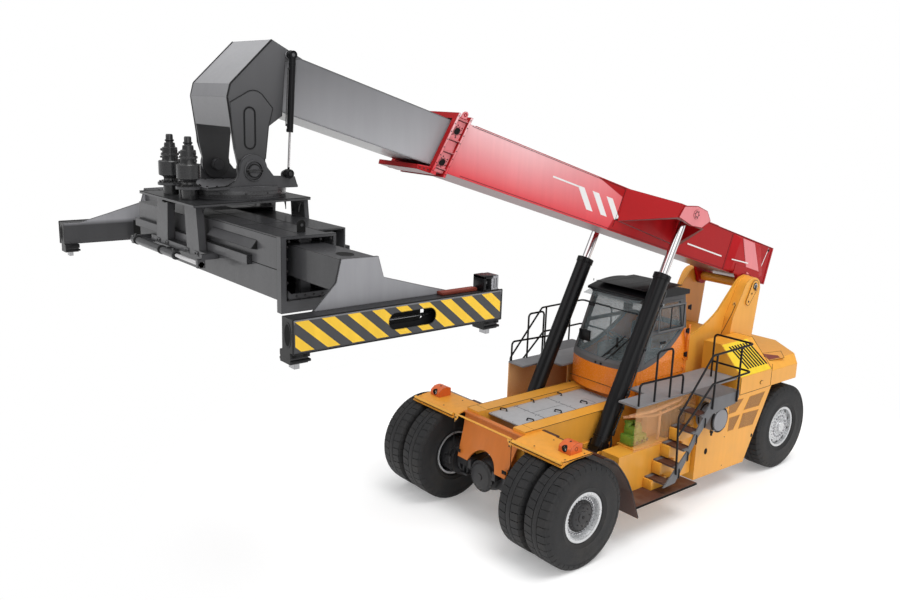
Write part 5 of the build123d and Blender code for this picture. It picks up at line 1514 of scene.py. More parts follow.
# ---------------------------------------------------------------- inner boom and head
@dataclass
class BoomHead:
    """Seams, cheek plates and pins of the grey inner boom and its bent head."""

    half: float = 0.350
    low: float = 0.173
    high: float = 0.853
    cheek_x: float = 0.500

    def build(self) -> None:
        """Build every piece of trim."""
        for sign, hand in SIDES:
            self.cheek(sign, hand)

    def cheek(self, sign: int, hand: str) -> None:
        """Dress one cheek of the head: the slotted doubler and the tilt pin.

        Args:
            sign: +1 on the left, -1 on the right.
            hand: The side's name.
        """
        mould = Mould(f"head_cheek_trim_{hand}", "inner_boom", HEAD_GREY, SHADOW, BLACK)
        at = outward_frame(sign * self.cheek_x, sign)
        plate = [
            (-4.778, 6.700), (-4.640, 6.775), (-4.545, 6.828), (-4.494, 6.838), (-4.430, 6.828),
            (-4.383, 6.800), (-4.242, 6.640), (-4.300, 6.430), (-4.345, 6.060), (-4.700, 6.050),
            (-4.745, 6.200),
        ]
        mould.slab(plate, 0.008, 0.002, 0, at)
        edge = at @ Matrix.Translation((0.0, 0.0, 0.005))
        mould.chain([edge @ Vector((y, z, 0.0)) for y, z in plate[:9]], 0.0055, 2, 8)
        rings = []
        for reach in (0.060, 0.074):
            ring = [
                (-4.541 + reach * math.cos(math.radians(a)), 6.580 + reach * math.sin(math.radians(a)))
                for a in range(0, 181, 15)
            ]
            ring += [
                (-4.541 + reach * math.cos(math.radians(a)), 6.245 + reach * math.sin(math.radians(a)))
                for a in range(180, 361, 15)
            ]
            rings.append(ring)
        mould.frame_slab(rings[1], rings[0], 0.006, 2, at @ Matrix.Translation((0, 0, 0.007)))
        front = [(-4.242, 7.408), (-4.767, 6.902), (-4.806, 6.755), (-4.728, 6.180)]
        mould.chain([(sign * 0.4975, y, z) for y, z in front], 0.011, 2, 8)
        top = at @ Matrix.Translation((-4.030, 7.250, 0.045))
        mould.hoop((0.030, 0.052), (0.0, 0.012), top, 32, 2)
        mould.finish_piece()


# ---------------------------------------------------------------- spreader
class Rotator:
    """Slewing ring, motors and pins between the head and the spreader's table."""

    def build(self) -> None:
        """Build every piece of trim."""
        self.motors()
        self.ring()
        for sign, hand in SIDES:
            self.pin(sign, hand)

    def motors(self) -> None:
        """Build the two slewing motors that replace their plain shapes."""
        mould = Mould("slew_motor_pieces", "head_yoke", MOTOR_GREY, DARK_BOLT, BLACK)
        for x in (-0.265, 0.265):
            at = Matrix.Translation((x, -5.185, 5.606))
            mould.disc(0.088, (0.0, 0.110, 0.110), at, 40, 0)
            mould.turned(
                [
                    (0.0, 0.124), (0.135, 0.124), (0.139, 0.128), (0.139, 0.146), (0.110, 0.152),
                    (0.084, 0.170), (0.078, 0.190), (0.092, 0.214), (0.128, 0.228), (0.136, 0.236),
                    (0.136, 0.388), (0.128, 0.396), (0.094, 0.398), (0.090, 0.412), (0.090, 0.455),
                    (0.104, 0.460), (0.104, 0.476), (0.088, 0.480), (0.086, 0.548), (0.064, 0.556),
                    (0.060, 0.602), (0.042, 0.606), (0.040, 0.690), (0.034, 0.702), (0.0, 0.704),
                ],
                at, 48, 0,
            )
            mould.bolt_ring(at @ Matrix.Translation((0, 0, 0.150)), 0.124, 12, 0.010, 0.014, 1)
            mould.bolt_ring(at @ Matrix.Translation((0, 0, 0.476)), 0.094, 8, 0.008, 0.010, 1, 10.0)
            for turn in (0.4, 2.0, 3.9):
                spot = at @ Matrix.Rotation(turn, 4, "Z")
                mould.block((0.088, -0.020, 0.424), (0.116, 0.020, 0.448), 0.005, 0, spot)
                mould.rod(
                    spot @ Vector((0.080, 0.0, 0.520)), spot @ Vector((0.112, 0.0, 0.520)), 0.015, 1, 12,
                )
            mould.rod(at @ Vector((0.0, 0.0, 0.62)), at @ Vector((0.0, 0.0, 0.64)), 0.052, 2, 24)
        mould.finish_piece(32.0, ["slew_motors"])

    def ring(self) -> None:
        """Build the machined slewing ring with its bolts, and two rows of bolts above it."""
        mould = Mould("slew_ring_trim", "head_yoke", RING_GREY, DARK_BOLT, YOKE_GREY)
        at = Matrix.Translation((0.0, HANG, 5.601))
        mould.turned(
            [
                (0.6185, 0.020), (0.6205, 0.020), (0.6215, 0.026), (0.6215, 0.094), (0.6205, 0.100),
                (0.6185, 0.100),
            ],
            at, 96, 0,
        )
        mould.hoop((0.6185, 0.6225), (0.048, 0.054), at, 96, 1)
        for n in range(14):
            spot = at @ Matrix.Rotation(
                math.tau * (n + 0.5) / 14, 4, "Z",
            ) @ Matrix.Translation((0.6215, 0.0, 0.072))
            mould.disc(0.010, (-0.001, 0.004, 0.005), spot @ Matrix.Rotation(math.pi / 2, 4, "Y"), 12, 1)
        for sign in (-1, 1):
            for n in range(9):
                y = -5.04 + n * 0.118
                spot = Matrix.Translation((sign * 0.425, y, 5.750))
                mould.bolt(spot, 0.012, 0.012, 1)
        mould.finish_piece()

    def pin(self, sign: int, hand: str) -> None:
        """Build the boss, pin and keeper on one yoke cheek.

        Args:
            sign: +1 on the left, -1 on the right.
            hand: The side's name.
        """
        mould = Mould(f"tilt_pin_trim_{hand}", "head_yoke", YOKE_GREY, SHADOW, MOTOR_GREY)
        at = outward_frame(sign * 0.540, sign) @ Matrix.Translation((HANG, HEAD_PIVOT_Z, 0.0))
        mould.turned(
            [(0.104, -0.002), (0.124, -0.002), (0.124, 0.010), (0.116, 0.014), (0.104, 0.014)], at, 48, 0,
        )
        mould.hoop((0.100, 0.105), (-0.001, 0.011), at, 48, 1)
        mould.disc(0.076, (-0.001, 0.010, 0.010), at, 48, 0)
        mould.hoop((0.070, 0.078), (0.009, 0.0265), at, 48, 1)
        mould.block((-0.100, -0.018, 0.024), (0.104, 0.018, 0.034), 0.004, 2, at)
        for x in (-0.088, 0.090):
            mould.bolt(at @ Matrix.Translation((x, 0.0, 0.033)), 0.012, 0.010, 1)
        rim = [(-5.080, 5.745), (-4.850, 5.760), (-4.760, 5.815)]
        mould.chain([(sign * 0.542, y, z + 0.004) for y, z in rim], 0.006, 1, 8)
        mould.finish_piece()


class Table:
    """Edge beads, gussets, hoses and side-shift fittings of the rotator table."""

    def build(self) -> None:
        """Build every piece of trim."""
        mould = Mould("table_trim", "table", STEEL_GREY, SHADOW, DARK_BOLT)
        front, rear = -5.370, -3.815
        for x0, y0, x1, y1 in (
            (-0.80, front, 0.80, front), (0.80, front, 0.625, rear), (-0.80, front, -0.625, rear),
            (-0.625, rear, 0.625, rear),
        ):
            mould.rod((x0, y0, 5.5995), (x1, y1, 5.5995), 0.004, 1, 8)
        for sign in (-1, 1):
            for n in range(8):
                mould.bolt(Matrix.Translation((sign * 0.73, -5.30 + n * 0.16, 5.5985)), 0.012, 0.004, 2)
            self.arch(mould, sign)
            self.foot(mould, sign)
        self.hoses(mould)
        mould.finish_piece()
        self.rod_end()

    def arch(self, mould: Mould, sign: int) -> None:
        """Add the curved corner gussets between one pair of legs and the plate.

        Args:
            mould: The table trim being built.
            sign: +1 on the left, -1 on the right.
        """
        for y in (-5.16, -3.935):
            at = front_frame(y)
            for inner, way in ((0.24, -1.0), (0.56, 1.0)):
                corner = sign * inner
                outline = [(corner, 5.568), (corner, 5.42)]
                for n in range(7):
                    angle = math.radians(90.0 * n / 6)
                    reach = 0.15
                    outline.append(
                        (
                            corner + sign * way * reach * (1 - math.cos(angle)),
                            5.42 + reach * math.sin(angle) * 0.98,
                        ),
                    )
                mould.slab(outline, 0.012, 0.0, 0, at)

    def foot(self, mould: Mould, sign: int) -> None:
        """Add wear blocks and bolts at the feet on one side.

        Args:
            mould: The table trim being built.
            sign: +1 on the left, -1 on the right.
        """
        for x in (0.30, 0.56):
            mould.block((sign * x - 0.05, -5.252, 4.992), (sign * x + 0.05, -5.243, 5.052), 0.003, 0)
            for dx in (-0.03, 0.03):
                spot = front_frame(-5.252) @ Matrix.Translation((sign * x + dx, 5.022, 0.0))
                mould.bolt(spot, 0.010, 0.008, 2)

    def hoses(self, mould: Mould) -> None:
        """Add the fixed pipes under the plate."""
        for x, z in ((-0.16, 5.545), (-0.12, 5.540), (0.05, 5.545)):
            mould.rod((x, -5.34, z), (x, -4.8, z), 0.011, 1, 10)

    def rod_end(self) -> None:
        """Dress the side-shift rod's clevis."""
        mould = Mould("shift_rod_trim", "table", MOTOR_GREY, STEEL_GREY, DARK_BOLT)
        mould.rod((0.752, -5.30, 4.937), (0.80, -5.30, 4.937), 0.040, 1, 6)
        mould.block((0.752, -5.344, 4.905), (0.797, -5.256, 4.972), 0.006, 1)
        mould.finish_piece()


class SpreaderBox:
    """Mouth frames, seams, channels, lugs and cylinder fittings of the spreader's box."""

    def build(self) -> None:
        """Build every piece of trim."""
        mould = Mould("spreader_box_trim", "spreader", STEEL_GREY, SHADOW, DARK_BOLT, BEAM_GREY)
        for sign, _ in SIDES:
            self.seams(mould, sign)
            self.mouth(mould, sign)
            self.channel(mould, sign)
            self.lug(mould, sign)
        self.cylinder(mould)
        mould.finish_piece()

    def seams(self, mould: Mould, sign: int) -> None:
        """Add the dark plate seams of one lane.

        Args:
            mould: The box trim being built.
            sign: +1 for the front lane, -1 for the rear one.
        """
        y = HANG - sign * 0.5755
        mould.block(
            (min(sign * -1.6, sign * 2.21), y - 0.001, 5.086),
            (max(sign * -1.6, sign * 2.21), y + 0.001, 5.094), 0.0, 1,
        )
        mould.block(
            (min(sign * 0.07, sign * 2.21), y - 0.001, 5.412),
            (max(sign * 0.07, sign * 2.21), y + 0.001, 5.418), 0.0, 1,
        )
        low, high = sorted((sign * 0.07, sign * 2.20))
        mould.block((low, HANG - 0.004, 5.4295), (high, HANG + 0.004, 5.4315), 0.0, 1)
        mould.block(
            (low, HANG - sign * 0.30 - 0.003, 5.4295), (high, HANG - sign * 0.30 + 0.003, 5.4312), 0.0, 1,
        )
        for x in (0.42, 1.30):
            mould.block(
                (sign * x - 0.003, min(HANG, HANG - sign * 0.57), 5.4295),
                (sign * x + 0.003, max(HANG, HANG - sign * 0.57), 5.4312), 0.0, 1,
            )

    def mouth(self, mould: Mould, sign: int) -> None:
        """Add the rounded flange, liner plates and bolts round one mouth.

        Args:
            mould: The box trim being built.
            sign: +1 for the front lane, -1 for the rear one.
        """
        face = outward_frame(sign * 2.3, sign)
        mid = HANG - sign * 0.285
        for z in (5.395, 4.800):
            for n in range(5):
                mould.bolt(face @ Matrix.Translation((mid - 0.24 + 0.12 * n, z, 0.0)), 0.011, 0.010, 2)
        for y in (mid - 0.262, mid + 0.262):
            for n in range(5):
                mould.bolt(face @ Matrix.Translation((y, 4.86 + 0.12 * n, 0.0)), 0.010, 0.010, 2)
        inner = sign * 2.285
        mould.slab(
            [
                (mid - 0.25, 4.80), (mid + 0.25, 4.80), (mid + 0.25, 4.90), (mid + 0.21, 4.86),
                (mid - 0.21, 4.86), (mid - 0.25, 4.90),
            ],
            -0.012, 0.0, 0, outward_frame(inner, sign),
        )
        for n in range(4):
            spot = Matrix.Translation(
                (inner, mid - 0.15 + 0.1 * n, 4.83),
            ) @ Matrix.Rotation(sign * math.pi / 2, 4, "Y")
            mould.bolt(spot, 0.009, 0.008, 2)

    def channel(self, mould: Mould, sign: int) -> None:
        """Add the slide rail's pointed upper flange along one face of the box.

        Args:
            mould: The box trim being built.
            sign: +1 for the front face, -1 for the rear one.
        """
        y = HANG - sign * 0.575
        out = y - sign * 0.056
        for end in (-1.598, 1.598):
            low, high = sorted((y, out))
            mould.block((end - 0.006, low, 5.064), (end + 0.002, high, 5.156), 0.0, 1)
        wedge = ((y, 5.230), (y - sign * 0.075, 5.245), (y, 5.335))
        start, end = sorted((sign * 0.66, sign * 1.72))
        mould.slab([(b, c) for b, c in wedge], end - start, 0.002, 0, side_frame(start))
        tip = sign * 1.722
        mould.slab(
            [
                (b, c)
                for b, c in (
                    (y - sign * 0.004, 5.240), (y - sign * 0.062, 5.250), (y - sign * 0.004, 5.322),
                )
            ],
            0.003 * sign, 0.0, 1, side_frame(tip),
        )

    def lug(self, mould: Mould, sign: int) -> None:
        """Add one lifting lug with its eye on top of the box.

        Args:
            mould: The box trim being built.
            sign: +1 for the front lane, -1 for the rear one.
        """
        y = HANG - sign * 0.225
        at = side_frame(sign * 2.0)
        outline = [(y - 0.045, 5.428), (y - 0.045, 5.50)]
        outline += [
            (y + 0.045 * math.cos(math.radians(a)), 5.515 + 0.045 * math.sin(math.radians(a)))
            for a in range(170, 9, -20)
        ]
        outline += [(y + 0.045, 5.50), (y + 0.045, 5.428)]
        mould.slab(outline, 0.030, 0.004, 1, at)
        mould.disc(0.018, (0.0, 0.034, 0.034), at @ Matrix.Translation((y, 5.505, -0.002)), 20, 0)

    def cylinder(self, mould: Mould) -> None:
        """Dress the side-shift cylinder: clamps, gland and ports."""
        mould.rod((0.065, -5.30, 4.937), (0.098, -5.30, 4.937), 0.056, 0, 32)
        mould.rod((0.098, -5.30, 4.937), (0.112, -5.30, 4.937), 0.036, 1, 24)
        for x in (-1.15, -0.35):
            mould.rod((x, -5.30, 4.937), (x + 0.05, -5.30, 4.937), 0.054, 1, 32)
            mould.block((x, -5.245, 4.91), (x + 0.05, -5.092, 4.965), 0.004, 0)
        for x in (-1.20, 0.02):
            mould.rod((x, -5.30, 4.975), (x, -5.30, 5.010), 0.018, 0, 16)


class TelescopicEnds:
    """Oval holes, braces, shoes, lamps and twistlock details at both ends."""

    def build(self) -> None:
        """Build both ends."""
        for sign, hand in SIDES:
            self.beam(sign, hand)
            self.end(sign, hand)

    def beam(self, sign: int, hand: str) -> None:
        """Dress one telescopic beam.

        Args:
            sign: +1 on the left, -1 on the right.
            hand: The side's name.
        """
        lane = HANG - sign * 0.285
        body = f"extension_{hand}"
        mould = Mould(f"telescopic_beam_trim_{hand}", body, SHADOW, BEAM_GREY)
        at = Matrix.Translation((sign * 2.945, lane, 5.350)) @ Matrix.Diagonal((1.35, 1.0, 1.0, 1.0))
        mould.disc(0.080, (-0.001, 0.0012, 0.0012), at, 36, 0)
        mould.hoop((0.078, 0.084), (-0.001, 0.003), at, 36, 1)
        for y in (lane - 0.14, lane + 0.12):
            outline = [
                (sign * 2.945, 5.018), (sign * 3.195, 4.690), (sign * 3.195, 4.672), (sign * 2.930, 5.018),
            ]
            mould.slab(outline, 0.085, 0.003, 1, front_frame(y + 0.052))
        mould.finish_piece()

    def end(self, sign: int, hand: str) -> None:
        """Dress one end beam.

        Args:
            sign: +1 on the left, -1 on the right.
            hand: The side's name.
        """
        body = f"extension_{hand}"
        mould = Mould(f"end_beam_trim_{hand}", body, END_BEAM, SHADOW, BLACK, DEEP_RED, MACHINED, LENS)
        front, rear = -5.615, -3.175
        for y, way in ((front, -1), (rear, 1)):
            at = Matrix.Translation(
                (sign * 3.30, y, 4.755),
            ) @ Matrix.Rotation(math.pi / 2, 4, "X") @ Matrix.Diagonal((0.7, 1.35, 1.0, 1.0))
            low, high = (-0.001, 0.0015) if way < 0 else (-0.0015, 0.001)
            mould.disc(0.078, (low, high, high), at, 36, 1)
            mould.hoop((0.074, 0.088), (low, high * 2), at, 36, 2)
        slot = sign * 3.400
        face = outward_frame(slot, sign) @ Matrix.Translation((-4.320, 4.755, -0.0015))
        rings = []
        for reach in (0.080, 0.094):
            ring = [
                (0.200 + reach * math.cos(math.radians(a)), reach * math.sin(math.radians(a)))
                for a in range(-90, 91, 15)
            ]
            ring += [
                (-0.200 + reach * math.cos(math.radians(a)), reach * math.sin(math.radians(a)))
                for a in range(90, 271, 15)
            ]
            rings.append(ring)
        mould.frame_slab(rings[1], rings[0], 0.0014, 1, face)
        # A near-black sheet inside the beam closes the slot from behind: painted shade for its depth.
        near, far = sorted((sign * 3.06, sign * 3.07))
        mould.block((near, -4.66, 4.60), (far, -3.98, 4.91), 0.0, 1)
        for y0, z0, y1, z1 in (
            (front, 4.912, rear, 4.912), (front, 4.598, rear, 4.598), (front, 4.598, front, 4.912),
            (rear, 4.598, rear, 4.912),
        ):
            mould.rod((sign * 3.3965, y0, z0), (sign * 3.3965, y1, z1), 0.0075, 2, 8, 0.0)
        mould.rod((sign * 3.26, -4.62, 4.735), (sign * 3.26, -4.02, 4.735), 0.012, 4, 12)
        mould.rod((sign * 3.30, -4.62, 4.770), (sign * 3.30, -4.02, 4.760), 0.008, 2, 12)
        for lock in (-5.5245, -3.2655):
            self.shoe(mould, sign, lock)
        self.lamp(mould, sign)
        mould.finish_piece()

    def shoe(self, mould: Mould, sign: int, y: float) -> None:
        """Add the stepped corner shoe and keeper round one twistlock.

        Args:
            mould: The end-beam trim being built.
            sign: +1 on the left, -1 on the right.
            y: Length back from the front axle to the twistlock.
        """
        x = sign * 3.25
        mould.block((x - 0.105, y - 0.088, 4.545), (x + 0.105, y + 0.105, 4.599), 0.006, 2)
        mould.block((x - 0.110, y - 0.088, 4.502), (x + 0.110, y + 0.112, 4.528), 0.006, 2)
        for dx in (-0.07, 0.07):
            mould.block((x + dx - 0.022, y - 0.0895, 4.552), (x + dx + 0.022, y - 0.086, 4.592), 0.002, 1)
            mould.block((x + dx - 0.022, y + 0.1035, 4.552), (x + dx + 0.022, y + 0.107, 4.592), 0.002, 1)
        for dy in (-0.055, 0.055):
            mould.block(
                (x + sign * 0.104, y + dy - 0.020, 4.552), (x + sign * 0.1065, y + dy + 0.020, 4.592),
                0.002, 1,
            )

    def lamp(self, mould: Mould, sign: int) -> None:
        """Add the lamp box and red bar at the rear of the end beam's top.

        Args:
            mould: The end-beam trim being built.
            sign: +1 on the left, -1 on the right.
        """
        low, high = sorted((sign * 3.225, sign * 3.395))
        mould.block((low, -3.425, 4.911), (high, -3.395, 5.070), 0.006, 2)
        mould.block((low, -3.325, 4.911), (high, -3.225, 5.070), 0.008, 0)
        mould.block((low, -3.425, 5.040), (high, -3.300, 5.072), 0.006, 2)
        mould.block((low, -3.420, 4.911), (high, -3.330, 4.935), 0.004, 2)
        mould.rod(((low + high) / 2, -3.395, 4.99), ((low + high) / 2, -3.335, 4.99), 0.040, 4, 24)
        mould.block((low, -3.90, 4.911), (low + 0.09, -3.44, 4.945), 0.006, 3)
        for y in (-3.29, -3.26):
            mould.block((high - 0.002, y, 4.94), (high + 0.001, y + 0.006, 5.04), 0.0, 1)


# ---------------------------------------------------------------- front end
class FrontEnd:
    """Deck, fender lips, lamps, front plate and axle details at the front."""

    HANDLES: tuple[Pair, ...] = (
        (-0.354, 0.481), (-0.420, 1.183), (-0.400, 1.849), (0.264, 0.509), (0.225, 1.198), (0.164, 1.903),
    )

    def build(self) -> None:
        """Build every piece of trim."""
        self.deck()
        self.plate()
        self.axle()
        for sign, hand in SIDES:
            self.fender(sign, hand)
            self.lamp(sign, hand)

    def deck(self) -> None:
        """Build the hatch handles, seams and screws of the deck and the frame's top seams."""
        mould = Mould("deck_trim", "chassis", SOFT_BLACK, SHADOW, DARK_BOLT, MACHINED)
        for x, y in self.HANDLES:
            mould.pipe(
                [
                    (x - 0.055, y - 0.02, 1.700), (x - 0.055, y - 0.02, 1.738),
                    (x + 0.055, y + 0.02, 1.738), (x + 0.055, y + 0.02, 1.700),
                ],
                0.011, 0, 0.03,
            )
            for end in (-1, 1):
                mould.rod(
                    (x + end * 0.055, y + end * 0.02, 1.6995), (x + end * 0.055, y + end * 0.02, 1.704),
                    0.020, 0, 16, 0.0,
                )
        for y in (0.80, 1.56):
            mould.block((-0.42, y - 0.005, 1.6995), (0.42, y + 0.005, 1.7012), 0.0, 1)
        mould.block((-0.003, 0.80, 1.6995), (0.003, 1.56, 1.7010), 0.0, 1)
        for x0, y0, x1, y1 in (
            (0.02, 1.99, 0.26, 1.99), (0.02, 2.10, 0.26, 2.10), (0.02, 1.99, 0.02, 2.10),
            (0.26, 1.99, 0.26, 2.10),
        ):
            mould.block((x0 - 0.003, y0 - 0.003, 1.6995), (x1 + 0.003, y1 + 0.003, 1.7010), 0.0, 1)
        for y in (0.24, 0.76, 0.84, 1.52, 1.60, 2.40):
            for x in (-0.39, -0.13, 0.13, 0.39):
                mould.bolt(Matrix.Translation((x, y, 1.6995)), 0.008, 0.004, 2)
        for sign in (-1, 1):
            mould.rod((sign * 0.4205, 0.17, 1.7585), (sign * 0.4205, 2.36, 1.7585), 0.004, 1, 8)
            mould.rod((sign * 0.7005, -0.03, 1.7585), (sign * 0.7005, 2.40, 1.7585), 0.004, 1, 8)
            mould.block((sign * 0.56 - 0.14, 0.168, 1.7595), (sign * 0.56 + 0.14, 0.173, 1.7610), 0.0, 1)
        mould.finish_piece()

    def plate(self) -> None:
        """Build the edges, towing pin and bracket bolts of the front plate."""
        mould = Mould("front_plate_trim", "chassis", AMBER, SHADOW, DARK_BOLT, DARK_STEEL)
        mould.rod((-0.690, -0.300, 1.705), (0.690, -0.300, 1.705), 0.016, 0, 16)
        for sign in (-1, 1):
            mould.rod((sign * 0.693, -0.310, 1.000), (sign * 0.693, -0.310, 1.712), 0.006, 1, 8)
            mould.slab(
                [(sign * 0.60, 1.660), (sign * 0.685, 1.560), (sign * 0.685, 1.690), (sign * 0.60, 1.700)],
                0.012, 0.002, 0, front_frame(-0.306),
            )
            for z in (1.585, 1.655):
                mould.bolt(
                    front_frame(-0.318) @ Matrix.Translation((sign * 0.655, z, 0.0)), 0.013, 0.010, 2,
                )
            mould.block((sign * 0.56 - 0.05, -0.320, 1.075), (sign * 0.56 + 0.05, -0.310, 1.135), 0.003, 1)
        for x in (-0.30, 0.30):
            mould.block((x - 0.045, -0.30, 0.86), (x + 0.045, -0.16, 1.02), 0.012, 3)
        mould.finish_piece()

    def axle(self) -> None:
        """Build the differential cover, brake housings, saddles and lines of the drive axle."""
        mould = Mould("front_axle_trim", "chassis", DARK_STEEL, DARK_BOLT, SOFT_BLACK, MACHINED)
        face = front_frame(-0.290) @ Matrix.Translation((0.0, 0.830, 0.0))
        mould.turned(
            [
                (0.0, -0.03), (0.262, -0.03), (0.262, -0.008), (0.230, -0.004), (0.205, 0.020),
                (0.120, 0.036), (0.0, 0.040),
            ],
            face, 64, 0,
        )
        mould.bolt_ring(face @ Matrix.Translation((0, 0, -0.009)), 0.245, 20, 0.011, 0.012, 1)
        mould.disc(0.060, (0.036, 0.052, 0.056), face, 32, 0)
        for sign in (-1, 1):
            at = Matrix.Translation((0.0, 0.0, AXLE_Z)) @ Matrix.Rotation(sign * math.pi / 2, 4, "Y")
            mould.turned(
                [
                    (0.150, 0.640), (0.206, 0.640), (0.212, 0.652), (0.212, 0.700), (0.190, 0.712),
                    (0.190, 0.790), (0.236, 0.800), (0.240, 0.812), (0.240, 0.930), (0.232, 0.942),
                    (0.150, 0.950),
                ],
                at, 64, 0,
            )
            mould.bolt_ring(at @ Matrix.Translation((0, 0, 0.7105)), 0.200, 20, 0.010, 0.012, 1)
            for n in range(10):
                turn = at @ Matrix.Rotation(math.tau * n / 10, 4, "Z")
                mould.block((0.236, -0.022, 0.822), (0.252, 0.022, 0.918), 0.004, 0, turn)
            for y in (-0.19, 0.16):
                mould.block(
                    (sign * 0.50 - 0.075, y - 0.05, 0.98), (sign * 0.50 + 0.075, y + 0.05, 1.100), 0.010, 0,
                )
                for x in (-0.045, 0.045):
                    mould.rod((sign * 0.50 + x, y, 0.700), (sign * 0.50 + x, y, 1.128), 0.016, 1, 12)
                    mould.bolt(Matrix.Translation((sign * 0.50 + x, y, 1.098)), 0.026, 0.024, 1)
            mould.block((sign * 0.50 - 0.085, -0.24, 0.668), (sign * 0.50 + 0.085, 0.21, 0.704), 0.008, 0)
            mould.block((sign * 0.80 - 0.06, -0.345, 0.80), (sign * 0.80 + 0.06, -0.215, 0.93), 0.014, 0)
            mould.rod((sign * 0.86, -0.28, 0.865), (sign * 0.93, -0.28, 0.865), 0.045, 2, 24)
            mould.pipe(
                [
                    (sign * 0.80, -0.30, 0.93), (sign * 0.78, -0.30, 1.06), (sign * 0.52, -0.24, 1.16),
                    (sign * 0.30, -0.20, 1.16),
                ],
                0.012, 2, 0.05,
            )
            mould.pipe(
                [
                    (sign * 0.82, -0.26, 0.93), (sign * 0.80, -0.25, 1.09), (sign * 0.56, -0.22, 1.18),
                    (sign * 0.34, -0.18, 1.18),
                ],
                0.010, 2, 0.05,
            )
        mould.finish_piece()

    def fender(self, sign: int, hand: str) -> None:
        """Build the rolled lip of one fender plate and the rubber edge of its arch.

        Args:
            sign: +1 on the left, -1 on the right.
            hand: The side's name.
        """
        mould = Mould(f"fender_trim_{hand}", "chassis", AMBER, SOFT_BLACK, DARK_BOLT, SHADOW)
        mould.pipe(
            [(sign * 0.72, -0.318, 1.690), (sign * 1.30, -0.318, 1.690), (sign * 1.770, -0.318, 1.690)],
            0.028, 0, 0.02, 16,
        )
        mould.rod((sign * 0.72, -0.338, 1.668), (sign * 1.785, -0.338, 1.668), 0.006, 3, 8)
        mould.rod((sign * 1.797, -0.33, 1.711), (sign * 1.797, 0.30, 1.711), 0.006, 3, 8)
        arch = (
            (0.300, 1.706), (0.505, 1.622), (0.677, 1.477), (0.899, 1.206), (1.030, 0.979), (1.235, 0.486),
        )
        mould.pipe([(sign * 2.022, y, z) for y, z in arch], 0.012, 1, 0.05, 10)
        for y in (-0.22, 0.20):
            for x in (1.10, 1.74):
                mould.bolt(Matrix.Translation((sign * x, y, 1.7145)), 0.011, 0.006, 2)
        mould.finish_piece()

    def lamp(self, sign: int, hand: str) -> None:
        """Build the lens, rim, guard and side cap of one headlamp.

        Args:
            sign: +1 on the left, -1 on the right.
            hand: The side's name.
        """
        mould = Mould(f"headlamp_trim_{hand}", "chassis", LAMP_RED, SHADOW, MACHINED, DARK_BOLT)
        at = front_frame(-0.050) @ Matrix.Translation((sign * 1.560, 1.788, 0.0))
        mould.hoop((0.046, 0.052), (-0.030, 0.004), at, 40, 1)
        mould.turned(
            [
                (0.0, -0.050), (0.044, -0.050), (0.046, -0.030), (0.044, -0.030), (0.030, -0.044),
                (0.0, -0.046),
            ],
            at, 40, 2,
        )
        mould.block((-0.004, -0.046, -0.006), (0.004, 0.046, 0.002), 0.0, 1, at)
        cap = outward_frame(sign * 1.680, sign) @ Matrix.Translation((0.080, 1.790, 0.0))
        mould.hoop((0.026, 0.032), (-0.001, 0.002), cap, 32, 1)
        mould.bolt(Matrix.Translation((sign * 1.56, 0.08, 1.8735)), 0.014, 0.008, 3)
        mould.finish_piece()
        lens = Mould(f"headlamp_lens_{hand}", "chassis", LENS)
        lens.turned(
            [(0.0, -0.018), (0.044, -0.022), (0.046, -0.018), (0.030, -0.010), (0.0, -0.006)], at, 40,
        )
        lens.finish_piece()


# ---------------------------------------------------------------- rear body
class Towers:
    """Pivot plates, pins and seams on the boom's two towers."""

    def build(self) -> None:
        """Build both sides."""
        for sign, hand in SIDES:
            mould = Mould(f"tower_trim_{hand}", "chassis", AMBER_LIGHT, SHADOW, DARK_BOLT, MACHINED)
            at = outward_frame(sign * 0.740, sign)
            outline = [
                (PIVOT_Y + 0.115 * math.cos(math.radians(a)), PIVOT_Z + 0.115 * math.sin(math.radians(a)))
                for a in range(-20, 161, 20)
            ]
            outline += [
                (5.775 + 0.075 * math.cos(math.radians(a)), 3.170 + 0.075 * math.sin(math.radians(a)))
                for a in range(160, 341, 20)
            ]
            mould.slab(outline, 0.020, 0.003, 0, at)
            edge = at @ Matrix.Translation((0, 0, 0.018))
            ring = outline + outline[:1]
            mould.line(ring, edge, 0, 0.0045, 1)
            pin = at @ Matrix.Translation((PIVOT_Y, PIVOT_Z, 0.020))
            mould.disc(0.055, (0.0, 0.014, 0.016), pin, 40, 3)
            mould.hoop((0.055, 0.066), (-0.001, 0.006), pin, 40, 1)
            mould.block((-0.020, -0.090, 0.012), (0.020, 0.020, 0.022), 0.002, 2, pin)
            for y, z in ((5.868, 3.320), (5.778, 3.170)):
                mould.bolt(at @ Matrix.Translation((y, z, 0.020)), 0.016, 0.010, 2)
            hole = at @ Matrix.Translation((5.311, 3.183, 0.0))
            mould.disc(0.026, (-0.001, 0.0015, 0.0015), hole, 28, 1)
            mould.hoop((0.026, 0.040), (-0.001, 0.014), hole, 28, 0)
            mould.line(((5.38, 3.16), (5.262, 2.963), (4.98, 2.620)), at, 0.001, 0.006, 1, 8)
            mould.finish_piece()


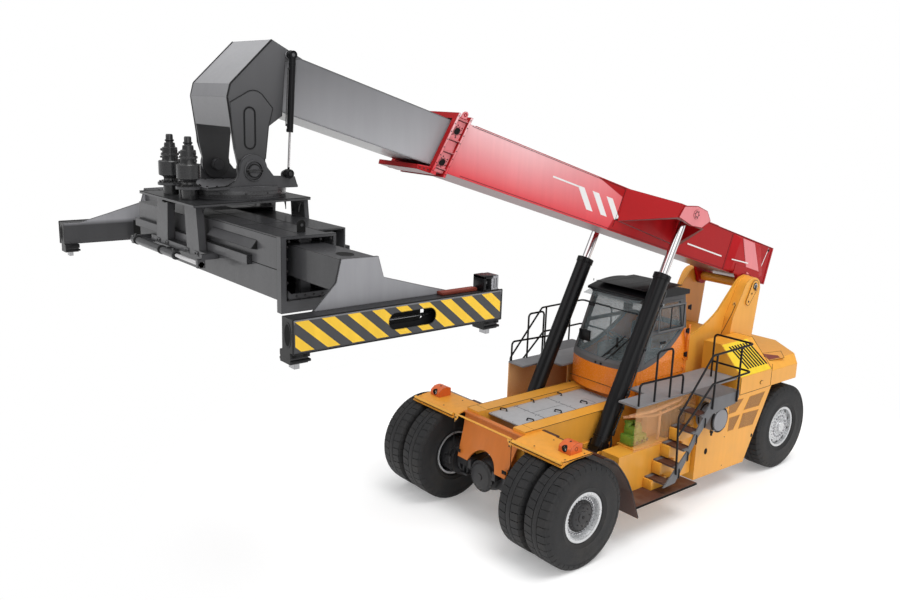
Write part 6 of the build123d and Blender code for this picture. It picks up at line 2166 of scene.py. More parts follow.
class RearBody:
    """Hood louvre, counterweight pocket, side panels, stairs and cleaner details."""

    TREADS = 5
    FIRST_TREAD = 0.814
    TREAD_RISE = 0.2532
    VENTS: tuple[tuple[Pair, ...], ...] = (
        ((4.164, 1.714), (4.589, 1.681), (4.374, 1.469), (4.153, 1.464)),
        ((4.791, 1.676), (5.290, 1.684), (5.130, 1.436), (4.632, 1.450)),
        ((4.194, 1.388), (4.530, 1.385), (4.351, 1.132), (4.183, 1.135)),
        ((4.616, 1.385), (5.144, 1.363), (4.989, 1.097), (4.524, 1.111)),
    )

    def build(self) -> None:
        """Build every piece of trim."""
        for sign, hand in SIDES:
            self.louvre(sign, hand)
            self.side(sign, hand)
            self.pocket(sign, hand)
        self.seams()
        self.stairs()
        self.cleaner()
        self.inside()

    def louvre(self, sign: int, hand: str) -> None:
        """Build the slatted yellow panel on the hood's sloping side.

        Args:
            sign: +1 on the left, -1 on the right.
            hand: The side's name.
        """
        mould = Mould(f"louvre_{hand}", "chassis", YELLOW, SHADOW, AMBER_LIGHT)
        down = Vector((0.480, 0.0, -0.510)).normalized()
        turn = Matrix(((0, down.x, -down.z), (1, 0, 0), (0, down.z, down.x))).to_4x4()
        at = mirrored(sign) @ Matrix.Translation((1.120, 0.0, 2.600)) @ turn
        mould.slab([(4.462, 0.012), (5.260, 0.012), (5.425, 0.690), (4.462, 0.690)], 0.004, 0.001, 0, at)
        # The openings between the slats are thin near-black strips: painted shade.
        for n in range(8):
            y = 4.600 + n * 0.086
            mould.slab(
                [(y, 0.080), (y + 0.050, 0.080), (y + 0.208, 0.575), (y + 0.158, 0.575)], 0.0015, 0.0, 1,
                at @ Matrix.Translation((0, 0, 0.0035)),
            )
        mould.finish_piece()

    def side(self, sign: int, hand: str) -> None:
        """Build the vents, hatch marks and seams of one side panel and the hood's lamp.

        Args:
            sign: +1 on the left, -1 on the right.
            hand: The side's name.
        """
        mould = Mould(f"side_panel_trim_{hand}", "chassis", SCREEN, SHADOW, AMBER, DARK_BOLT)
        at = outward_frame(sign * 1.600, sign)
        for corners in self.VENTS:
            mould.slab(list(corners), 0.002, 0.0, 0, at)
            ring = list(corners) + [corners[0]]
            mould.line(ring, at, 0.0015, 0.004, 2)
        for y, z, wide in ((3.560, 0.900, 0.045), (4.990, 0.880, 0.028)):
            hatch = at @ Matrix.Translation((y, z, 0.0)) @ Matrix.Diagonal((1.0, 1.3, 1.0, 1.0))
            mould.disc(wide, (-0.001, 0.002, 0.002), hatch, 28, 1)
        lamp = at @ Matrix.Translation((5.133, 1.890, 0.0)) @ Matrix.Diagonal((1.6, 1.0, 1.0, 1.0))
        mould.disc(0.030, (-0.001, 0.012, 0.014), lamp, 28, 2)
        mould.hoop((0.030, 0.036), (-0.001, 0.004), lamp, 28, 1)
        for ends in (
            ((4.46, 1.768), (5.44, 1.768)), ((4.455, 1.770), (4.455, 2.080)),
            ((5.452, 1.775), (5.452, 2.190)),
        ):
            mould.line(ends, at, 0.0, 0.004, 1)
        for y in (4.10, 5.40):
            for z in (0.50, 1.05, 1.60):
                if y < 5.0 or z < 0.8:
                    mould.bolt(at @ Matrix.Translation((y, z, 0.0)), 0.009, 0.005, 3)
        mould.finish_piece()

    def pocket(self, sign: int, hand: str) -> None:
        """Build the lifting pocket in one shoulder of the counterweight as flat plates, with painted shade
        for its depth.

        Args:
            sign: +1 on the left, -1 on the right.
            hand: The side's name.
        """
        mould = Mould(f"counterweight_pocket_{hand}", "chassis", AMBER, DEEP_RED, SHADOW)
        at = mirrored(sign) @ Matrix.Translation((0.0, 0.0, 2.1995))
        mould.slab([(1.10, 5.86), (1.22, 6.36), (1.52, 5.98), (1.46, 5.58)], 0.0015, 0.0, 0, at)
        # The shaded red plate inside, the near-black rim line and the slot are painted shade.
        mould.slab([(1.12, 5.86), (1.43, 5.62), (1.47, 5.92), (1.36, 6.02)], 0.0022, 0.0, 1, at)
        ring = [(1.10, 5.86), (1.22, 6.36), (1.52, 5.98), (1.46, 5.58), (1.10, 5.86)]
        mould.line(ring, at, 0.001, 0.004, 2)
        mould.block((0.16, 5.95, -0.001), (0.20, 6.25, 0.002), 0.0, 2, at)
        mould.finish_piece()

    def seams(self) -> None:
        """Build the joint between hood and counterweight and two short dark strips in front of it."""
        mould = Mould("hood_seam", "chassis", SHADOW, DARK_BOLT)
        mould.block((-1.12, 5.446, 2.5985), (1.12, 5.453, 2.6012), 0.0, 0)
        for sign in (-1, 1):
            for (x0, z0), (x1, z1) in (((1.12, 2.600), (1.598, 2.092)), ((1.599, 2.090), (1.599, 1.768))):
                mould.rod((sign * x0, 5.450, z0), (sign * x1, 5.450, z1), 0.0045, 0, 6, 0.0)
            mould.block((sign * 0.45 - 0.10, 5.10, 2.5995), (sign * 0.45 + 0.10, 5.13, 2.6015), 0.0, 0)
        mould.finish_piece()

    def stairs(self) -> None:
        """Build the rubber tread mats, their brackets and the stepped boxes behind them."""
        mould = Mould("stair_trim", "chassis", BROWN, AMBER, DARK_BOLT, STAIR_GREY, SOFT_BLACK)
        for n in range(self.TREADS):
            z = self.FIRST_TREAD + n * self.TREAD_RISE
            y = 2.067 + (z - 0.780) * 0.797
            for sign, _ in SIDES:
                low, high = sorted((sign * 1.60, sign * 1.915))
                mould.block((low, y - 0.112, z - 0.018), (high, y + 0.112, z + 0.004), 0.005, 0)
                if n < 4:
                    near, far = sorted((sign * 1.521, sign * 1.70))
                    mould.block((near, y - 0.150, z - 0.225), (far, y + 0.240, z - 0.022), 0.006, 1)
                for dy in (-0.07, 0.07):
                    mould.bolt(Matrix.Translation((sign * 1.88, y + dy, z + 0.003)), 0.009, 0.005, 2)
        for sign, _ in SIDES:
            low, high = sorted((sign * 1.53, sign * 1.955))
            mould.block((low, 1.245, 0.6205), (high, 2.845, 0.6265), 0.002, 0)
            mould.block(
                (sign * 1.957 - 0.003, 1.245, 0.592), (sign * 1.957 + 0.003, 2.845, 0.630), 0.002, 4,
            )
            mould.block((low, 2.03, 0.626), (high, 2.038, 0.6285), 0.0, 4)
            for y, z in ((2.30, 1.02), (2.50, 1.27), (2.70, 1.52), (2.90, 1.77)):
                mould.pipe(
                    [
                        (sign * 1.958, y, z), (sign * 1.972, y, z - 0.03), (sign * 1.972, y, z - 0.14),
                        (sign * 1.958, y, z - 0.17),
                    ],
                    0.011, 4, 0.02,
                )
        mould.finish_piece()

    def cleaner(self) -> None:
        """Build the cap, clamp band, clips and drain of the air cleaner."""
        mould = Mould("air_cleaner_trim", "chassis", CANISTER, SOFT_BLACK, MACHINED)
        at = Matrix.Translation((0.0, 3.384, 1.626)) @ Matrix.Rotation(math.pi / 2, 4, "Y")
        mould.turned(
            [(0.0, 1.930), (0.188, 1.930), (0.196, 1.936), (0.190, 1.946), (0.150, 1.950), (0.0, 1.952)],
            at, 64, 0,
        )
        mould.hoop((0.206, 0.2225), (1.900, 1.934), at, 64, 1)
        mould.hoop((0.214, 0.2225), (1.640, 1.670), at, 64, 1)
        for n in range(4):
            turn = at @ Matrix.Rotation(math.tau * (n + 0.5) / 4, 4, "Z")
            mould.block((0.214, -0.018, 1.875), (0.232, 0.018, 1.940), 0.004, 2, turn)
        mould.rod((1.78, 3.40, 1.42), (1.78, 3.40, 1.335), 0.030, 1, 24)
        mould.rod((1.78, 3.40, 1.34), (1.78, 3.40, 1.290), 0.018, 1, 20)
        mould.finish_piece()

    def inside(self) -> None:
        """Build the gear pump, tubes and cylinders seen through the half-clear left cover."""
        mould = Mould("left_bay_works", "chassis", GREEN, PEACH, BROWN, DARK_BOLT, AMBER)
        mould.block((1.14, 1.74, 1.335), (1.40, 2.12, 1.50), 0.02, 0)
        mould.block((1.16, 1.80, 1.50), (1.36, 2.04, 1.64), 0.02, 0)
        for x, y, r, h in ((1.22, 1.84, 0.055, 1.72), (1.32, 1.95, 0.045, 1.70), (1.18, 2.02, 0.040, 1.68)):
            mould.turned(
                [
                    (0.0, 1.60), (r, 1.60), (r, h - 0.03), (r * 1.25, h - 0.03), (r * 1.25, h - 0.01),
                    (r * 0.7, h), (0.0, h),
                ],
                Matrix.Translation((x, y, 0.0)), 32, 0,
            )
        for y in (1.80, 1.93, 2.06):
            mould.rod((1.395, y, 1.42), (1.455, y, 1.42), 0.036, 0, 24)
            mould.bolt(side_frame(1.455) @ Matrix.Translation((y, 1.42, 0.0)), 0.022, 0.014, 3)
        mould.pipe(
            [(1.34, 1.70, 1.86), (1.46, 2.16, 1.90), (1.46, 2.86, 1.96), (1.30, 3.18, 1.98)], 0.030, 1,
            0.10, 14,
        )
        mould.pipe(
            [(1.20, 1.72, 1.80), (1.46, 2.24, 1.80), (1.46, 2.90, 1.86), (1.34, 3.18, 1.90)], 0.022, 1,
            0.08, 14,
        )
        mould.pipe([(1.46, 2.34, 1.86), (1.46, 2.34, 1.50), (1.40, 2.40, 1.34)], 0.026, 1, 0.06, 14)
        for y, r in ((2.62, 0.085), (2.84, 0.085), (3.04, 0.080)):
            mould.turned(
                [(0.0, 1.33), (r, 1.33), (r, 1.74), (r * 0.85, 1.78), (r * 0.4, 1.80), (0.0, 1.80)],
                Matrix.Translation((1.37, y, 0.0)), 36, 2,
            )
            mould.hoop((r, r + 0.008), (1.45, 1.47), Matrix.Translation((1.37, y, 0.0)), 36, 3)
        mould.block((1.10, 1.72, 1.302), (1.49, 3.20, 1.325), 0.004, 4)
        mould.block((1.12, 2.30, 1.33), (1.24, 3.18, 1.72), 0.02, 1)
        mould.finish_piece()


# ---------------------------------------------------------------- cab
class Cab:
    """Roof, visor, wipers, door window, controls and padded seat of the cab."""

    def build(self) -> None:
        """Build every piece of trim."""
        self.roof()
        self.skirt()
        self.wipers()
        self.door()
        self.controls()
        self.seat()

    def roof(self) -> None:
        """Build the crowned roof skin, drip edge, posts, visor and mirror."""
        mould = Mould("cab_roof_trim", "chassis", BLACK, DARK_BOLT, LINING)
        mould.block((-0.56, 2.84, 3.660), (0.56, 3.90, 3.668), 0.006, 0)
        for x in (-0.40, 0.0, 0.40):
            mould.block((x - 0.012, 2.86, 3.660), (x + 0.012, 3.88, 3.6695), 0.004, 0)
        for x, y in ((-0.62, 2.84), (0.62, 2.84)):
            mould.rod((x, y, 3.65), (x, y, 3.690), 0.008, 1, 12)
        mould.pipe(
            [(-0.62, 2.76, 3.545), (-0.50, 2.70, 3.515), (0.50, 2.70, 3.515), (0.62, 2.76, 3.545)], 0.014,
            0, 0.05,
        )
        for n in range(5):
            x = -0.44 + n * 0.22
            mould.block((x - 0.09, 2.712, 3.488), (x + 0.09, 2.736, 3.512), 0.005, 0)
        mould.rod((-0.66, 2.62, 3.300), (0.66, 2.62, 3.300), 0.010, 0, 12)
        mould.block((-0.50, 2.60, 3.245), (-0.36, 2.63, 3.315), 0.010, 0)
        mould.finish_piece()
        visor = Mould("cab_visor", "chassis", GLASS)
        at = side_frame(-0.60)
        visor.slab([(2.742, 3.530), (2.560, 3.470), (2.563, 3.462), (2.745, 3.521)], 1.20, 0.001, 0, at)
        visor.finish_piece()

    def skirt(self) -> None:
        """Build the cab skirt's seams, step lip and hinge strip."""
        mould = Mould("cab_skirt_trim", "chassis", SHADOW, ORANGE, DARK_BOLT, BLACK)
        mould.block((-0.60, 2.344, 1.962), (0.60, 2.354, 1.968), 0.0, 0)
        for sign in (-1, 1):
            mould.block((sign * 0.60 - 0.02, 2.345, 1.80), (sign * 0.60 + 0.02, 2.352, 1.83), 0.002, 2)
        for y in (3.910, 3.945):
            mould.block((0.735, y - 0.010, 2.30), (0.779, y + 0.010, 2.98), 0.003, 1)
        for z in (2.42, 2.86, 3.30):
            mould.rod((0.772, 3.905, z - 0.05), (0.772, 3.905, z + 0.05), 0.015, 3, 16)
            mould.block((0.742, 3.86, z - 0.035), (0.776, 3.905, z + 0.035), 0.004, 3)
        mould.finish_piece()

    def wipers(self) -> None:
        """Build two long wipers resting on the windscreen."""
        mould = Mould("cab_wipers", "chassis", BLACK, SOFT_BLACK)
        for x in (-0.02, 0.10):
            base = (x, 2.360, 2.330)
            tip = (x + 0.46, 2.470, 2.830)
            mould.rod(base, tip, 0.009, 0, 10)
            mould.rod((x, 2.380, 2.330), (x, 2.340, 2.330), 0.022, 0, 16)
            mould.rod((x + 0.20, 2.405, 2.520), (x + 0.50, 2.500, 2.900), 0.012, 1, 10)
        mould.finish_piece()

    def door(self) -> None:
        """Build the sliding pane's frame, handle and hinges on the door."""
        mould = Mould("cab_door_trim", "cab_door", TRIM_GREY, BLACK, MACHINED)
        at = side_frame(0.734)
        rings = []
        for y0, y1, z0, z1 in ((3.060, 3.800, 2.930, 3.395), (3.085, 3.775, 2.955, 3.370)):
            rings.append([(y0, z0), (y1, z0), (y1, z1), (y0, z1)])
        mould.frame_slab(rings[0], rings[1], 0.014, 0, at)
        inner = [(3.103, 2.973), (3.757, 2.973), (3.757, 3.352), (3.103, 3.352)]
        mould.frame_slab(rings[1], inner, 0.008, 1, at)
        mould.slab([(3.390, 2.955), (3.416, 2.955), (3.416, 3.370), (3.390, 3.370)], 0.012, 0.002, 1, at)
        mould.block((0.764, 3.10, 2.72), (0.7752, 3.26, 2.77), 0.002, 1)
        mould.block((0.764, 3.12, 2.66), (0.7752, 3.16, 2.70), 0.002, 2)
        mould.finish_piece()

    def controls(self) -> None:
        """Build the steering column and wheel, consoles, pedals and display."""
        mould = Mould("cab_controls", "chassis", LINING, BLACK, MACHINED, SOFT_BLACK)
        mould.block((-0.16, 2.520, 2.300), (0.16, 2.640, 2.640), 0.03, 0)
        mould.rod((0.0, 2.62, 2.46), (0.0, 2.815, 2.72), 0.034, 1, 20)
        wheel = Matrix.Translation((0.0, 2.83, 2.735)) @ Matrix.Rotation(math.radians(-36), 4, "X")
        hoop = [
            (0.185 + 0.014 * math.cos(math.tau * n / 10), 0.014 * math.sin(math.tau * n / 10))
            for n in range(10)
        ]
        mould.turned(hoop + hoop[:1], wheel, 48, 3)
        for n in range(3):
            spoke = wheel @ Matrix.Rotation(math.tau * n / 3 + 0.4, 4, "Z")
            mould.block((0.02, -0.014, -0.006), (0.180, 0.014, 0.006), 0.004, 1, spoke)
        mould.disc(0.048, (-0.02, 0.010, 0.016), wheel, 32, 1)
        for sign in (-1, 1):
            low, high = sorted((sign * 0.33, sign * 0.52))
            mould.block((low, 3.05, 1.84), (high, 3.62, 2.50), 0.03, 0)
            mould.rod((sign * 0.42, 3.14, 2.50), (sign * 0.42, 3.11, 2.62), 0.012, 2, 12)
            mould.rod((sign * 0.42, 3.112, 2.61), (sign * 0.42, 3.10, 2.67), 0.026, 3, 20)
        mould.block((0.30, 2.48, 2.66), (0.34, 2.50, 2.84), 0.01, 1)
        mould.block((-0.56, 2.46, 2.62), (-0.30, 2.50, 2.82), 0.012, 1)
        for x in (-0.18, 0.18):
            mould.block((x - 0.05, 2.66, 2.30), (x + 0.05, 2.70, 2.42), 0.008, 3)
        mould.finish_piece()

    def pad(self, name: str, size: Point, at: Matrix, crown: float) -> None:
        """Build one crowned, rounded cushion with a stitched seam.

        Args:
            name: Name of the piece.
            size: Width, depth and thickness.
            at: Frame of its middle, z through its thickness.
            crown: How far its middle rises above its edge.
        """
        mould = Mould(name, "chassis", SEAT_CLOTH, SOFT_BLACK)
        mark = set(mould.mesh.faces)
        bmesh.ops.create_cube(mould.mesh, size=1.0, matrix=Matrix.Diagonal((*size, 1.0)))
        bmesh.ops.subdivide_edges(mould.mesh, edges=list(mould.mesh.edges), cuts=9, use_grid_fill=True)
        half = Vector(size) / 2
        for vert in mould.mesh.verts:
            u, v, w = (vert.co[n] / half[n] for n in range(3))
            bulge = (1 - u * u) * (1 - v * v)
            round_off = 1.0 - 0.10 * (abs(w) ** 4)
            edge = 1.0 - 0.06 * abs(u) ** 8 * abs(v) ** 2
            vert.co.x *= round_off * edge
            vert.co.y *= round_off * edge
            vert.co.z *= 1.0 - 0.30 * max(abs(u), abs(v)) ** 6
            vert.co.z += crown * bulge * (1 if w > 0 else -0.2) * abs(w)
        bmesh.ops.transform(mould.mesh, matrix=at, verts=mould.mesh.verts)
        mould.seal(mould.own(mould.since(mark), 0))
        rim = []
        for n in range(41):
            a = math.tau * n / 40
            c, s = math.cos(a), math.sin(a)
            reach = 1.0 / max(abs(c), abs(s)) * (1.0 - 0.12 * abs(math.sin(2 * a)) ** 4)
            rim.append(at @ Vector((half.x * 0.965 * c * reach, half.y * 0.965 * s * reach, 0.0)))
        mould.chain(rim, 0.005, 1, 6, 0.0)
        mould.finish_piece(60.0, ["cab_seat"])

    def seat(self) -> None:
        """Build the driver's seat: base, cushion, back, head rest and arm rests."""
        mould = Mould("seat_base", "chassis", BLACK, LINING, MACHINED)
        mould.block((-0.150, 3.150, 1.846), (0.150, 3.450, 1.900), 0.012, 0)
        for n in range(5):
            z = 1.900 + n * 0.050
            mould.block(
                (-0.130 + 0.008 * (n % 2), 3.165, z), (0.130 - 0.008 * (n % 2), 3.435, z + 0.046), 0.014, 1,
            )
        mould.block((-0.200, 3.040, 2.150), (0.200, 3.520, 2.182), 0.010, 0)
        for x in (-0.205, 0.205):
            mould.rod((x, 3.500, 2.17), (x, 3.560, 2.30), 0.022, 0, 16)
            mould.block((x - 0.018, 3.20, 2.420), (x + 0.018, 3.50, 2.445), 0.008, 1)
        mould.rod((-0.05, 3.560, 2.98), (-0.05, 3.560, 2.90), 0.008, 2, 12)
        mould.finish_piece(32.0, ["cab_seat"])
        self.pad("seat_cushion", (0.500, 0.500, 0.125), Matrix.Translation((0.0, 3.285, 2.250)), 0.022)
        back = Matrix.Translation((0.0, 3.553, 2.600)) @ Matrix.Rotation(math.pi / 2, 4, "X")
        self.pad("seat_back", (0.460, 0.600, 0.110), back, 0.020)
        self.pad(
            "seat_head_rest", (0.260, 0.120, 0.090),
            Matrix.Translation((0.0, 3.553, 2.925)) @ Matrix.Rotation(math.pi / 2, 4, "X"), 0.010,
        )


# ---------------------------------------------------------------- cylinders
@dataclass(frozen=True)
class BarrelSize:
    """Where a lift barrel starts, how it leans and how thick it is, in metres."""

    start: Point = (0.875, 1.458, 1.079)
    lean: Pair = (0.4334, 0.9012)
    radius: float = 0.140
    length: float = 3.260


class Cylinders:
    """Pipes, clamps, glands and port blocks of the lift and damper cylinders."""

    LIFT = BarrelSize()

    def build(self) -> None:
        """Build both sides."""
        for sign, hand in SIDES:
            self.lift(sign, hand)
            self.damper(sign, hand)

    def lift(self, sign: int, hand: str) -> None:
        """Dress one lift barrel with its feed pipe, valve block and gland.

        Args:
            sign: +1 on the left, -1 on the right.
            hand: The side's name.
        """
        size = self.LIFT
        back, up = size.lean
        turn = Matrix(((1, 0, 0), (0, -up, back), (0, back, up))).to_4x4()
        at = mirrored(sign) @ Matrix.Translation(size.start) @ turn
        mould = Mould(
            f"lift_barrel_trim_{hand}", f"lift_barrel_{hand}", BLACK, MOTOR_GREY, DARK_BOLT, SOFT_BLACK,
        )
        mould.turned(
            [
                (0.139, 3.170), (0.1515, 3.170), (0.1530, 3.176), (0.1530, 3.182), (0.1515, 3.186),
                (0.139, 3.186),
            ],
            at, 64, 0,
        )
        mould.turned(
            [(0.080, 3.258), (0.120, 3.258), (0.118, 3.268), (0.084, 3.270), (0.080, 3.268)], at, 64, 1,
        )
        mould.bolt_ring(at @ Matrix.Translation((0, 0, 3.2595)), 0.134, 16, 0.009, 0.006, 2)
        mould.turned([(0.139, 0.300), (0.1475, 0.304), (0.1475, 0.340), (0.139, 0.344)], at, 64, 0)
        for spread, reach, low, high in ((0.62, 0.166, 0.46, 3.05), (0.86, 0.160, 0.46, 1.20)):
            x, y = math.sin(spread), -math.cos(spread)
            path = [
                (x * 0.130, y * 0.130, low), (x * reach, y * reach, low + 0.06),
                (x * reach, y * reach, high - 0.06), (x * 0.130, y * 0.130, high),
            ]
            mould.pipe([at @ Vector(p) for p in path], 0.016, 1, 0.04, 12)
            for level in (0.9, 1.15, 1.95, 2.75):
                if level < high:
                    clamp = at @ Matrix.Translation(
                        (x * reach, y * reach, level),
                    ) @ Matrix.Rotation(spread, 4, "Z")
                    mould.block((-0.030, -0.020, -0.022), (0.030, 0.034, 0.022), 0.006, 0, clamp)
        for level in (0.46, 1.165):
            block = at @ Matrix.Rotation(0.62, 4, "Z") @ Matrix.Translation((0.0, -0.150, level))
            mould.block((-0.045, -0.030, -0.050), (0.045, 0.030, 0.050), 0.008, 0, block)
        for x in (-0.120, 0.120):
            mould.block((x - 0.02, -0.10, 0.10), (x + 0.02, 0.10, 0.26), 0.012, 0, at)
        mould.pipe(
            [
                at @ Vector(p)
                for p in (
                    (0.05, -0.15, 0.42), (0.12, -0.17, 0.25), (0.10, -0.16, 0.08), (0.02, -0.13, 0.02),
                )
            ],
            0.018, 3, 0.06, 12,
        )
        mould.pipe(
            [
                at @ Vector(p)
                for p in (
                    (-0.02, -0.15, 0.44), (0.02, -0.185, 0.28), (-0.04, -0.16, 0.10), (-0.08, -0.10, 0.04),
                )
            ],
            0.016, 3, 0.06, 12,
        )
        pin = mirrored(sign) @ Matrix.Translation(
            (size.start[0] + 0.152, size.start[1], size.start[2]),
        ) @ Matrix.Rotation(math.pi / 2, 4, "Y")
        mould.disc(0.070, (-0.02, 0.0, 0.002), pin, 40, 1)
        mould.bolt_ring(pin, 0.050, 4, 0.010, 0.008, 2)
        mould.finish_piece()

    def damper(self, sign: int, hand: str) -> None:
        """Dress one tilt damper with its clevis, gland and ports.

        Args:
            sign: +1 on the left, -1 on the right.
            hand: The side's name.
        """
        mould = Mould(f"damper_barrel_trim_{hand}", f"damper_barrel_{hand}", BLACK, DARK_BOLT, MOTOR_GREY)
        start, end = (sign * 0.600, -4.030, 7.250), (sign * 0.600, -4.078, 6.372)
        at = aim(start, end)
        mould.turned([(0.036, 0.842), (0.0405, 0.844), (0.0405, 0.874), (0.036, 0.876)], at, 32, 0)
        mould.turned([(0.034, 0.090), (0.0405, 0.092), (0.0405, 0.120), (0.034, 0.122)], at, 32, 0)
        for level in (0.16, 0.80):
            mould.rod(at @ Vector((0.0, 0.030, level)), at @ Vector((0.0, 0.056, level)), 0.012, 1, 12)
        mould.pipe(
            [
                at @ Vector(p)
                for p in ((0.0, 0.050, 0.16), (0.0, 0.054, 0.20), (0.0, 0.054, 0.76), (0.0, 0.050, 0.80))
            ],
            0.007, 2, 0.01,
        )
        mould.finish_piece()
        eye = Mould(f"damper_eye_trim_{hand}", f"damper_rod_{hand}", BLACK, DARK_BOLT)
        middle = (sign * 0.582, -4.0875, 5.8875)
        eye.rod((sign * 0.541, *middle[1:]), (sign * 0.624, *middle[1:]), 0.0545, 0, 32)
        eye.rod((sign * 0.623, *middle[1:]), (sign * 0.634, *middle[1:]), 0.024, 1, 20)
        eye.finish_piece()


ASSEMBLIES: tuple[type, ...] = (
    Wheels, OuterBoom, BoomHead, Rotator, Table, SpreaderBox, TelescopicEnds, FrontEnd, Towers, RearBody,
    Cab, Cylinders,
)


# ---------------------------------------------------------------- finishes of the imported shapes
class Dressing:
    """Finishes for the CAD nodes that stay visible."""

    FINISHES: dict[str, Finish] = {
        "outer_boom": BOOM_SIDES,
        "inner_boom": INNER_GREY,
        "boom_head": HEAD_GREY,
        "boom_towers": AMBER_LIGHT,
        "chassis_frame": AMBER,
        "front_plate": DARK_AMBER,
        "headlamps": LAMP_RED,
        "mudguards": GUARD,
        "deck_plates": DECK,
        "counterweight": AMBER,
        "engine_hood": AMBER,
        "engine_block": DARK_STEEL,
        "side_panels": AMBER,
        "side_covers": GHOST,
        "side_tanks": AMBER,
        "walkways": WALK_GREY,
        "stairs": STAIR_GREY,
        "handrails": BLACK,
        "air_cleaner": CANISTER,
        "cab_body": ORANGE,
        "cab_frame": LINING,
        "cab_roof": BLACK,
        "cab_door": ORANGE,
        "cab_door_frame": LINING,
        "cab_glass": GLASS,
        "door_glass": GLASS,
        "front_axle": DARK_STEEL,
        "rear_axle": DARK_STEEL,
        "head_yoke": YOKE_GREY,
        "table_frame": TABLE_GREY,
        "spreader_box": STEEL_GREY,
    }
    SIDED: dict[str, Finish] = {
        "front_rims": FRONT_RIM,
        "rear_wheel": REAR_RIM,
        "rear_knuckle": DARK_STEEL,
        "lift_barrel": BLACK,
        "lift_rod": CHROME,
        "damper_barrel": BLACK,
        "damper_rod": DAMPER_ROD,
        "telescopic_beam": BEAM_GREY,
        "end_beam": END_BEAM,
        "twistlock_front": MACHINED,
        "twistlock_rear": MACHINED,
    }

    def dress(self) -> None:
        """Give every CAD node its finish."""
        chosen = dict(self.FINISHES)
        for stem, finish in self.SIDED.items():
            for _, side in SIDES:
                chosen[f"{stem}_{side}"] = finish
        for node, finish in chosen.items():
            for piece in node_objects(node):
                for index in range(max(1, len(piece.material_slots))):
                    if index < len(piece.material_slots):
                        piece.material_slots[index].material = finish.material()
                    else:
                        piece.data.materials.append(finish.material())
        log.info("finishes on %d CAD nodes", len(chosen))


def node_objects(node: str) -> list[bpy.types.Object]:
    """Return the mesh objects that carry a CAD node."""
    return [
        piece
        for piece in bpy.data.objects if piece.type == "MESH" and (
            piece.name == node or piece.name.startswith(node + ".")
        )
    ]


# ---------------------------------------------------------------- view
@dataclass(frozen=True)
class View:
    """The camera."""

    place: Point = (9.95, -9.96, 6.827)
    yaw: float = 50.49
    pitch: float = 12.9
    roll: float = 1.87
    lens: float = 35.33

    def build(self) -> None:
        """Make the camera and look through it."""
        yaw, pitch, roll = (math.radians(angle) for angle in (self.yaw, self.pitch, self.roll))
        forward = Vector(
            (-math.sin(yaw) * math.cos(pitch), math.cos(yaw) * math.cos(pitch), -math.sin(pitch)),
        )
        level = Vector((math.cos(yaw), math.sin(yaw), 0.0))
        above = level.cross(forward)
        right = level * math.cos(roll) + above * math.sin(roll)
        up = above * math.cos(roll) - level * math.sin(roll)
        lens = bpy.data.cameras.new("view")
        lens.sensor_width = 36.0
        lens.lens = self.lens
        lens.clip_end = 300.0
        holder = bpy.data.objects.new("view", lens)
        turn = Matrix((right, up, -forward)).transposed().to_4x4()
        holder.matrix_world = Matrix.Translation(Vector(self.place)) @ turn
        bpy.context.scene.collection.objects.link(holder)
        bpy.context.scene.camera = holder


@dataclass(frozen=True)
class Lamp:
    """One very soft, even light from far away."""

    name: str
    source: Point
    spread: float
    power: float
    colour: Colour = (1.0, 1.0, 1.0)

    def build(self) -> None:
        """Make the light and aim it from its side at the machine."""
        light = bpy.data.lights.new(self.name, "SUN")
        light.angle = math.radians(self.spread)
        light.energy = self.power
        light.color = self.colour
        holder = bpy.data.objects.new(self.name, light)
        holder.matrix_world = (-Vector(self.source)).to_track_quat("-Z", "Y").to_matrix().to_4x4()
        bpy.context.scene.collection.objects.link(holder)


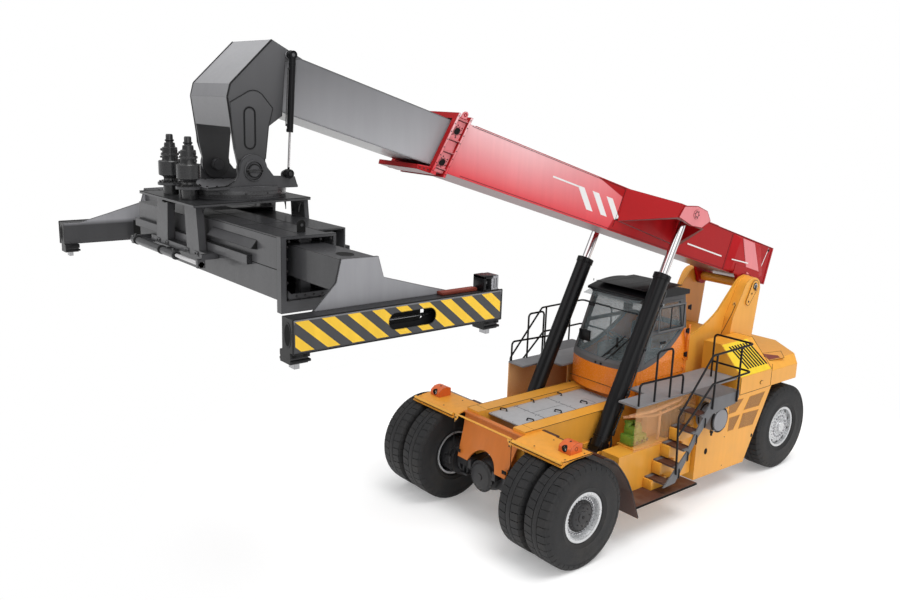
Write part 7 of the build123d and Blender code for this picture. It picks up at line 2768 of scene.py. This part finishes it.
class Studio:
    """The pale floor, the sky and the lights."""

    LAMPS = (
        Lamp("key", (0.50, 0.05, 1.6), 34.0, 1.5),
        Lamp("front", (-0.35, -1.0, 0.85), 60.0, 0.75),
        Lamp("side", (1.0, -0.25, 0.45), 50.0, 0.70),
    )

    def build(self) -> None:
        """Make the floor, the world and the lights."""
        self._floor()
        self._sky()
        for lamp in self.LAMPS:
            lamp.build()

    def _floor(self) -> None:
        """Make a wide pale floor that keeps the machine's shadow and turns white further off."""
        mesh = bmesh.new()
        bmesh.ops.create_grid(mesh, x_segments=1, y_segments=1, size=90.0)
        made = bpy.data.meshes.new("floor")
        mesh.to_mesh(made)
        mesh.free()
        material = bpy.data.materials.new("floor_paper")
        material.use_nodes = True
        g = Graph(material.node_tree)
        where = g.add("TexCoord").outputs["Object"]
        away = g.add("VectorMath", {"operation": "DISTANCE"}, i0=where, i1=(0.0, 2.3, 0.0)).outputs["Value"]
        path = g.add("LightPath").outputs
        seen = g.math(
            "MINIMUM",
            g.math(
                "ADD", g.math("ADD", path["Is Camera Ray"], path["Is Glossy Ray"]),
                path["Is Transmission Ray"],
            ),
            1.0,
        )
        near = g.add(
            "BsdfPrincipled", None, Base_Color=(0.84, 0.84, 0.84), Roughness=0.9, Specular_IOR_Level=0.0,
        )
        lift = g.add("Emission", None, Color=(1.0, 1.0, 1.0), Strength=g.math("MULTIPLY", seen, 0.22))
        lifted = g.add("AddShader", None, i0=near.outputs[0], i1=lift.outputs[0])
        white = g.add("Emission", None, Color=(1.0, 1.0, 1.0), Strength=1.0)
        share = g.math("MULTIPLY", g.span(away, 5.6, 8.5), seen)
        both = g.add("MixShader", None, i0=share, i1=lifted.outputs[0], i2=white.outputs[0])
        g.add("OutputMaterial", None, Surface=both.outputs[0])
        made.materials.append(material)
        floor = bpy.data.objects.new("floor", made)
        bpy.context.scene.collection.objects.link(floor)

    def _sky(self) -> None:
        """Make a soft sky that looks white to the camera."""
        world = bpy.data.worlds.new("sky")
        world.use_nodes = True
        g = Graph(world.node_tree)
        path = g.add("LightPath").outputs
        seen = g.math("MINIMUM", g.math("ADD", path["Is Camera Ray"], path["Is Transmission Ray"]), 1.0)
        height = g.add("SeparateXYZ", None, Vector=g.add("TexCoord").outputs["Generated"]).outputs[2]
        dome = g.span(height, -0.1, 0.9, 0.22, 0.62)
        strength = g.math("ADD", g.math("MULTIPLY", dome, g.math("SUBTRACT", 1.0, seen)), seen)
        back = g.add("Background", None, Color=(1.0, 1.0, 1.0), Strength=strength)
        g.add("OutputWorld", None, Surface=back.outputs[0])
        bpy.context.scene.world = world


def main() -> None:
    """Build the scene piece by piece."""
    logging.basicConfig(level=logging.INFO, format="%(name)s: %(message)s")
    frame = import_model()
    log.info("loaded %d nodes", len(frame["nodes"]))
    bpy.context.scene.view_settings.view_transform = "Standard"
    View().build()
    Studio().build()
    Dressing().dress()
    for assembly in ASSEMBLIES:
        log.info("building %s", assembly.__name__)
        assembly().build()


if __name__ == "__main__":
    main()
